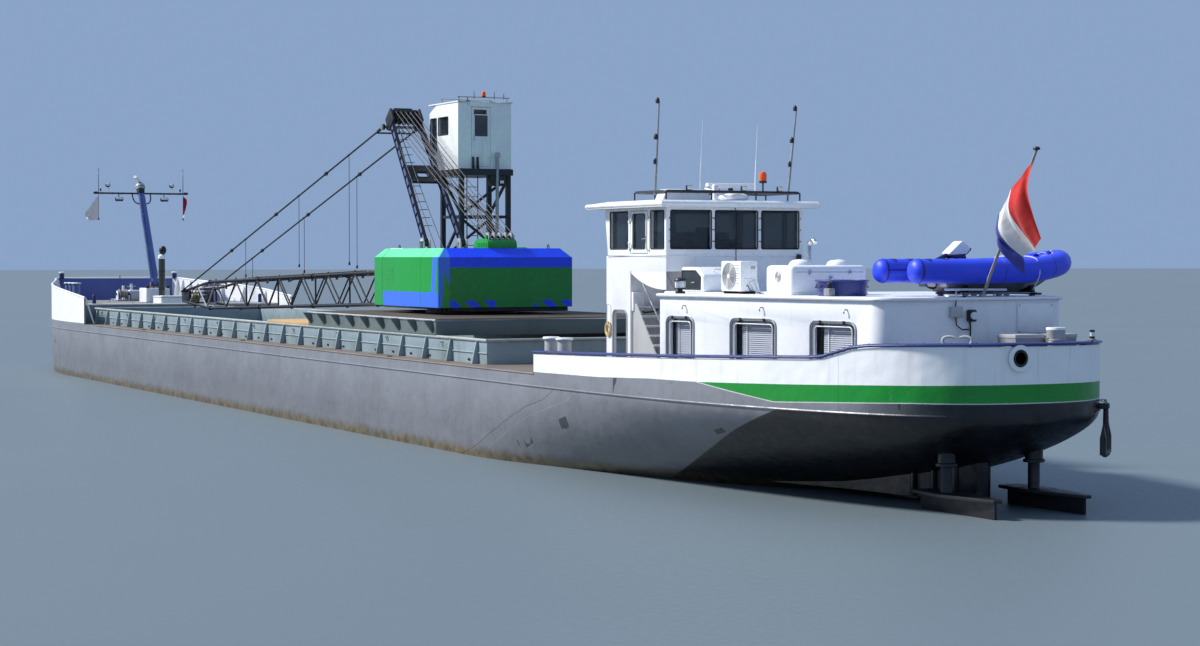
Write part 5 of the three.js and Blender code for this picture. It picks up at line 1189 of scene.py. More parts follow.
def outboard():
    piece = Piece("outboard_cowl", Matrix.Translation(DINGHY))
    # Tilted up: the cowl leans over the boat and the leg points aft over the transom
    piece.prism([(0.60, 0.30), (0.93, 0.28), (0.975, 0.325), (0.70, 0.553), (0.655, 0.553), (0.507, 0.44),
                 (0.507, 0.39)], "x", (-0.136, 0.136), white, 0.035, 4)
    piece.prism([(0.565, 0.228), (0.875, 0.228), (0.925, 0.285), (0.60, 0.305)], "x",
                (-0.118, 0.118), navy, 0.02, 3)
    piece.skin([[(-0.139, 0.60, z), (0.139, 0.60, z), (0.139, y, z - 0.019), (-0.139, y, z - 0.019)]
                for y, z in ((0.935, 0.305), (0.942, 0.318))], black, wrap=True)
    piece.prism([(0.84, 0.30), (0.94, 0.335), (1.62, 0.045), (1.60, -0.035), (1.54, -0.03)], "x",
                (-0.042, 0.042), navy, 0.02, 3)
    piece.prism([(1.485, 0.075), (1.53, 0.09), (1.585, -0.085), (1.54, -0.10)], "x",
                (-0.018, 0.018), navy, 0.006)
    piece.prism([(1.40, 0.10), (1.56, 0.035), (1.565, 0.05), (1.41, 0.115)], "x", (-0.09, 0.09), navy, 0.004)
    piece.lathe([(0.03, 1.60), (0.035, 1.65), (0.01, 1.69)], (0, 0, 0.005), black, "y", 14)
    for a in turns(3):
        c, s = math.cos(a + 0.3), math.sin(a + 0.3)
        piece.skin([[(r * c - w * s, 1.645 - 0.012, 0.005 + r * s + w * c),
                     (r * c + w * s, 1.645 + 0.012, 0.005 + r * s - w * c)]
                    for r, w in ((0.03, 0.015), (0.075, 0.035), (0.105, 0.022))], black)
    piece.box((-0.085, 0.085), (1.185, 1.275), (0.06, 0.175), black, 0.012)
    piece.box((-0.05, 0.05), (1.10, 1.19), (0.10, 0.22), black, 0.02, 3)
    piece.rod((0.0, 0.57, 0.262), (0.0, 0.47, 0.36), 0.016, black, 10)
    piece.rod((0.0, 0.50, 0.33), (0.0, 0.41, 0.415), 0.024, rubber, 12)
    for x in (-0.06, 0.06):
        piece.rod((x, 1.16, 0.10), (x, 1.20, 0.10), 0.012, zinc, 8)
    piece.tube([(0.05, 0.66, 0.25), (0.10, 0.80, 0.16), (0.08, 0.86, 0.02), (0.0, 0.85, -0.08)],
               0.012, rubber, 6)
    piece.make("ship", ("outboard_motor",))


outboard()


def cradle():
    piece = Piece("dinghy_cradle_frame", Matrix.Translation(DINGHY))
    base = HOUSE_ROOF + 0.003 - DINGHY[2]
    for x in (-0.40, 0.40):
        piece.tube([(x, -0.80, base + 0.05), (x, 0.90, base + 0.05)], 0.024, zinc, 10)
        for y in (-0.7, 0.05, 0.8):
            piece.box((x - 0.05, x + 0.05), (y - 0.04, y + 0.04), (base, base + 0.03), zinc, 0.008)
    for y in (-0.7, 0.8):
        piece.tube([(-0.42, y, base + 0.05), (0.42, y, base + 0.05)], 0.026, zinc, 10)
        for side in (1, -1):
            piece.prism([(side * 0.42, base + 0.07), (side * 0.42, -0.262), (0, -0.398), (0, base + 0.07)],
                        "y", (y - 0.05, y + 0.05), rubber, 0.012)
    piece.box((-0.60, -0.44), (-0.78, -0.62), (base + 0.02, base + 0.06), black, 0.01)
    # Spare pole on brackets beside the frame, a flat bracket, and a loop of black line
    piece.rod((-0.56, 1.36, -0.335), (-0.56, 0.0, -0.345), 0.022, white, 10)
    for y in (0.25, 1.1):
        piece.rod((-0.56, y, -0.34), (-0.52, y, base + 0.01), 0.014, zinc, 8)
    piece.box((-0.64, -0.50), (1.08, 1.32), (base, base + 0.028), white, 0.008)
    loop = [(-0.56, 1.80, -0.20), (-0.56, 1.74, -0.29), (-0.56, 1.66, -0.315), (-0.56, 1.57, -0.29),
            (-0.55, 1.52, -0.21)]
    piece.tube(spline(loop, 4), 0.011, rubber, 6)
    piece.make("ship", ("dinghy_cradle",))


cradle()

# Flagstaff with its truck and halyard, and the flag hung from it
STAFF_FOOT, STAFF_HEAD, STAFF_Y = Vector((4.045, -0.2, 3.85)), Vector((2.45, -0.2, 6.44)), -0.2


def flagstaff():
    piece = Piece("flagstaff_pole")
    down = (STAFF_FOOT - STAFF_HEAD).normalized()
    piece.tube([STAFF_FOOT, STAFF_HEAD], [0.03, 0.023], pole_grey, 14)
    piece.lathe([(0.02, 0.0), (0.062, 0.008), (0.066, 0.03), (0.05, 0.055), (0.02, 0.065)],
                (STAFF_HEAD.x, STAFF_Y, STAFF_HEAD.z), black)
    piece.box((3.99, 4.10), (STAFF_Y - 0.05, STAFF_Y + 0.05), (3.832, 3.88), zinc, 0.01)
    for share in (0.0, 0.07):
        spot = STAFF_FOOT - down * share * 3.0
        ring = [spot + 0.032 * Vector((math.cos(a) * 0.85, math.sin(a), math.cos(a) * 0.52))
                for a in turns(14)]
        piece.tube(ring, 0.010, zinc, 6, True)
    halyard = [STAFF_HEAD + Vector((0, 0.03, -0.02)), STAFF_FOOT - down * 0.35 + Vector((0, 0.036, 0))]
    piece.tube(halyard, 0.004, rope_white, 5)
    piece.make("ship", ("flagstaff",))


pole_grey = coat("weathered_pole", (0.60, 0.57, 0.54), 0.55, vary=0.12, stains=0.3, runs=0.2)
flagstaff()


def cloth_coat(name, colour):
    graph = Graph(name)
    worn = graph.weather(linear(colour), vary=0.07, stains=0.2,
                         stain=tuple(0.75 * c + 0.12 for c in colour), runs=0.0)
    threads = graph.both(graph.noise(160, 1, 0.4, (1, 1, 0.2)), graph.noise(160, 1, 0.4, (0.2, 1, 1)))
    return graph.finish(worn, 0.85, bump=threads, height=0.0008, Sheen_Weight=0.2)


STRIPES = [cloth_coat("flag_red", (0.80, 0.14, 0.12)), cloth_coat("flag_white", (0.90, 0.90, 0.89)),
           cloth_coat("flag_blue", (0.22, 0.26, 0.60))]


def cloth(name, body, grid, materials, shares):
    """A sheet through a grid of points, with a material for each share of its rows."""
    mesh = bpy.data.meshes.new(name)
    rows, columns = len(grid), len(grid[0])
    mesh.from_pydata([at(*p) for line in grid for p in line], [],
                     [(i * columns + j, i * columns + j + 1, (i + 1) * columns + j + 1,
                       (i + 1) * columns + j) for i in range(rows - 1) for j in range(columns - 1)])
    for material in materials:
        mesh.materials.append(material)
    for face in mesh.polygons:
        face.use_smooth = True
        face.material_index = sum((face.index // (columns - 1) + 0.5) / (rows - 1) > share
                                  for share in shares)
    piece = bpy.data.objects.new(name, mesh)
    scene.collection.objects.link(piece)
    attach(piece, body)
    return piece


# Edges of the stern flag from the staff's head: how far to the side, how far down and how far off
FLAG_TOP = [(-0.037, 0.14, 0.08), (-0.143, 0.67, 0.08), (-0.037, 1.15, 0.08), (0.104, 1.555, 0.08)]
FLAG_LOW = [(-0.56, 1.41, 0.78), (-0.54, 1.70, 0.78), (-0.31, 1.98, 0.78), (-0.047, 2.21, 0.78)]
FLAG_HOIST = [(-0.037, 0.14, 0.08), (-0.358, 0.67, 0.35), (-0.54, 1.095, 0.60), (-0.56, 1.41, 0.78)]
FLAG_FLY = [(0.104, 1.555, 0.08), (0.02, 1.75, 0.30), (-0.108, 1.89, 0.55), (-0.047, 2.21, 0.78)]
ASIDE, OFF = Vector((-0.4377, -0.899, 0)), Vector((0.899, -0.4377, 0))


def stern_flag():
    """The flag as it hangs in folds: a patch between its four edges."""
    rows, columns = 36, 32

    def along(edge, count):
        points = spline(edge, 24)
        return [points[round(k * (len(points) - 1) / count)] for k in range(count + 1)]
    top, low = along(FLAG_TOP, columns), along(FLAG_LOW, columns)
    hoist, fly = along(FLAG_HOIST, rows), along(FLAG_FLY, rows)
    grid = []
    for i in range(rows + 1):
        line = []
        for j in range(columns + 1):
            t, s = i / rows, j / columns
            spot = (1 - t) * top[j] + t * low[j] + (1 - s) * hoist[i] + s * fly[i]
            spot -= (1 - t) * ((1 - s) * top[0] + s * top[-1]) + t * ((1 - s) * low[0] + s * low[-1])
            free = math.sin(math.pi * t) ** 0.6 * (0.35 + 0.65 * math.sin(math.pi * s))
            side = 0.050 * math.sin(15 * t + 2.6 * s) + 0.022 * math.sin(31 * t - 4.0 * s + 1.0)
            depth = 0.085 * math.sin(15 * t + 2.6 * s + 1.4) + 0.03 * math.sin(24 * t + 5.0 * s)
            line.append(STAFF_HEAD + ASIDE * (spot.x + free * side) + OFF * (spot.z + free * depth)
                        - Vector((0, 0, spot.y)))
        grid.append(line)
    piece = cloth("flag_cloth", "ship", grid, STRIPES, (1 / 3, 2 / 3))
    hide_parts("stern_flag")


stern_flag()


# Stern fittings: fairlead ring, horn cleats, stern light, bollards with their rope
def stern_fittings():
    piece = Piece("stern_fittings")
    # Ring with a flange round the hole in the bulwark
    eye = (0, 0.40, 2.79)
    for x in (2.075, 2.19):
        piece.lathe([(0.235, x - 0.012), (0.235, x + 0.012), (0.11, x + 0.012), (0.11, x - 0.012)],
                    eye, white, "x", 28)
    piece.lathe([(0.155, 2.06), (0.14, 2.045), (0.115, 2.06), (0.108, 2.10), (0.108, 2.16)],
                eye, black, "x", 28)
    # Dark disc in the ring's hole: painted shade.
    piece.lathe([(0.107, 2.060), (0.107, 2.066)], eye, painted_shade_fill, "x", 24)
    # Cleat on the port quarter of the rail: two low horns that curl towards each other
    near, far = Vector((2.36, 1.24, 0)), Vector((2.68, 1.60, 0))
    for flip in (False, True):
        horn = []
        for share, z in ((0.04, 3.03), (-0.02, 3.08), (0.0, 3.135), (0.10, 3.165),
                         (0.28, 3.17), (0.40, 3.155)):
            spot = near.lerp(far, 1 - share if flip else share)
            horn.append((spot.x, spot.y, z))
        path = spline(horn, 4)
        piece.tube(path, [0.034 - 0.012 * k / len(path) for k in range(len(path))], light_grey, 10)
        foot = near.lerp(far, 0.94 if flip else 0.06)
        piece.lathe([(0.055, 3.02), (0.055, 3.045), (0.03, 3.055)], (foot.x, foot.y, 0), light_grey, "z", 14)
    # Stern light on its bracket, at the rail's starboard quarter
    light = (2.41, -1.41, 0)
    piece.box((2.36, 2.46), (-1.46, -1.36), (3.06, 3.10), zinc, 0.01)
    piece.lathe([(0.045, 3.10), (0.05, 3.12), (0.05, 3.14)], light, black)
    piece.lathe([(0.04, 3.14), (0.042, 3.22)], light, lens)
    piece.lathe([(0.05, 3.22), (0.05, 3.245), (0.02, 3.26)], light, black)
    # Studs of the rail cap
    for k in range(9):
        x = 2.3 + 0.18 * k * (1 + 0.25 * k)
        y = half_at(x) - 0.03
        piece.rod((x, y, bulwark_top(x) + 0.055), (x, y, bulwark_top(x) + 0.073), 0.012, rail_blue, 8)
    piece.make("ship")


stern_fittings()


def bollard(piece, x, y, foot, height, radius, tone, cap, rim=0.04):
    z = foot + height
    piece.lathe([(radius, foot), (radius, z - 0.075), (radius + 0.8 * rim, z - 0.06),
                 (radius + rim, z - 0.045)], (x, y, 0), tone, "z", 32)
    piece.lathe([(radius + rim, z - 0.045), (radius + rim, z - 0.018), (radius + 0.6 * rim, z - 0.002),
                 (0.01, z + 0.002)], (x, y, 0), cap, "z", 32)


def rope_turns(piece, x, y, z, radius, rounds, material):
    """Rope or chain wound upwards round a post."""
    reach = radius + 0.017
    path = []
    for k in range(int(20 * rounds)):
        a = 2 * math.pi * k / 20
        path.append((x + reach * math.cos(a), y + reach * math.sin(a), z + 0.036 * k / 20))
    piece.tube(path, 0.018, material, 8)


def deck_bollards():
    for name, x, y, deck, height, posts, tone in (
            ("stern_bollards_port", 3.05, 1.0, 2.05, 0.55, 2, grey),
            ("side_bollards_port", 14.0, 3.74, 2.05, 0.79, 2, light_grey),
            ("side_bollards_starboard", 14.0, -3.74, 2.05, 0.79, 2, light_grey),
            # The bow bollards' blue-grey bodies are painted shade on white posts.
            ("bow_bollards_port", 62.53, 2.9, 2.752, 0.79, 3, blue_grey_light_and_shade),
            ("bow_bollards_starboard", 62.53, -2.9, 2.752, 0.79, 3, blue_grey_light_and_shade)):
        piece = Piece(name + "_posts")
        reach = 0.33 * (posts - 1)
        piece.box((x - reach - 0.22, x + reach + 0.22), (y - 0.19, y + 0.19),
                  (deck, deck + 0.028), tone, 0.008)
        for k in range(posts):
            bollard(piece, x - reach + 0.66 * k, y, deck + 0.02, height - 0.015, 0.15, tone, white)
        if posts == 2:
            rope_turns(piece, x - 0.33, y, deck + 0.18, 0.15, 3.6, rope_tan)
        if "side" in name:
            figure = []
            for k in range(73):
                a = 2 * math.pi * k / 24
                figure.append((x + 0.50 * math.cos(a), y + 0.175 * math.sin(2 * a),
                               deck + 0.36 + 0.038 * k / 24))
            piece.tube(figure, 0.018, rope_tan, 8)
        piece.make("ship", (name,))
    piece = Piece("stern_mooring_post")
    bollard(piece, 2.75, -0.87, 2.045, 1.255, 0.165, light_grey, white, 0.012)
    for y0, y1 in ((-1.45, -1.02), (-0.72, -0.10)):
        piece.box((2.90, 3.45), (y0, y1), (2.045, 3.165), grey, 0.02)
        piece.box((2.895, 3.455), (y0 - 0.01, y1 + 0.01), (3.10, 3.17), light_grey, 0.012)
    piece.box((2.95, 3.45), (-1.02, -0.72), (2.045, 3.15), grey, 0.02)
    rope_turns(piece, 2.75, -0.87, 3.02, 0.155, 2.3, zinc)
    piece.make("ship", ("stern_bollards_starboard",))


deck_bollards()


def anchor():
    turn = Matrix.Translation((2.669, -1.931, 1.4)) @ Matrix.Rotation(math.radians(45), 4, "Z")
    piece = Piece("stern_anchor_forging", turn)
    piece.tube([(0, 0, 0.52), (0, 0, 0.1), (0, 0, -0.36)], [0.045, 0.055, 0.075], black, 12)
    piece.tube([(0, -0.42, -0.36), (0, -0.1, -0.385), (0, 0.1, -0.385), (0, 0.42, -0.36)],
               [0.05, 0.08, 0.08, 0.05], black, 10)
    for side in (1, -1):
        rows = []
        for x, far, far_z, near, near_z in ((0.055, 0.43, -0.40, 0.30, -0.40),
                                            (0.055, 0.43, -0.1, 0.305, -0.1), (0.02, 0.425, 0.06, 0.37, 0.10),
                                            (0.008, 0.34, 0.175, 0.33, 0.18)):
            rows.append([(-x, side * far, far_z), (x, side * far, far_z), (x, side * near, near_z),
                         (-x, side * near, near_z)])
        piece.skin(rows, black, wrap=True, ends=True)
    piece.tube(hoop("x", (0, 0, 0.50), 0.075, 0.075, 20), 0.018, zinc, 8, True)
    piece.box((-0.06, 0.145), (-0.12, 0.12), (0.41, 0.51), black, 0.02)
    for k in range(4):
        link = hoop("z" if k % 2 else "y", (0.06 + 0.05 * k, 0, 0.565), 0.035, 0.02, 14)
        piece.tube(link, 0.009, zinc, 6, True)
    piece.make("ship", ("stern_anchor",))


anchor()


# Crane's machine house with its painted panels
def house_panels():
    """Sides in green, light blue and mint, ends in bright blue over dark green, placed by position."""
    graph = Graph("house_livery")
    x, y, z = graph.x, graph.y, graph.z
    fresh = graph.weather(linear((0.06, 0.60, 0.21)), vary=0.06, stains=0.12, stain=(0.12, 0.42, 0.2),
                          runs=0.12, chips=0.15)
    dark = graph.weather(linear((0.03, 0.52, 0.20)), vary=0.10, stains=0.15, stain=(0.08, 0.40, 0.16),
                         runs=0.1, chips=0.15)
    mint = graph.weather(linear((0.40, 0.85, 0.62)), vary=0.05, stains=0.12, stain=(0.5, 0.66, 0.56),
                         runs=0.05, chips=0.15)
    sky = graph.weather(linear((0.23, 0.45, 0.92)), vary=0.05, stains=0.1, stain=(0.3, 0.42, 0.7),
                        runs=0.1, chips=0.1)
    bright = graph.weather(linear((0.06, 0.27, 0.98)), vary=0.06, stains=0.1, stain=(0.1, 0.16, 0.5),
                           runs=0.1, chips=0.15)
    # Long sides: a light blue band at the foot that sweeps up beside the aft edge
    foot = graph.both(graph.below(z, 3.63), graph.below(x, 29.4))
    slant = graph.plus(25.62, graph.both(graph.minus(z, 3.23), -0.17))
    sweep = graph.both(graph.below(x, graph.plus(slant, 0.28)), graph.above(x, graph.plus(slant, -0.02)))
    side = graph.mix(foot, fresh, sky)
    side = graph.mix(sweep, side, sky)
    side = graph.mix(graph.above(z, 4.565), side, mint)
    # Aft and forward ends
    end = graph.mix(graph.above(z, 4.29), dark, bright)
    phase = graph.math("FRACT", graph.both(graph.plus(y, graph.both(z, -1.0)), 1.8))
    stripes = graph.both(graph.below(z, 3.42), graph.above(phase, 0.5))
    stripes = graph.both(stripes, graph.above(graph.size(graph.plus(y, 0.25)), 0.55))
    end = graph.mix(stripes, end, bright)
    column = graph.above(y, 1.62)
    corner = graph.mix(graph.above(graph.both(graph.minus(1.95, y), 3.0), graph.minus(4.75, z)), fresh, sky)
    corner = graph.mix(graph.above(y, graph.plus(1.80, graph.both(graph.minus(z, 3.9), -0.07))), corner, sky)
    end = graph.mix(graph.both(column, graph.below(z, 4.9)), end, corner)
    facing_end = graph.above(graph.size(graph.nx), 0.60)
    colour = graph.mix(facing_end, side, end)
    on_top = graph.both(graph.above(graph.nz, 0.9), graph.above(z, 4.7))
    colour = graph.mix(on_top, colour, graph.mix(graph.step(graph.noise(2, 4), 0.4, 0.6), fresh, mint))
    dents = graph.plus(graph.both(graph.noise(1.2, 2, seed=2.0), 3.0), graph.both(graph.noise(50, 3), 0.2))
    return graph.finish(colour, 0.3, bump=dents, height=0.004, worn=0.08)


livery = house_panels()
mint_paint = coat("mint_enamel", (0.40, 0.85, 0.62), 0.35, vary=0.05, stains=0.12, runs=0.05)
dark_green = coat("dark_green", (0.03, 0.56, 0.22), 0.35, vary=0.1, stains=0.15, runs=0.1, chips=0.2)


def machine_house():
    piece = Piece("machine_house_shell")
    x0, x1, half, low, top, chamfer = 25.3, 30.1, 1.95, 3.2335, 4.8, 0.24
    rings = [pane("z", z, (x0 + inset, x1 - inset), (-half + inset, half - inset), 0.05)
             for inset, z in ((0, low), (0, 3.9), (0, top - chamfer), (chamfer, top))]
    piece.skin(rings, livery, wrap=True, ends=True)

    def seam(a, b):
        """A narrow dark strip between panels."""
        piece.rod(a, b, 0.006, dark_green, 6)

    for x in (26.55, 29.45):
        for side in (1, -1):
            seam((x, side * (half - 0.002), low + 0.03), (x, side * (half - 0.002), top - chamfer))
            seam((x, side * (half - 0.002), top - chamfer), (x, side * (half - chamfer), top - 0.002))
    for x in (x0 + 0.002, x1 - 0.002):
        seam((x, -0.55, low + 0.03), (x, -0.55, top - chamfer))
        seam((x, 0.62, low + 0.03), (x, 0.62, top - chamfer))
    # Louvres on both sides and a door on the starboard side
    for side in (1, -1):
        for k in range(7):
            z = 3.95 + 0.055 * k
            piece.box((28.55, 29.15), (side * half - 0.004, side * half + 0.004), (z, z + 0.02),
                      dark_green if side < 0 else livery, 0.004)
    piece.tube([(27.2, -half - 0.004, 3.35), (27.2, -half - 0.004, 4.45), (27.95, -half - 0.004, 4.45),
                (27.95, -half - 0.004, 3.35)], 0.010, black, 6, True)
    piece.rod((27.85, -half - 0.03, 3.85), (27.85, -half - 0.03, 4.0), 0.014, stainless, 8)
    # Mast foot lugs and their base plates; the pins are drawn with the mast
    for side in (1, -1):
        for shift in (-0.095, 0.095):
            y = side * 0.56 + shift
            points = [(29.7 + 0.145 * math.cos(a), 4.96 + 0.145 * math.sin(a))
                      for a in (math.pi * k / 10 for k in range(11))]
            piece.prism([(29.86, 4.79)] + points + [(29.54, 4.79)], "y", (y - 0.02, y + 0.02),
                        light_grey, 0.006)
        piece.box((29.45, 29.95), (side * 0.56 - 0.2, side * 0.56 + 0.2), (4.795, 4.815), light_grey, 0.006)
    # Exhaust, lifting eyes and a roof hatch
    piece.lathe([(0.06, 4.79), (0.06, 4.97), (0.075, 4.975), (0.075, 5.0)], (28.4, 1.2, 0), zinc)
    for x in (25.8, 29.4):
        for y in (-1.45, 1.45):
            piece.tube([(x - 0.06, y, 4.79), (x - 0.05, y, 4.87), (x, y, 4.90), (x + 0.05, y, 4.87),
                        (x + 0.06, y, 4.79)], 0.014, dark_steel, 8)
    piece.box((27.3, 28.3), (-1.5, -0.6), (4.79, 4.84), mint_paint, 0.015)
    piece.box((28.9, 29.9), (0.2, 1.55), (4.795, 4.812), white, 0.006)
    piece.make("crane", ("machine_house",))


machine_house()


def drum_cowl():
    piece = Piece("drum_cowl_shell")
    z = 4.802
    arc = [(25.68 + 0.20 * (1 - math.cos(a)) - 0.13, z + 0.10 + 0.15 * math.sin(a))
           for a in (math.pi / 2 * k / 6 for k in range(7))]
    piece.prism([(25.55, z)] + arc + [(26.3, z + 0.25), (26.45, z + 0.20), (26.55, z + 0.08), (26.55, z)],
                "y", (-0.42, 0.42), dark_green, 0.012)
    for i in range(5):
        sheave(piece, [(0.05, 0.034), (0.118, 0.030), (0.12, 0.022), (0.095, 0.008)], -0.33 + 0.165 * i,
               25.75, z + 0.3, light_grey, 28)
    piece.rod((25.75, -0.40, z + 0.3), (25.75, 0.40, z + 0.3), 0.038, dark_steel, 12)
    for y in (-0.41, 0.37):
        piece.box((25.69, 25.81), (y, y + 0.04), (z + 0.2, z + 0.35), dark_green, 0.01)
    for k in range(6):
        for side in (-1, 1):
            piece.box((25.62 + 0.12 * k, 25.65 + 0.12 * k), span(side, 0.418, 0.425),
                      (z + 0.03, z + 0.14), black)
    piece.make("crane", ("drum_cowl",))


drum_cowl()

wire = coat("wire_rope", (0.36, 0.355, 0.36), 0.5, metal=0.4, vary=0.12, stains=0.35,
            stain=(0.32, 0.27, 0.22), runs=0.0, bump=2.0)
boom_paint = coat("boom_paint", (0.115, 0.12, 0.15), 0.45, vary=0.15, stains=0.3, stain=(0.24, 0.20, 0.17),
                  runs=0.1, chips=0.5, chip=(0.32, 0.18, 0.11))
pale_lattice = coat("pale_lattice", (0.66, 0.67, 0.68), 0.5, vary=0.1, stains=0.3, runs=0.1, chips=0.4)
# Mast and its ropes
MAST_FOOT, MAST_HEAD = Vector((29.7, 0, 4.96)), Vector((32.8, 0, 8.65))
MAST_LENGTH = (MAST_HEAD - MAST_FOOT).length
MAST_UP = (MAST_HEAD - MAST_FOOT).normalized()
MAST_TURN = Matrix.Translation(MAST_FOOT) @ Matrix.Rotation(-math.atan2(MAST_UP.z, MAST_UP.x), 4, "Y")


def mast():
    """Drawn along its own length: X from foot to head, Z square to it on the aft side."""
    piece = Piece("mast_frame", MAST_TURN)
    length = MAST_LENGTH
    for side in (1, -1):
        def across(x):
            return side * (0.56 + (0.43 - 0.56) * x / length)
        # Flanged leg: a web between two flanges; the web's blue-grey is a painted highlight on the sunlit
        # side of the dark leg.
        for z0, z1, wide in ((-0.105, -0.085, 0.046), (0.085, 0.105, 0.046), (-0.09, 0.09, 0.014)):
            rows = [[(x, across(x) - wide, z0), (x, across(x) + wide, z0), (x, across(x) + wide, z1),
                     (x, across(x) - wide, z1)] for x in (0.02, length)]
            piece.skin(rows, blue_grey_light_and_shade if wide < 0.02 else dark_steel, wrap=True, ends=True)
        for k in range(12):
            x = 0.35 + k * 0.36
            piece.box((x, x + 0.014), (across(x) - 0.044, across(x) + 0.044), (-0.088, 0.088), dark_steel)
        piece.lathe([(0.044, across(0) - 0.13), (0.044, across(0) + 0.13)], (0, 0, 0), zinc, "y", 16)
        piece.lathe([(0.10, across(0) - 0.045), (0.10, across(0) + 0.045)], (0, 0, 0), dark_steel, "y", 20)
        piece.box((length - 0.30, length + 0.16), span(side, 0.41, 0.49), (-0.26, 0.26), black, 0.03)
        piece.box((length - 0.14, length + 0.02), span(side, 0.39, 0.47), (-0.40, -0.20), black, 0.03)
        piece.lathe([(0.09, side * 0.61 - 0.02), (0.09, side * 0.61 + 0.02)],
                    (length - 0.06, 0, -0.33), zinc, "y", 16)
        # Ladder rungs up the port leg
        if side > 0:
            for k in range(13):
                x = 0.5 + 0.3 * k
                piece.tube([(x, across(x) - 0.045, 0.10), (x, across(x) - 0.045, 0.17),
                            (x, across(x) - 0.28, 0.17)], 0.010, dark_steel, 6)
    # Cross plate with a rounded window, its stiffeners and bolts
    x0, x1 = 0.475 * length, 0.605 * length
    hole = (0.51 * length, 0.555 * length), (-0.17, 0.17), 0.05, 4
    outer = (x0, x1), (-0.49, 0.49), 0.01, 4
    for z in (-0.045, 0.045):
        piece.skin([pane("z", z, *outer), pane("z", z, *hole)], dark_steel, wrap=True)
    for shape in (hole, outer):
        piece.skin([pane("z", z, *shape) for z in (-0.045, 0.045)], dark_steel, wrap=True)
    piece.tube(pane("z", 0.05, *hole), 0.012, dark_steel, 6, True)
    for y in (-0.40, -0.32, 0.32, 0.40):
        for x in (x0 + 0.06, x1 - 0.06):
            piece.lathe([(0.018, 0.045), (0.018, 0.062), (0.006, 0.066)], (x, y, 0), zinc, "z", 6)
    # Head: sheaves, axle, upper guard frame and cross box
    for i in range(5):
        sheave(piece, [(0.06, 0.032), (0.198, 0.030), (0.20, 0.022), (0.165, 0.008)], -0.30 + 0.15 * i,
               length, 0, dark_steel, 32)
    piece.rod((length, -0.44, 0), (length, 0.44, 0), 0.058, zinc, 14)
    piece.rod((length - 0.06, -0.61, -0.33), (length - 0.06, 0.61, -0.33), 0.043, zinc, 14)
    piece.box((length + 0.07, length + 0.19), (-0.42, 0.42), (-0.23, 0.19), black, 0.04, 3)
    for z in (-0.14, 0.10):
        piece.tube([(length + x, y, z) for x, y in ((0.19, -0.30), (0.27, -0.27), (0.27, 0.27),
                                                    (0.19, 0.30))], 0.026, dark_steel, 8)
    for y in (-0.27, 0.27):
        piece.tube([(length + 0.27, y, -0.14), (length + 0.27, y, 0.10)], 0.022, dark_steel, 8)
    piece.make("mast", ("mast",))


mast()


def wire_run(piece, start, end, sag, steps):
    """A wire between two points that hangs by sag at its middle."""
    a, b = Vector(start), Vector(end)
    path = [a + (b - a) * (k / steps) + Vector((0, 0, -sag)) * math.sin(math.pi * k / steps)
            for k in range(steps + 1)]
    piece.tube(path, 0.012, wire, 8)


def ropes():
    """Luffing falls from the sheaves on the house to the mast head, and three wires down to the winches."""
    piece = Piece("luffing_ropes")
    for i in range(5):
        y0, y1 = -0.33 + 0.165 * i, -0.30 + 0.15 * i
        wire_run(piece, (25.66, y0, 5.19), (32.70, y1 - 0.006, 8.83), 0.05, 10)
        wire_run(piece, (25.86, y0, 5.04), (32.93, y1 + 0.006, 8.50), 0.05, 10)
    rope = piece.make(None)
    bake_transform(rope)
    piece = Piece("hoist_ropes")
    for x, y, head in ((28.2, 0.85, 0.38), (27.6, -0.62, -0.38), (29.0, 0.30, 0.22)):
        wire_run(piece, (x, y, 4.82), (32.72, head, 8.42), 0.04, 8)
    rope = piece.make(None)
    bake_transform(rope)


ropes()

# Lattice boom in round tube
BOOM_HEEL, BOOM_TIP = Vector((30.56, 0, 3.72)), Vector((55.05, 0, 3.08))
BOOM_LENGTH = (BOOM_TIP - BOOM_HEEL).length
BOOM_TURN = Matrix.Translation(BOOM_HEEL) @ Matrix.Rotation(
    math.atan2(BOOM_HEEL.z - BOOM_TIP.z, BOOM_TIP.x - BOOM_HEEL.x), 4, "Y")
BOOM_STATIONS = [(0.005, 0.22, 1.04), (0.12, 0.96, 1.15), (0.83, 0.96, 1.15), (0.985, 0.38, 1.0)]


def boom_corners(share):
    depth = interpolate([(s, d) for s, d, w in BOOM_STATIONS], share)
    width = interpolate([(s, w) for s, d, w in BOOM_STATIONS], share)
    return [(width / 2, depth / 2), (-width / 2, depth / 2), (-width / 2, -depth / 2),
            (width / 2, -depth / 2)]


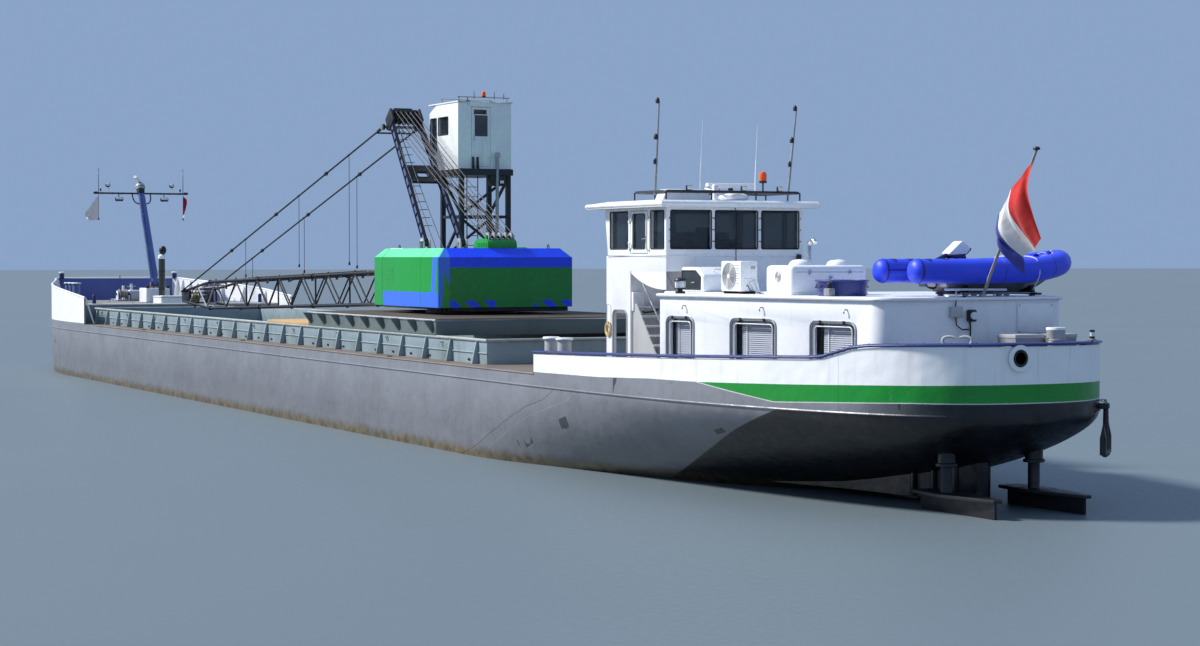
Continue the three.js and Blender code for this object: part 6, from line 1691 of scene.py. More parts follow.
def boom():
    piece = Piece("boom_lattice", BOOM_TURN)
    length = BOOM_LENGTH
    for (s0, _, _), (s1, _, _) in zip(BOOM_STATIONS, BOOM_STATIONS[1:]):
        for a, b in zip(boom_corners(s0), boom_corners(s1)):
            piece.rod((s0 * length, *a), (s1 * length, *b), 0.047, boom_paint, 12)
    bays = 18
    for bay in range(bays + 1):
        s0, s1 = 0.05 + 0.9 * bay / bays, 0.05 + 0.9 * (bay + 1) / bays
        here, there = boom_corners(s0), boom_corners(s1)
        for face in range(4):
            other = (face + 1) % 4
            start, end = (face, other) if bay % 2 == 0 else (other, face)
            if bay % 6 == 0:
                piece.rod((s0 * length, *here[face]), (s0 * length, *here[other]), 0.03, boom_paint, 8)
            if bay < bays:
                tone = pale_lattice if bay > bays - 4 else boom_paint
                piece.rod((s0 * length, *here[start]), (s1 * length, *there[end]), 0.026, tone, 8)
        # Gussets at the joints of the upper chords, and lugs that stand on them
        for y, z in here[:2]:
            piece.box((s0 * length - 0.10, s0 * length + 0.10), (y - 0.012, y + 0.012), (z - 0.11, z - 0.02),
                      boom_paint, 0.004)
            if bay % 2:
                piece.box((s0 * length - 0.05, s0 * length + 0.05), (y - 0.015, y + 0.015),
                          (z + 0.03, z + 0.10), boom_paint, 0.012)
    # Bolted flanges between the boom's sections
    for share in (0.12, 0.36, 0.59, 0.83):
        for y, z in boom_corners(share):
            x = share * length
            for shift in (-0.014, 0.014):
                piece.lathe([(0.075, x + shift - 0.011), (0.078, x + shift), (0.075, x + shift + 0.011)],
                            (0, y, z), boom_paint, "x", 14)
            for a in turns(4):
                by, bz = y + 0.058 * math.cos(a + math.pi / 4), z + 0.058 * math.sin(a + math.pi / 4)
                piece.rod((x - 0.04, by, bz), (x + 0.04, by, bz), 0.009, zinc, 6)
    # Heel: tapered plates on a tube, with the pin's ends
    piece.rod((0, -0.56, 0), (0, 0.56, 0), 0.115, boom_paint, 20)
    piece.rod((0, -0.70, 0), (0, 0.70, 0), 0.058, zinc, 16)
    for side in (1, -1):
        piece.box((0.0, 0.03 * length), (side * 0.475 - 0.04, side * 0.475 + 0.04), (-0.09, 0.09),
                  boom_paint, 0.02)
        piece.lathe([(0.14, side * 0.475 - 0.045), (0.14, side * 0.475 + 0.045)], (0, 0, 0),
                    boom_paint, "y", 20)
        cheek = [(0.955 * length, -0.20), (0.97 * length, -0.22), (length - 0.02, -0.22),
                 (length + 0.05, -0.1)]
        piece.prism(cheek + [(x, -z) for x, z in reversed(cheek)], "y", span(side, 0.40, 0.46),
                    boom_paint, 0.012)
    axle = length - 0.12
    piece.rod((axle, -0.43, 0), (axle, 0.43, 0), 0.058, zinc, 16)
    for y in (-0.12, 0.12):
        sheave(piece, [(0.07, 0.03), (0.238, 0.029), (0.24, 0.02), (0.20, 0.007)], y, axle, 0, light_grey, 32)
    piece.rod((length - 0.5, -0.40, 0.12), (length - 0.5, 0.40, 0.12), 0.03, boom_paint, 10)
    # Hoist rope along the boom between small guide rollers
    for share in (0.2, 0.45, 0.7):
        x = share * length
        piece.rod((x, -0.56, 0.5), (x, 0.56, 0.5), 0.03, boom_paint, 10)
        piece.lathe([(0.05, -0.16), (0.03, -0.12), (0.03, 0.12), (0.05, 0.16)], (x, 0, 0.53),
                    light_grey, "y", 14)
    for y in (-0.12, 0.12):
        piece.tube([(0.4, y, 0.30), (0.2 * length, y, 0.575), (0.45 * length, y, 0.575),
                    (0.7 * length, y, 0.575), (0.9 * length, y, 0.40), (axle, y, 0.205)], 0.014, wire, 6)
    # Walkway boards inside the boom's first half
    for k in range(40):
        x = 0.12 * length + 0.26 * k
        piece.box((x, x + 0.18), (-0.22, 0.22), (-0.44, -0.42), dark_steel)
    piece.make("boom", ("boom",))


boom()

# Pendants: steel bars with forked ends and thin hangers
PIN = Vector((33.014, 0, 8.392))
PENDANT_END = Vector((54.8, 0, 3.26))


def pendants():
    piece = Piece("pendant_bars")
    along = (PENDANT_END - PIN).normalized()
    length = (PENDANT_END - PIN).length
    for side in (1, -1):
        y = side * 0.56

        def spot(s):
            p = PIN + along * s
            return (p.x, y, p.z)

        piece.rod(spot(0.08), spot(length - 0.02), 0.028, boom_paint, 10)
        piece.lathe([(0.088, y - 0.028), (0.09, y), (0.088, y + 0.028)], (PIN.x, 0, PIN.z),
                    boom_paint, "y", 20)
        for s in (0.30, 0.42, 5.2, 5.32, 10.4, 10.52, 15.6, 15.72, length - 0.5, length - 0.38):
            piece.rod(spot(s - 0.05), spot(s + 0.05), 0.045, dark_steel, 12)
        for s in (5.26, 10.46, 15.66):
            p = PIN + along * s
            piece.box((p.x - 0.12, p.x + 0.12), (y - 0.018, y + 0.018), (p.z - 0.06, p.z + 0.06),
                      dark_steel, 0.012)
    bar = PIN + along * 0.64
    piece.rod((bar.x, -0.56, bar.z), (bar.x, 0.56, bar.z), 0.026, boom_paint, 10)
    piece.make("pendants", ("pendants",))


pendants()


def hangers():
    """Thin rods that hang from the pendants, each with a dark weight at its lower end."""
    along = (PENDANT_END - PIN).normalized()
    piece = Piece("pendant_hangers")
    for x, drop, side in ((36.0, 3.35, 1), (38.4, 2.9, -1), (40.8, 2.3, 1), (43.6, 1.85, -1), (46.6, 1.3, 1),
                          (49.4, 0.75, -1)):
        s = (x - PIN.x) / along.x
        top = PIN.z + along.z * s
        y = side * 0.56
        piece.rod((x, y, top), (x, y, top - drop), 0.009, dark_steel, 6)
        piece.lathe([(0.012, 0.10), (0.028, 0.06), (0.032, 0.0), (0.02, -0.02)],
                    (x, y, top - drop), black, "z", 10)
        piece.lathe([(0.05, -0.012), (0.05, 0.012)], (x, y, top), dark_steel, "z", 10)
    piece.make("pendants")


hangers()


def hook():
    axle = BOOM_HEEL + (BOOM_TIP - BOOM_HEEL) * (1 - 0.12 / BOOM_LENGTH)
    piece = Piece("hook_block_body", Matrix.Translation(axle))
    for y in (-0.045, 0.045):
        piece.lathe([(0.066, y - 0.012), (0.122, y - 0.012), (0.122, y + 0.012), (0.066, y + 0.012),
                     (0.066, y - 0.012)], (0, 0, 0), yellow, "y", 24)
    piece.prism([(-0.088, -0.02), (0.088, -0.02), (0.085, -0.20), (0.05, -0.25), (-0.05, -0.25),
                 (-0.085, -0.20)], "y", (-0.055, 0.055), yellow, 0.012)
    for k in range(3):
        piece.box((-0.089, 0.089), (-0.057, 0.057), (-0.10 - 0.045 * k, -0.08 - 0.045 * k),
                  yellow if k == 1 else black, 0.003)
    bend = [(0, 0, -0.24), (0, 0, -0.29), (0.045, 0, -0.325), (0.06, 0, -0.36), (0.035, 0, -0.405),
            (-0.03, 0, -0.405), (-0.072, 0, -0.365), (-0.075, 0, -0.335)]
    path = spline(bend, 4)
    radii = [0.034 - 0.016 * abs(2 * k / (len(path) - 1) - 1) ** 2 * (1 if k > len(path) / 2 else 0.2)
             for k in range(len(path))]
    piece.tube(path, radii, black, 12)
    piece.make("hook_block", ("hook_block",))


hook()


# Operator's cab on its tower
def cab():
    piece = Piece("crane_cab_trim")
    # Gaskets of the side glass
    for side, y in ((1, -0.77), (-1, -2.43)):
        for xs, zs in (((32.14, 32.62), (7.58, 8.63)), ((31.25, 32.0), (8.12, 8.63))):
            piece.tube(pane("y", y + side * 0.004, xs, zs), 0.014, rubber, 6, True)
    # Roof edge and the seam under the door
    piece.tube([(30.47, -2.44, 9.03), (30.47, -0.76, 9.03), (32.70, -0.76, 9.03), (32.70, -2.44, 9.03)],
               0.022, white, 8, True)
    piece.tube([(30.49, -2.436, 7.12), (30.49, -0.764, 7.12)], 0.014, shaded_white, 8)
    # Roof rail with beacon, whips and a floodlight
    z = 9.05
    for x in (30.62, 31.9):
        for y in (-0.85, -2.35):
            piece.rod((x, y, z), (x, y, z + 0.12), 0.014, zinc, 8)
            piece.lathe([(0.045, z - 0.002), (0.045, z + 0.012), (0.016, z + 0.02)], (x, y, 0), zinc, "z", 12)
        piece.rod((x, -0.80, z + 0.12), (x, -2.43, z + 0.12), 0.018, zinc, 10)
    piece.lathe([(0.05, z + 0.12), (0.06, z + 0.14), (0.06, z + 0.16)], (30.62, -1.62, 0), black)
    piece.lathe([(0.052, z + 0.16), (0.055, z + 0.18), (0.055, z + 0.26), (0.04, z + 0.29), (0.01, z + 0.30)],
                (30.62, -1.62, 0), orange, "z", 22)
    for y, top in ((-1.32, 0.31), (-1.95, 0.31), (-2.25, 0.25)):
        piece.tube([(30.62, y, z + 0.08), (30.62, y, z + 0.18), (30.62, y, z + top)],
                   [0.014, 0.010, 0.007], dark_steel, 8)
    piece.box((30.50, 30.60), (-1.16, -1.04), (z - 0.14, z + 0.02), black, 0.02)
    piece.box((30.49, 30.51), (-1.15, -1.05), (z - 0.12, z - 0.02), lens, 0.004)
    piece.rod((30.55, -1.1, z), (30.62, -1.1, z + 0.12), 0.012, black, 6)
    piece.make("crane")


cab()


def cab_inside():
    piece = Piece("crane_cab_interior")
    piece.box((31.25, 31.70), (-1.85, -1.35), (7.42, 7.56), black, 0.05, 3)
    piece.box((31.18, 31.30), (-1.83, -1.37), (7.52, 8.20), black, 0.05, 3)
    piece.lathe([(0.2, 7.17), (0.18, 7.20), (0.05, 7.22), (0.05, 7.44)], (31.5, -1.6, 0), dark_steel)
    for y in (-1.98, -1.22):
        piece.box((31.3, 31.85), (y - 0.11, y + 0.11), (7.55, 7.68), fitting, 0.03)
        piece.rod((31.75, y, 7.68), (31.78, y, 7.88), 0.012, black, 8)
        piece.lathe([(0.028, 0.0), (0.032, 0.03), (0.01, 0.06)], (31.78, y, 7.87), black, "z", 12)
    piece.box((32.2, 32.5), (-2.3, -2.0), (7.17, 7.9), fitting, 0.02)
    piece.make("crane")


cab_inside()


def cab_door_trim():
    piece = Piece("crane_cab_door_trim")
    x = 30.495
    piece.tube(pane("x", x, (-1.70, -1.27), (8.03, 8.66)), 0.014, white, 6, True)
    piece.prism(rounded((-1.70, -1.27), (8.03, 8.66), 0.03, 3), "x", (30.494, 30.502), pane_painted_shade_reflection)
    piece.tube(pane("x", x + 0.002, (-1.70, -1.26), (7.25, 7.96)), 0.008, shaded_white, 6, True)
    piece.rod((x - 0.03, -1.26, 7.92), (x - 0.03, -1.26, 8.06), 0.012, stainless, 8)
    for z in (7.92, 8.06):
        piece.rod((x, -1.26, z), (x - 0.03, -1.26, z), 0.010, stainless, 8)
    piece.make("crane_cab_door")


cab_door_trim()


def tower_fittings():
    """White pipe, lamp boxes, lugs, service platform and ladder on the cab's tower."""
    piece = Piece("tower_fittings")
    piece.tube([(30.42, -1.95, 7.55), (30.40, -1.95, 7.40), (30.36, -1.93, 6.6), (30.38, -1.92, 4.0),
                (30.40, -1.92, 3.25)], 0.05, zinc, 10)
    piece.tube([(30.42, -1.97, 7.58), (30.41, -1.96, 7.45)], 0.075, light_grey, 10)
    for y in (-1.22, -1.36):
        piece.prism([(30.36, 6.95), (30.62, 6.95), (30.50, 7.45), (30.42, 7.45)], "y", (y - 0.02, y + 0.02),
                    dark_steel, 0.01)
    piece.box((30.36, 30.62), (-2.2, -1.72), (6.62, 6.92), black, 0.02)
    piece.box((30.30, 30.38), (-2.12, -1.98), (6.68, 6.78), black, 0.015)
    piece.box((30.292, 30.31), (-2.11, -1.99), (6.69, 6.77), lens, 0.005)
    # Ladder up the aft face
    x = 30.36
    for y in (-1.32, -0.98):
        piece.rod((x, y, 3.3), (x, y, 6.9), 0.016, dark_steel, 8)
    for k in range(12):
        piece.rod((x, -1.32, 3.5 + 0.28 * k), (x, -0.98, 3.5 + 0.28 * k), 0.011, dark_steel, 6)
    for z in (3.4, 4.7, 6.0):
        for y in (-1.32, -0.98):
            piece.rod((x, y, z), (x + 0.16, y, z), 0.012, dark_steel, 6)
    # Platform planks
    for k in range(12):
        x0 = 30.36 + 0.2 * k
        piece.box((x0, x0 + 0.17), (-2.42, -0.78), (7.085, 7.10), dark_steel)
    # Cables down the forward corner post
    for shift in (0.0, 0.035, 0.07):
        piece.tube([(31.98, -0.86 + shift * 0.4, 6.9), (31.99 + shift, -0.86, 5.2),
                    (31.98 + shift, -0.86, 3.26)], 0.012, rubber, 6)
    piece.make("crane")


tower_fittings()


def turntable_trim():
    piece = Piece("turntable_trim")
    # Bolt ring round the slewing base
    slewing_axis, ring = (27.7, 0, 0), 1.20
    for spot in hoop("z", slewing_axis, ring, ring, 48):
        piece.lathe([(0.022, 3.105), (0.022, 3.135), (0.008, 3.14)], spot, zinc, "z", 6)
    piece.make("ship")


turntable_trim()
timber = coat("deck_timber", (0.30, 0.25, 0.20), 0.7, vary=0.2, stains=0.5, stain=(0.16, 0.13, 0.11),
              runs=0.0, bump=1.5, height=0.003)

plywood = coat("plywood", (0.76, 0.62, 0.44), 0.65, vary=0.12, stains=0.35, stain=(0.45, 0.34, 0.24),
               runs=0.0, bump=1.5)


def platform_trim():
    piece = Piece("platform_planks")
    for k in range(38):
        x = 22.04 + 0.2545 * k
        piece.box((x, x + 0.235), (-3.30, 3.30), (3.02, 3.038), timber, 0.006)
    piece.tube([(22.0, -3.35, 3.0), (22.0, 3.35, 3.0), (31.7, 3.35, 3.0), (31.7, -3.35, 3.0)], 0.028,
               light_grey, 8, True)
    for k in range(12):
        x = 31.78 + 0.31 * k
        piece.box((x, x + 0.28), (-3.2, 3.2), (2.695, 2.712), plywood, 0.008)
    piece.make("ship")


platform_trim()


# Bow: bulwark with its top edge, corner posts and brackets
BOW_TOP = [(55.5, 3.06), (59.0, 3.30), (62.5, 3.47), (64.6, 3.57), (66.5, 3.68), (67.0, 3.70)]
FORE_DECK, BOW_HALF = 2.75, 2.45
# Strong blue for the inner face of the bow's front wall: painted shade, as that face turns away from the
# light.
bow_inside = coat("bow_inside", (0.30, 0.36, 0.64), 0.4, vary=0.08, stains=0.25, stain=(0.36, 0.40, 0.60),
                  runs=0.2, run=(0.42, 0.42, 0.56))


def bow_sides():
    """The deck edge on the port side, from the aft end of the bulwark to the bow."""
    between = [(s[0], s[1]) for s in FINE if BOW_START < s[0] < BOW - 0.01]
    return [(BOW_START, half_at(BOW_START))] + between + [(BOW, BOW_HALF)]


def bow_bulwark():
    piece = Piece("bow_bulwark_plating")
    port = bow_sides()
    front = [(BOW, BOW_HALF - 2 * BOW_HALF * k / 14) for k in range(1, 14)]
    outer = port + front + [(x, -y) for x, y in reversed(port)]
    inner = offset(outer, -0.06)
    count = len(port)

    def wall(path, low, drop, material):
        rows = []
        for x, y in path:
            top = interpolate(BOW_TOP, x) - drop
            rows.append([(x, y, low + (top - low) * k / 5) for k in range(6)])
        piece.skin(rows, material)
    wall(outer, DECK, 0.01, ship_side)
    wall(inner[:count], DECK, 0.01, white)
    # The front wall's inner face takes the painted shade; the side walls' inner faces stay white.
    wall(inner[count - 1:count + 14], DECK, 0.01, bow_inside)
    wall(inner[count + 13:], DECK, 0.01, white)
    middle = offset(outer, -0.03)
    piece.tube([(x, y, interpolate(BOW_TOP, x) - 0.012) for x, y in middle], 0.045, white, 8, flat=0.8)
    # Brackets inside the sides, from the deck up to the edge
    for i in range(3, count - 2, 3):
        for near in (i, len(outer) - 1 - i):
            top = interpolate(BOW_TOP, outer[near][0]) - 0.06
            low = FORE_DECK if inner[near][0] > 57.1 else DECK
            bracket(piece, inner[near], outer[near], 0.26, low, top, 0.2, white)
    # Leaning bracket at each aft end
    for side in (1, -1):
        piece.rod((55.56, side * 4.02, 3.02), (55.56, side * 3.72, 2.06), 0.03, white, 8)
    piece.make("ship", ("bow_bulwark",))


bow_bulwark()


def bow_posts():
    """Posts on the bow's corners, a stud between them, and stub posts at the break of the deck."""
    piece = Piece("bow_posts")
    for x, y in ((66.8, 2.36), (66.8, -2.5)):
        piece.lathe([(0.10, 3.66), (0.10, 3.90)], (x, y, 0), navy, "z", 20)
        piece.lathe([(0.10, 3.885), (0.122, 3.90), (0.122, 3.94), (0.10, 3.952), (0.01, 3.955)],
                    (x, y, 0), white, "z", 20)
    piece.lathe([(0.04, 3.69), (0.04, 3.79), (0.05, 3.80), (0.05, 3.83), (0.01, 3.84)],
                (66.93, -0.14, 0), light_grey)
    for side in (1, -1):
        piece.lathe([(0.075, 2.752), (0.075, 3.09), (0.055, 3.125), (0.01, 3.13)],
                    (57.22, side * 3.3, 0), navy, "z", 16)
    # Mooring eyes in the bulwark's sides
    for side in (1, -1):
        for x in (60.2, 65.0):
            y = side * (half_at(x) - 0.03)
            piece.tube(hoop("y", (x, y, 3.12), 0.13, 0.09, 20), 0.026, light_grey, 8, True)
    piece.make("ship")


bow_posts()

# Folding mast on the bow, drawn in its own frame: Z along the mast, X forward
LEAN = math.radians(29)
YARD = 4.24
NAV_TURN = Matrix.Translation((60.7, 0, 3.48)) @ Matrix.Rotation(LEAN, 4, "Y")
nav_blue = coat("nav_mast_blue", (0.32, 0.40, 0.66), 0.38, vary=0.07, stains=0.2, stain=(0.36, 0.38, 0.50),
                runs=0.2, run=(0.30, 0.28, 0.34), chips=0.3)
yard_steel = coat("yard_steel", (0.17, 0.19, 0.27), 0.4, metal=0.2, vary=0.12, stains=0.2,
                  runs=0.1, chips=0.3)


def plumb(y, reach):
    """A spot straight above the crossbar, or below it where reach is negative."""
    return (-reach * math.sin(LEAN), y, YARD + reach * math.cos(LEAN))


def nav_mast():
    piece = Piece("nav_mast_spar", NAV_TURN)
    rings = []
    for z, half in ((-0.06, 0.088), (0.23, 0.090), (0.31, 0.155), (1.6, 0.144), (3.0, 0.130), (4.26, 0.118)):
        rings.append(pane("z", z, (-0.076, 0.076), (-half, half), 0.03, 4))
    piece.skin(rings, nav_blue, wrap=True, ends=True)
    piece.lathe([(0.085, -0.092), (0.085, 0.092)], (0, 0, 0), nav_blue, "y", 20)
    # Pale rods along both side edges: painted highlight of the mast's sunlit edge.
    for side in (1, -1):
        piece.rod((-0.05, side * 0.162, 0.36), (-0.05, side * 0.126, 4.1), 0.011, light_grey, 6)
    piece.tube([(-0.09, 0.05, 0.3), (-0.085, 0.05, 2.2), (-0.085, 0.04, 4.2)], 0.011, rubber, 6)
    for z in (0.8, 1.6, 2.4, 3.2, 4.0):
        piece.box((-0.098, -0.07), (0.028, 0.072), (z, z + 0.03), zinc, 0.006)
    # Head and the gearbox that carries the scanner
    piece.box((-0.13, 0.13), (-0.13, 0.13), (4.24, 4.42), dark_steel, 0.025, 3)
    piece.lathe([(0.10, 4.41), (0.185, 4.43), (0.195, 4.47), (0.195, 4.60), (0.17, 4.655), (0.07, 4.675),
                 (0.065, 4.698)], (0, 0, 0), light_grey, "z", 32)
    piece.lathe([(0.20, 4.505), (0.203, 4.515), (0.20, 4.525)], (0, 0, 0), dark_steel, "z", 32)
    # Crossbar with a slim lamp on each end and cable ties along it
    piece.rod((0, -1.80, YARD), (0, 1.80, YARD), 0.036, yard_steel, 14)
    for k in range(9):
        y = -1.6 + 0.4 * k
        piece.lathe([(0.043, y - 0.012), (0.043, y + 0.012)], (0, 0, YARD), rubber, "y", 12)
    for side in (1, -1):
        piece.lathe([(0.02, side * 1.78), (0.05, side * 1.81), (0.055, side * 1.90), (0.04, side * 1.96),
                     (0.01, side * 1.985)], (0, 0, YARD + 0.015), black, "y", 16)
        # Plumb whip above the bar, and the line below it with its weight
        y = side * 1.76
        piece.tube([plumb(y, 0.0), plumb(y, 0.45), plumb(y, 1.03)], [0.014, 0.012, 0.008], dark_steel, 8)
        piece.rod(plumb(y, 0.80), plumb(y, 0.86), 0.032, lens, 12)
        piece.rod(plumb(y, -1.06), plumb(y, 0.0), 0.007, rubber, 6)
        piece.tube([plumb(y, -1.10), plumb(y, -1.07), plumb(y, -1.04), plumb(y, -1.01)],
                   [0.01, 0.032, 0.032, 0.01], black, 10)
        # Small box, and a round lamp on a stalk
        piece.box((-0.03, 0.03), span(side, 1.63, 1.69), (YARD + 0.12, YARD + 0.21), black, 0.01)
        piece.rod((0, side * 1.66, YARD), (0, side * 1.66, YARD + 0.13), 0.008, black, 6)
        piece.rod((0, side * 1.33, YARD), (0, side * 1.33, YARD + 0.31), 0.018, light_grey, 8)
        piece.lathe([(0.05, -0.055), (0.095, -0.05), (0.105, -0.03), (0.105, 0.02), (0.07, 0.055),
                     (0.01, 0.06)], (0, side * 1.33, YARD + 0.39), yard_steel, "x", 24)
        piece.lathe([(0.085, -0.056), (0.07, -0.066), (0.01, -0.07)],
                    (0, side * 1.33, YARD + 0.39), lens, "x", 24)
        # Floodlight under the bar
        piece.rod((0, side * 0.94, YARD), (0, side * 0.94, YARD - 0.21), 0.018, yard_steel, 8)
        piece.box((-0.045, 0.085), span(side, 0.78, 1.10), (YARD - 0.335, YARD - 0.205), yard_steel, 0.018, 3)
        piece.box((-0.055, -0.04), span(side, 0.805, 1.075), (YARD - 0.315, YARD - 0.225), lens, 0.006)
        # Bent tube that steadies the bar
        bend = [(0, side * y, YARD - drop) for y, drop in ((0.37, 0.0), (0.37, 0.20), (0.33, 0.36),
                                                           (0.24, 0.46), (0.08, 0.50))]
        piece.tube(spline(bend, 4), 0.026, yard_steel, 10)
    piece.make("nav_mast", ("nav_mast",))


nav_mast()
radar_bar("radar_fore_scanner", "radar_fore", "radar_fore", NAV_TURN @ Vector((0, 0, 4.70)), 0.46, LEAN,
          math.radians(55))


def small_flag(name, side, rows, columns, drop, outline, fold, material, stripe=None):
    """A little flag tied to a plumb line; outline gives its outward reach and fall at any two shares."""
    grid = []
    for i in range(rows + 1):
        line = []
        for j in range(columns + 1):
            t, s = i / rows, j / columns
            reach, fall = outline(t, s)
            wave = fold * s * math.sin(7.5 * s + 3.2 * t) + 0.4 * fold * s * math.sin(17 * s - 5 * t)
            spot = plumb(side * (1.76 + reach), -(0.10 + drop * t + fall))
            line.append(NAV_TURN @ Vector((spot[0] + wave * math.cos(LEAN), spot[1],
                                           spot[2] + wave * math.sin(LEAN))))
        grid.append(line)
    cloth(name, "nav_mast", grid, [material, stripe] if stripe else [material], (0.86,) if stripe else ())


def bow_flags():
    """A pale flag to port and a narrow red one to starboard."""
    def pale(t, s):
        return (0.56 - 0.10 * t) * s, (0.74 * (1 - t) + 0.02 * t) * s ** 1.1
    small_flag("bow_flag_port", 1, 22, 18, 1.0, pale, 0.10, cloth_coat("pale_cloth", (0.92, 0.88, 0.87)))

    def narrow(t, s):
        swing = math.sin(math.pi * min(1.0, 0.25 + 0.75 * t)) * math.sin(2.2 * s)
        return 0.17 * swing * (1 - 0.4 * t), 0.16 * s * (1 - t)
    small_flag("bow_flag_starboard", -1, 22, 14, 0.86, narrow, 0.11,
               cloth_coat("pennant_red", (0.72, 0.10, 0.16)), STRIPES[1])


bow_flags()


def nav_base():
    piece = Piece("nav_mast_box")
    piece.box((60.2, 61.3), (-0.48, 0.48), (2.752, 3.33), white, 0.025, 3)
    piece.box((60.17, 61.33), (-0.51, 0.51), (2.752, 2.785), light_grey, 0.01)
    for side in (1, -1):
        cheek = span(side, 0.114, 0.158)
        piece.prism([(60.48, 3.325), (60.92, 3.325), (60.88, 3.50), (60.80, 3.60), (60.60, 3.60),
                     (60.52, 3.50)], "y", cheek, black, 0.01)
        piece.prism([(60.30, 3.325), (60.48, 3.325), (60.52, 3.46)], "y", cheek, black)
        piece.lathe([(0.075, side * 0.16), (0.075, side * 0.185), (0.05, side * 0.19)],
                    (60.7, 0, 3.48), zinc, "y", 16)
        piece.box((60.205, 60.35), span(side, 0.36, 0.475), (3.33, 3.42), black, 0.015)
    piece.rod((60.7, -0.18, 3.48), (60.7, 0.18, 3.48), 0.045, zinc, 14)
    # Door in the aft face with its hinges and a cable gland
    piece.box((60.188, 60.2), (-0.33, 0.33), (2.85, 3.24), shaded_white, 0.006)
    for z in (2.93, 3.13):
        piece.rod((60.185, -0.33, z), (60.185, -0.33, z + 0.06), 0.014, light_grey, 8)
    piece.rod((60.18, 0.26, 3.02), (60.18, 0.26, 3.08), 0.012, stainless, 8)
    piece.tube([(60.6, 0.25, 3.33), (60.6, 0.25, 3.40), (60.55, 0.2, 3.46), (60.55, 0.1, 3.60)],
               0.012, rubber, 6)
    piece.make("ship", ("nav_mast_base",))


nav_base()


def windlass():
    piece = Piece("windlass_gear")
    x, foot = 64.0, 2.753
    piece.box((63.65, 64.35), (-0.76, 0.76), (foot, 2.81), grey, 0.012)
    piece.box((63.80, 64.20), (-0.17, 0.17), (2.80, 3.14), light_grey, 0.03, 3)
    piece.box((63.78, 64.22), (-0.22, 0.22), (3.14, 3.205), white, 0.02, 3)
    piece.rod((x, -0.76, 3.04), (x, 0.76, 3.04), 0.05, dark_steel, 16)
    for side in (1, -1):
        for y in (0.33, 0.62):
            piece.lathe([(0.10, side * (y - 0.014)), (0.212, side * (y - 0.012)), (0.215, side * y),
                         (0.212, side * (y + 0.012)), (0.10, side * (y + 0.014))],
                        (x, 0, 3.04), grey, "y", 32)
        piece.lathe([(0.138, side * 0.34), (0.138, side * 0.61)], (x, 0, 3.04), dark_steel, "y", 28)
        for k in range(7):
            ring = hoop("y", (x, side * (0.36 + 0.038 * k), 3.04), 0.142, 0.142, 22)
            piece.tube(ring, 0.015, zinc, 6, True)
        piece.prism([(63.82, 2.80), (64.18, 2.80), (64.14, 3.10), (64.06, 3.19), (63.94, 3.19),
                     (63.86, 3.10)], "y", span(side, 0.685, 0.715), white, 0.008)
        # Brake wheel on a stem, and chain over the deck to the pipe
        piece.rod((63.84, side * 0.48, 2.81), (63.72, side * 0.48, 3.12), 0.012, stainless, 8)
        wheel = [(63.72 + 0.03 * math.cos(a), side * 0.48 + 0.075 * math.sin(a), 3.12 + 0.06 * math.cos(a))
                 for a in turns(18)]
        piece.tube(wheel, 0.009, red, 6, True)
        for k in range(14):
            link = hoop("z" if k % 2 else "y", (64.22 + 0.085 * k, side * 0.48, 2.79), 0.055, 0.024, 12)
            piece.tube(link, 0.010, zinc, 6, True)
        piece.lathe([(0.11, 2.752), (0.11, 2.82), (0.085, 2.83), (0.07, 2.80)], (65.45, side * 0.48, 0),
                    light_grey, "z", 24)
    piece.make("ship", ("windlass",))


windlass()


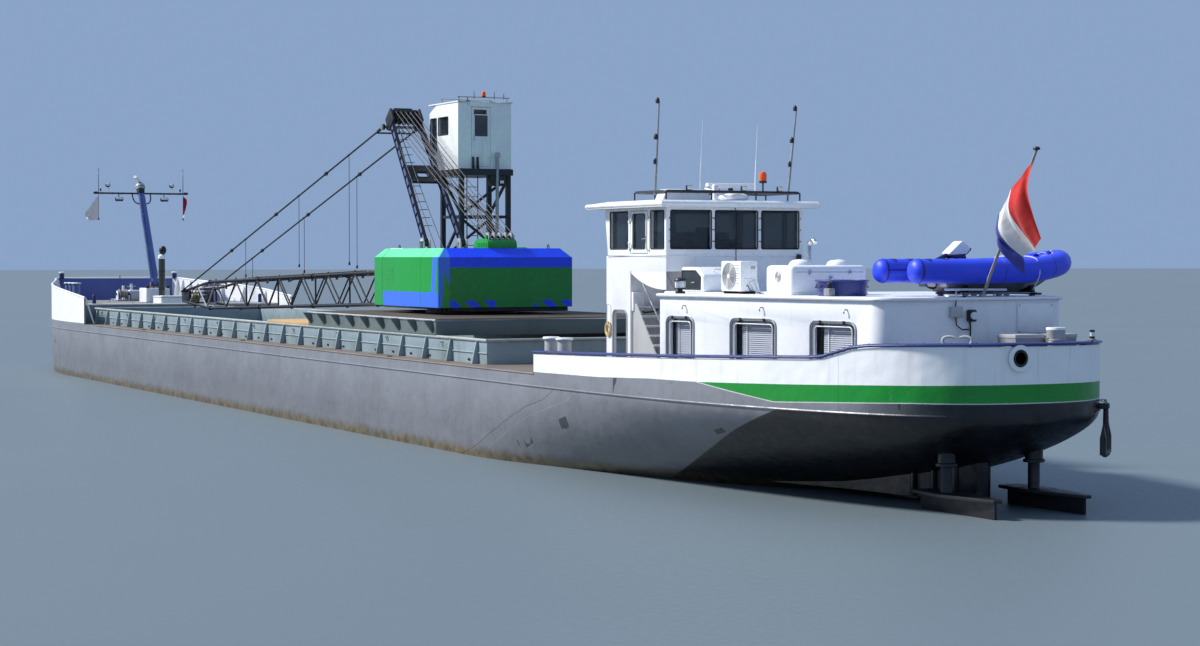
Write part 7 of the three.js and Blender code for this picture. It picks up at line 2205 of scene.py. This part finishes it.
def bow_fittings():
    """Slender posts near the bow, the vent pipe aft of the mast, and small gear on the fore deck."""
    piece = Piece("bow_fittings")
    foot = FORE_DECK + 0.002
    piece.tube([(65.5, 0.07, foot), (65.5, 0.07, 3.38)], 0.055, white, 12)
    piece.lathe([(0.03, 3.38), (0.06, 3.40), (0.06, 3.45), (0.02, 3.48)], (65.5, 0.07, 0), black)
    piece.tube([(65.2, -0.20, foot), (65.2, -0.20, 3.42)], 0.06, white, 12)
    piece.tube([(65.2, -0.04, 3.34), (65.2, -0.20, 3.30), (65.2, -0.38, 3.36)], 0.022, light_grey, 8)
    piece.lathe([(0.035, 3.42), (0.07, 3.43), (0.07, 3.45), (0.01, 3.46)], (65.2, -0.20, 0), light_grey)
    for x, y in ((65.5, 0.07), (65.2, -0.20)):
        piece.lathe([(0.11, foot), (0.11, foot + 0.015), (0.06, foot + 0.02)], (x, y, 0), white, "z", 16)
    # Vent pipe with a white collar and a dark round head
    x, y = 59.62, 0.0
    piece.lathe([(0.21, foot), (0.21, foot + 0.02), (0.135, foot + 0.03)], (x, y, 0), dark_steel, "z", 28)
    piece.rod((x, y, foot), (x, y, 4.60), 0.128, pipe_steel, 32)
    piece.lathe([(0.129, 4.50), (0.15, 4.52), (0.15, 4.62), (0.12, 4.66), (0.05, 4.68)],
                (x, y, 0), white, "z", 28)
    piece.lathe([(0.04, 4.66), (0.09, 4.70), (0.135, 4.78), (0.145, 4.86), (0.13, 4.94), (0.08, 5.005),
                 (0.01, 5.02)], (x, y - 0.04, 0), black, "z", 24)
    for z in (3.3, 4.0):
        piece.lathe([(0.129, z - 0.02), (0.136, z - 0.02), (0.136, z + 0.02), (0.129, z + 0.02)], (x, y, 0),
                    dark_steel, "z", 28)
    # Pad eyes
    for ex, ey in ((58.0, 1.6), (58.0, -1.6), (62.9, 1.3), (62.9, -1.3)):
        eye = [(ex + 0.06 * math.cos(a), ey, foot + 0.07 * math.sin(a))
               for a in (math.pi * k / 10 for k in range(11))]
        piece.tube(eye, 0.014, zinc, 8)
    # Rim round the break of the deck and a step down to the hold
    piece.tube([(57.12, -3.9, foot), (57.12, 3.9, foot)], 0.03, white, 8)
    for z in (2.28, 2.52):
        piece.tube([(57.08, 2.5, z), (56.98, 2.5, z), (56.98, 2.85, z), (57.08, 2.85, z)], 0.012, zinc, 8)
    piece.make("ship")


pipe_steel = coat("vent_pipe", (0.34, 0.36, 0.32), 0.22, metal=0.85, vary=0.2, stains=0.3,
                  stain=(0.14, 0.14, 0.13), runs=0.35, run=(0.14, 0.13, 0.12))
bow_fittings()


def hatch_fittings():
    piece = Piece("bow_hatch_lid_fittings")
    for y in (-0.35, 0.35):
        piece.box((57.52, 57.60), (y - 0.03, y + 0.03), (3.05, 3.064), zinc, 0.005)
    piece.tube([(57.62, -0.11, 3.05), (57.62, -0.10, 3.085), (57.62, 0.10, 3.085), (57.62, 0.11, 3.05)],
               0.010, stainless, 8)
    piece.tube(pane("z", 3.051, (57.56, 58.58), (-0.55, 0.55), 0.06, 4), 0.010, white, 6, True)
    piece.make("bow_hatch_lid")


hatch_fittings()

# Hold: top edge of the coaming, drain slots, lashing eyes and filler caps
coaming_steel = coat("coaming_steel", (0.54, 0.61, 0.64), 0.5, vary=0.12, stains=0.5,
                     stain=(0.36, 0.38, 0.34), runs=0.45, run=(0.36, 0.24, 0.16), chips=0.6,
                     chip=(0.32, 0.17, 0.10), height=0.003)
# Lighter tone for the coaming's top edge: painted highlight where the sun falls on it, over real chips and
# stains.
coaming_top_highlight = coat("coaming_top_highlight", (0.66, 0.69, 0.68), 0.45, vary=0.1, stains=0.35, runs=0.1, chips=0.5,
                    chip=(0.36, 0.20, 0.12))


def coaming_trim():
    piece = Piece("coaming_trim")
    for side in (1, -1):
        y = side * 3.31
        piece.tube([(18.86, y, 2.605), (38.0, y, 2.605), (57.0, y, 2.605)], 0.036, coaming_top_highlight, 8)
        piece.tube([(18.86, y, 2.30), (57.0, y, 2.30)], 0.018, coaming_steel, 6)
        for k in range(30):
            x = 19.9 + 1.27 * k
            # Drain slots drawn as dark patches: painted shade in the openings.
            piece.box((x, x + 0.14), span(side, 3.30, 3.315), (2.10, 2.15), painted_shade_fill)
            if k % 3 == 1:
                piece.tube(hoop("y", (x + 0.5, side * 3.335, 2.47), 0.05, 0.05, 14), 0.012, zinc, 6, True)
    for x in (18.88, 57.0):
        piece.tube([(x, -3.31, 2.605), (x, 3.31, 2.605)], 0.036, coaming_top_highlight, 8)
    # Filler caps in the side decks
    for side in (1, -1):
        for x in (24.0, 36.5, 48.0):
            piece.lathe([(0.075, 2.042), (0.075, 2.065), (0.05, 2.072), (0.01, 2.075)], (x, side * 3.8, 0),
                        bronze, "z", 18)
    piece.make("ship")


coaming_trim()
platform_steel = coat("platform_steel", (0.37, 0.42, 0.42), 0.5, vary=0.12, stains=0.4, runs=0.4,
                      run=(0.30, 0.22, 0.16), chips=0.5, chip=(0.28, 0.16, 0.10))

# Light: a soft high sun from port and forward, a soft fill, and a pale floor at the waterline
def lighting():
    sun = bpy.data.objects.new("key", bpy.data.lights.new("key", "SUN"))
    sun.data.energy = 5.3
    sun.data.angle = math.radians(9)
    sun.data.color = (1.0, 0.965, 0.91)
    sun.rotation_euler = Vector((-0.52, -0.78, -0.86)).to_track_quat("-Z", "Y").to_euler()
    scene.collection.objects.link(sun)
    world = bpy.data.worlds.new("studio")
    scene.world = world
    world.use_nodes = True
    back = world.node_tree.nodes["Background"]
    back.inputs["Color"].default_value = (0.45, 0.65, 1.0, 1)
    back.inputs["Strength"].default_value = 0.57
    floor = bpy.data.meshes.new("floor")
    size, level = 400, SCALE * DRAUGHT
    corners = [(x * size, y * size, level) for x, y in ((-1, -1), (1, -1), (1, 1), (-1, 1))]
    floor.from_pydata(corners, [], [(0, 1, 2, 3)])
    floor_object = bpy.data.objects.new("floor", floor)
    scene.collection.objects.link(floor_object)
    graph = Graph("floor")
    tone = graph.step(graph.noise(0.05, 3), 0.3, 0.7, 0.97, 1.03)
    floor.materials.append(graph.finish(graph.mix(1.0, linear((0.40, 0.45, 0.48)), tone, "MULTIPLY"),
                                        0.5, worn=0.05))


lighting()

# Every carried-over solid: welded, shaded smooth up to its edges, and given its finish
WELD, EDGE = 0.00005, 0.004


def smoothing():
    group = bpy.data.node_groups.new("weld_and_smooth", "GeometryNodeTree")
    group.interface.new_socket("Geometry", in_out="INPUT", socket_type="NodeSocketGeometry")
    group.interface.new_socket("Geometry", in_out="OUTPUT", socket_type="NodeSocketGeometry")
    nodes, links = group.nodes, group.links
    first, last = nodes.new("NodeGroupInput"), nodes.new("NodeGroupOutput")
    weld = nodes.new("GeometryNodeMergeByDistance")
    weld.inputs["Distance"].default_value = WELD
    faces = nodes.new("GeometryNodeSetShadeSmooth")
    edges = nodes.new("GeometryNodeSetShadeSmooth")
    edges.domain = "EDGE"
    angle = nodes.new("GeometryNodeInputMeshEdgeAngle")
    sharp = nodes.new("FunctionNodeCompare")
    sharp.data_type = "FLOAT"
    sharp.operation = "GREATER_THAN"
    sharp.inputs[1].default_value = math.radians(32)
    links.new(first.outputs[0], weld.inputs["Geometry"])
    links.new(weld.outputs[0], faces.inputs["Geometry"])
    faces.inputs["Shade Smooth"].default_value = True
    links.new(faces.outputs[0], edges.inputs["Geometry"])
    links.new(angle.outputs[0], sharp.inputs[0])
    links.new(sharp.outputs[0], edges.inputs["Selection"])
    edges.inputs["Shade Smooth"].default_value = False
    links.new(edges.outputs[0], last.inputs[0])
    return group


smooth_group = smoothing()


def dress(node, material, bevel):
    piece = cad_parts[node]
    piece.data.materials.clear()
    piece.data.materials.append(material)
    if bevel:
        weld = piece.modifiers.new("weld", "WELD")
        weld.merge_threshold = WELD
        edge = piece.modifiers.new("edge", "BEVEL")
        edge.width = bevel
        edge.segments = 2
        edge.limit_method = "ANGLE"
        edge.angle_limit = math.radians(40)
        edge.use_clamp_overlap = True
    piece.modifiers.new("smooth", "NODES").node_group = smooth_group


FINISHES = {
    "hold_coaming": coaming_steel, "foredeck": fore_deck, "deckhouse_walls": shaded_white,
    "deckhouse_glass": house_glass, "deckhouse_roof": shaded_white, "wheelhouse_trunk": shaded_white,
    "stair": light_grey, "wheelhouse_window_band": white, "wheelhouse_glass": glass,
    "wheelhouse_roof": white, "wheelhouse_door": white, "name_plate": white, "bow_hatch": white,
    "bow_hatch_lid": white, "hold_boards": plywood, "propeller": bronze, "rudder_port": black,
    "rudder_starboard": black, "crane_platform": platform_steel, "slewing_ring": dark_steel,
    "turntable": black, "cab_tower": dark_steel, "crane_cab": white, "crane_cab_glass": glass,
    "crane_cab_door": shaded_white,
}
for node, material in FINISHES.items():
    dress(node, material, 0.0 if node.endswith("_glass") else EDGE)
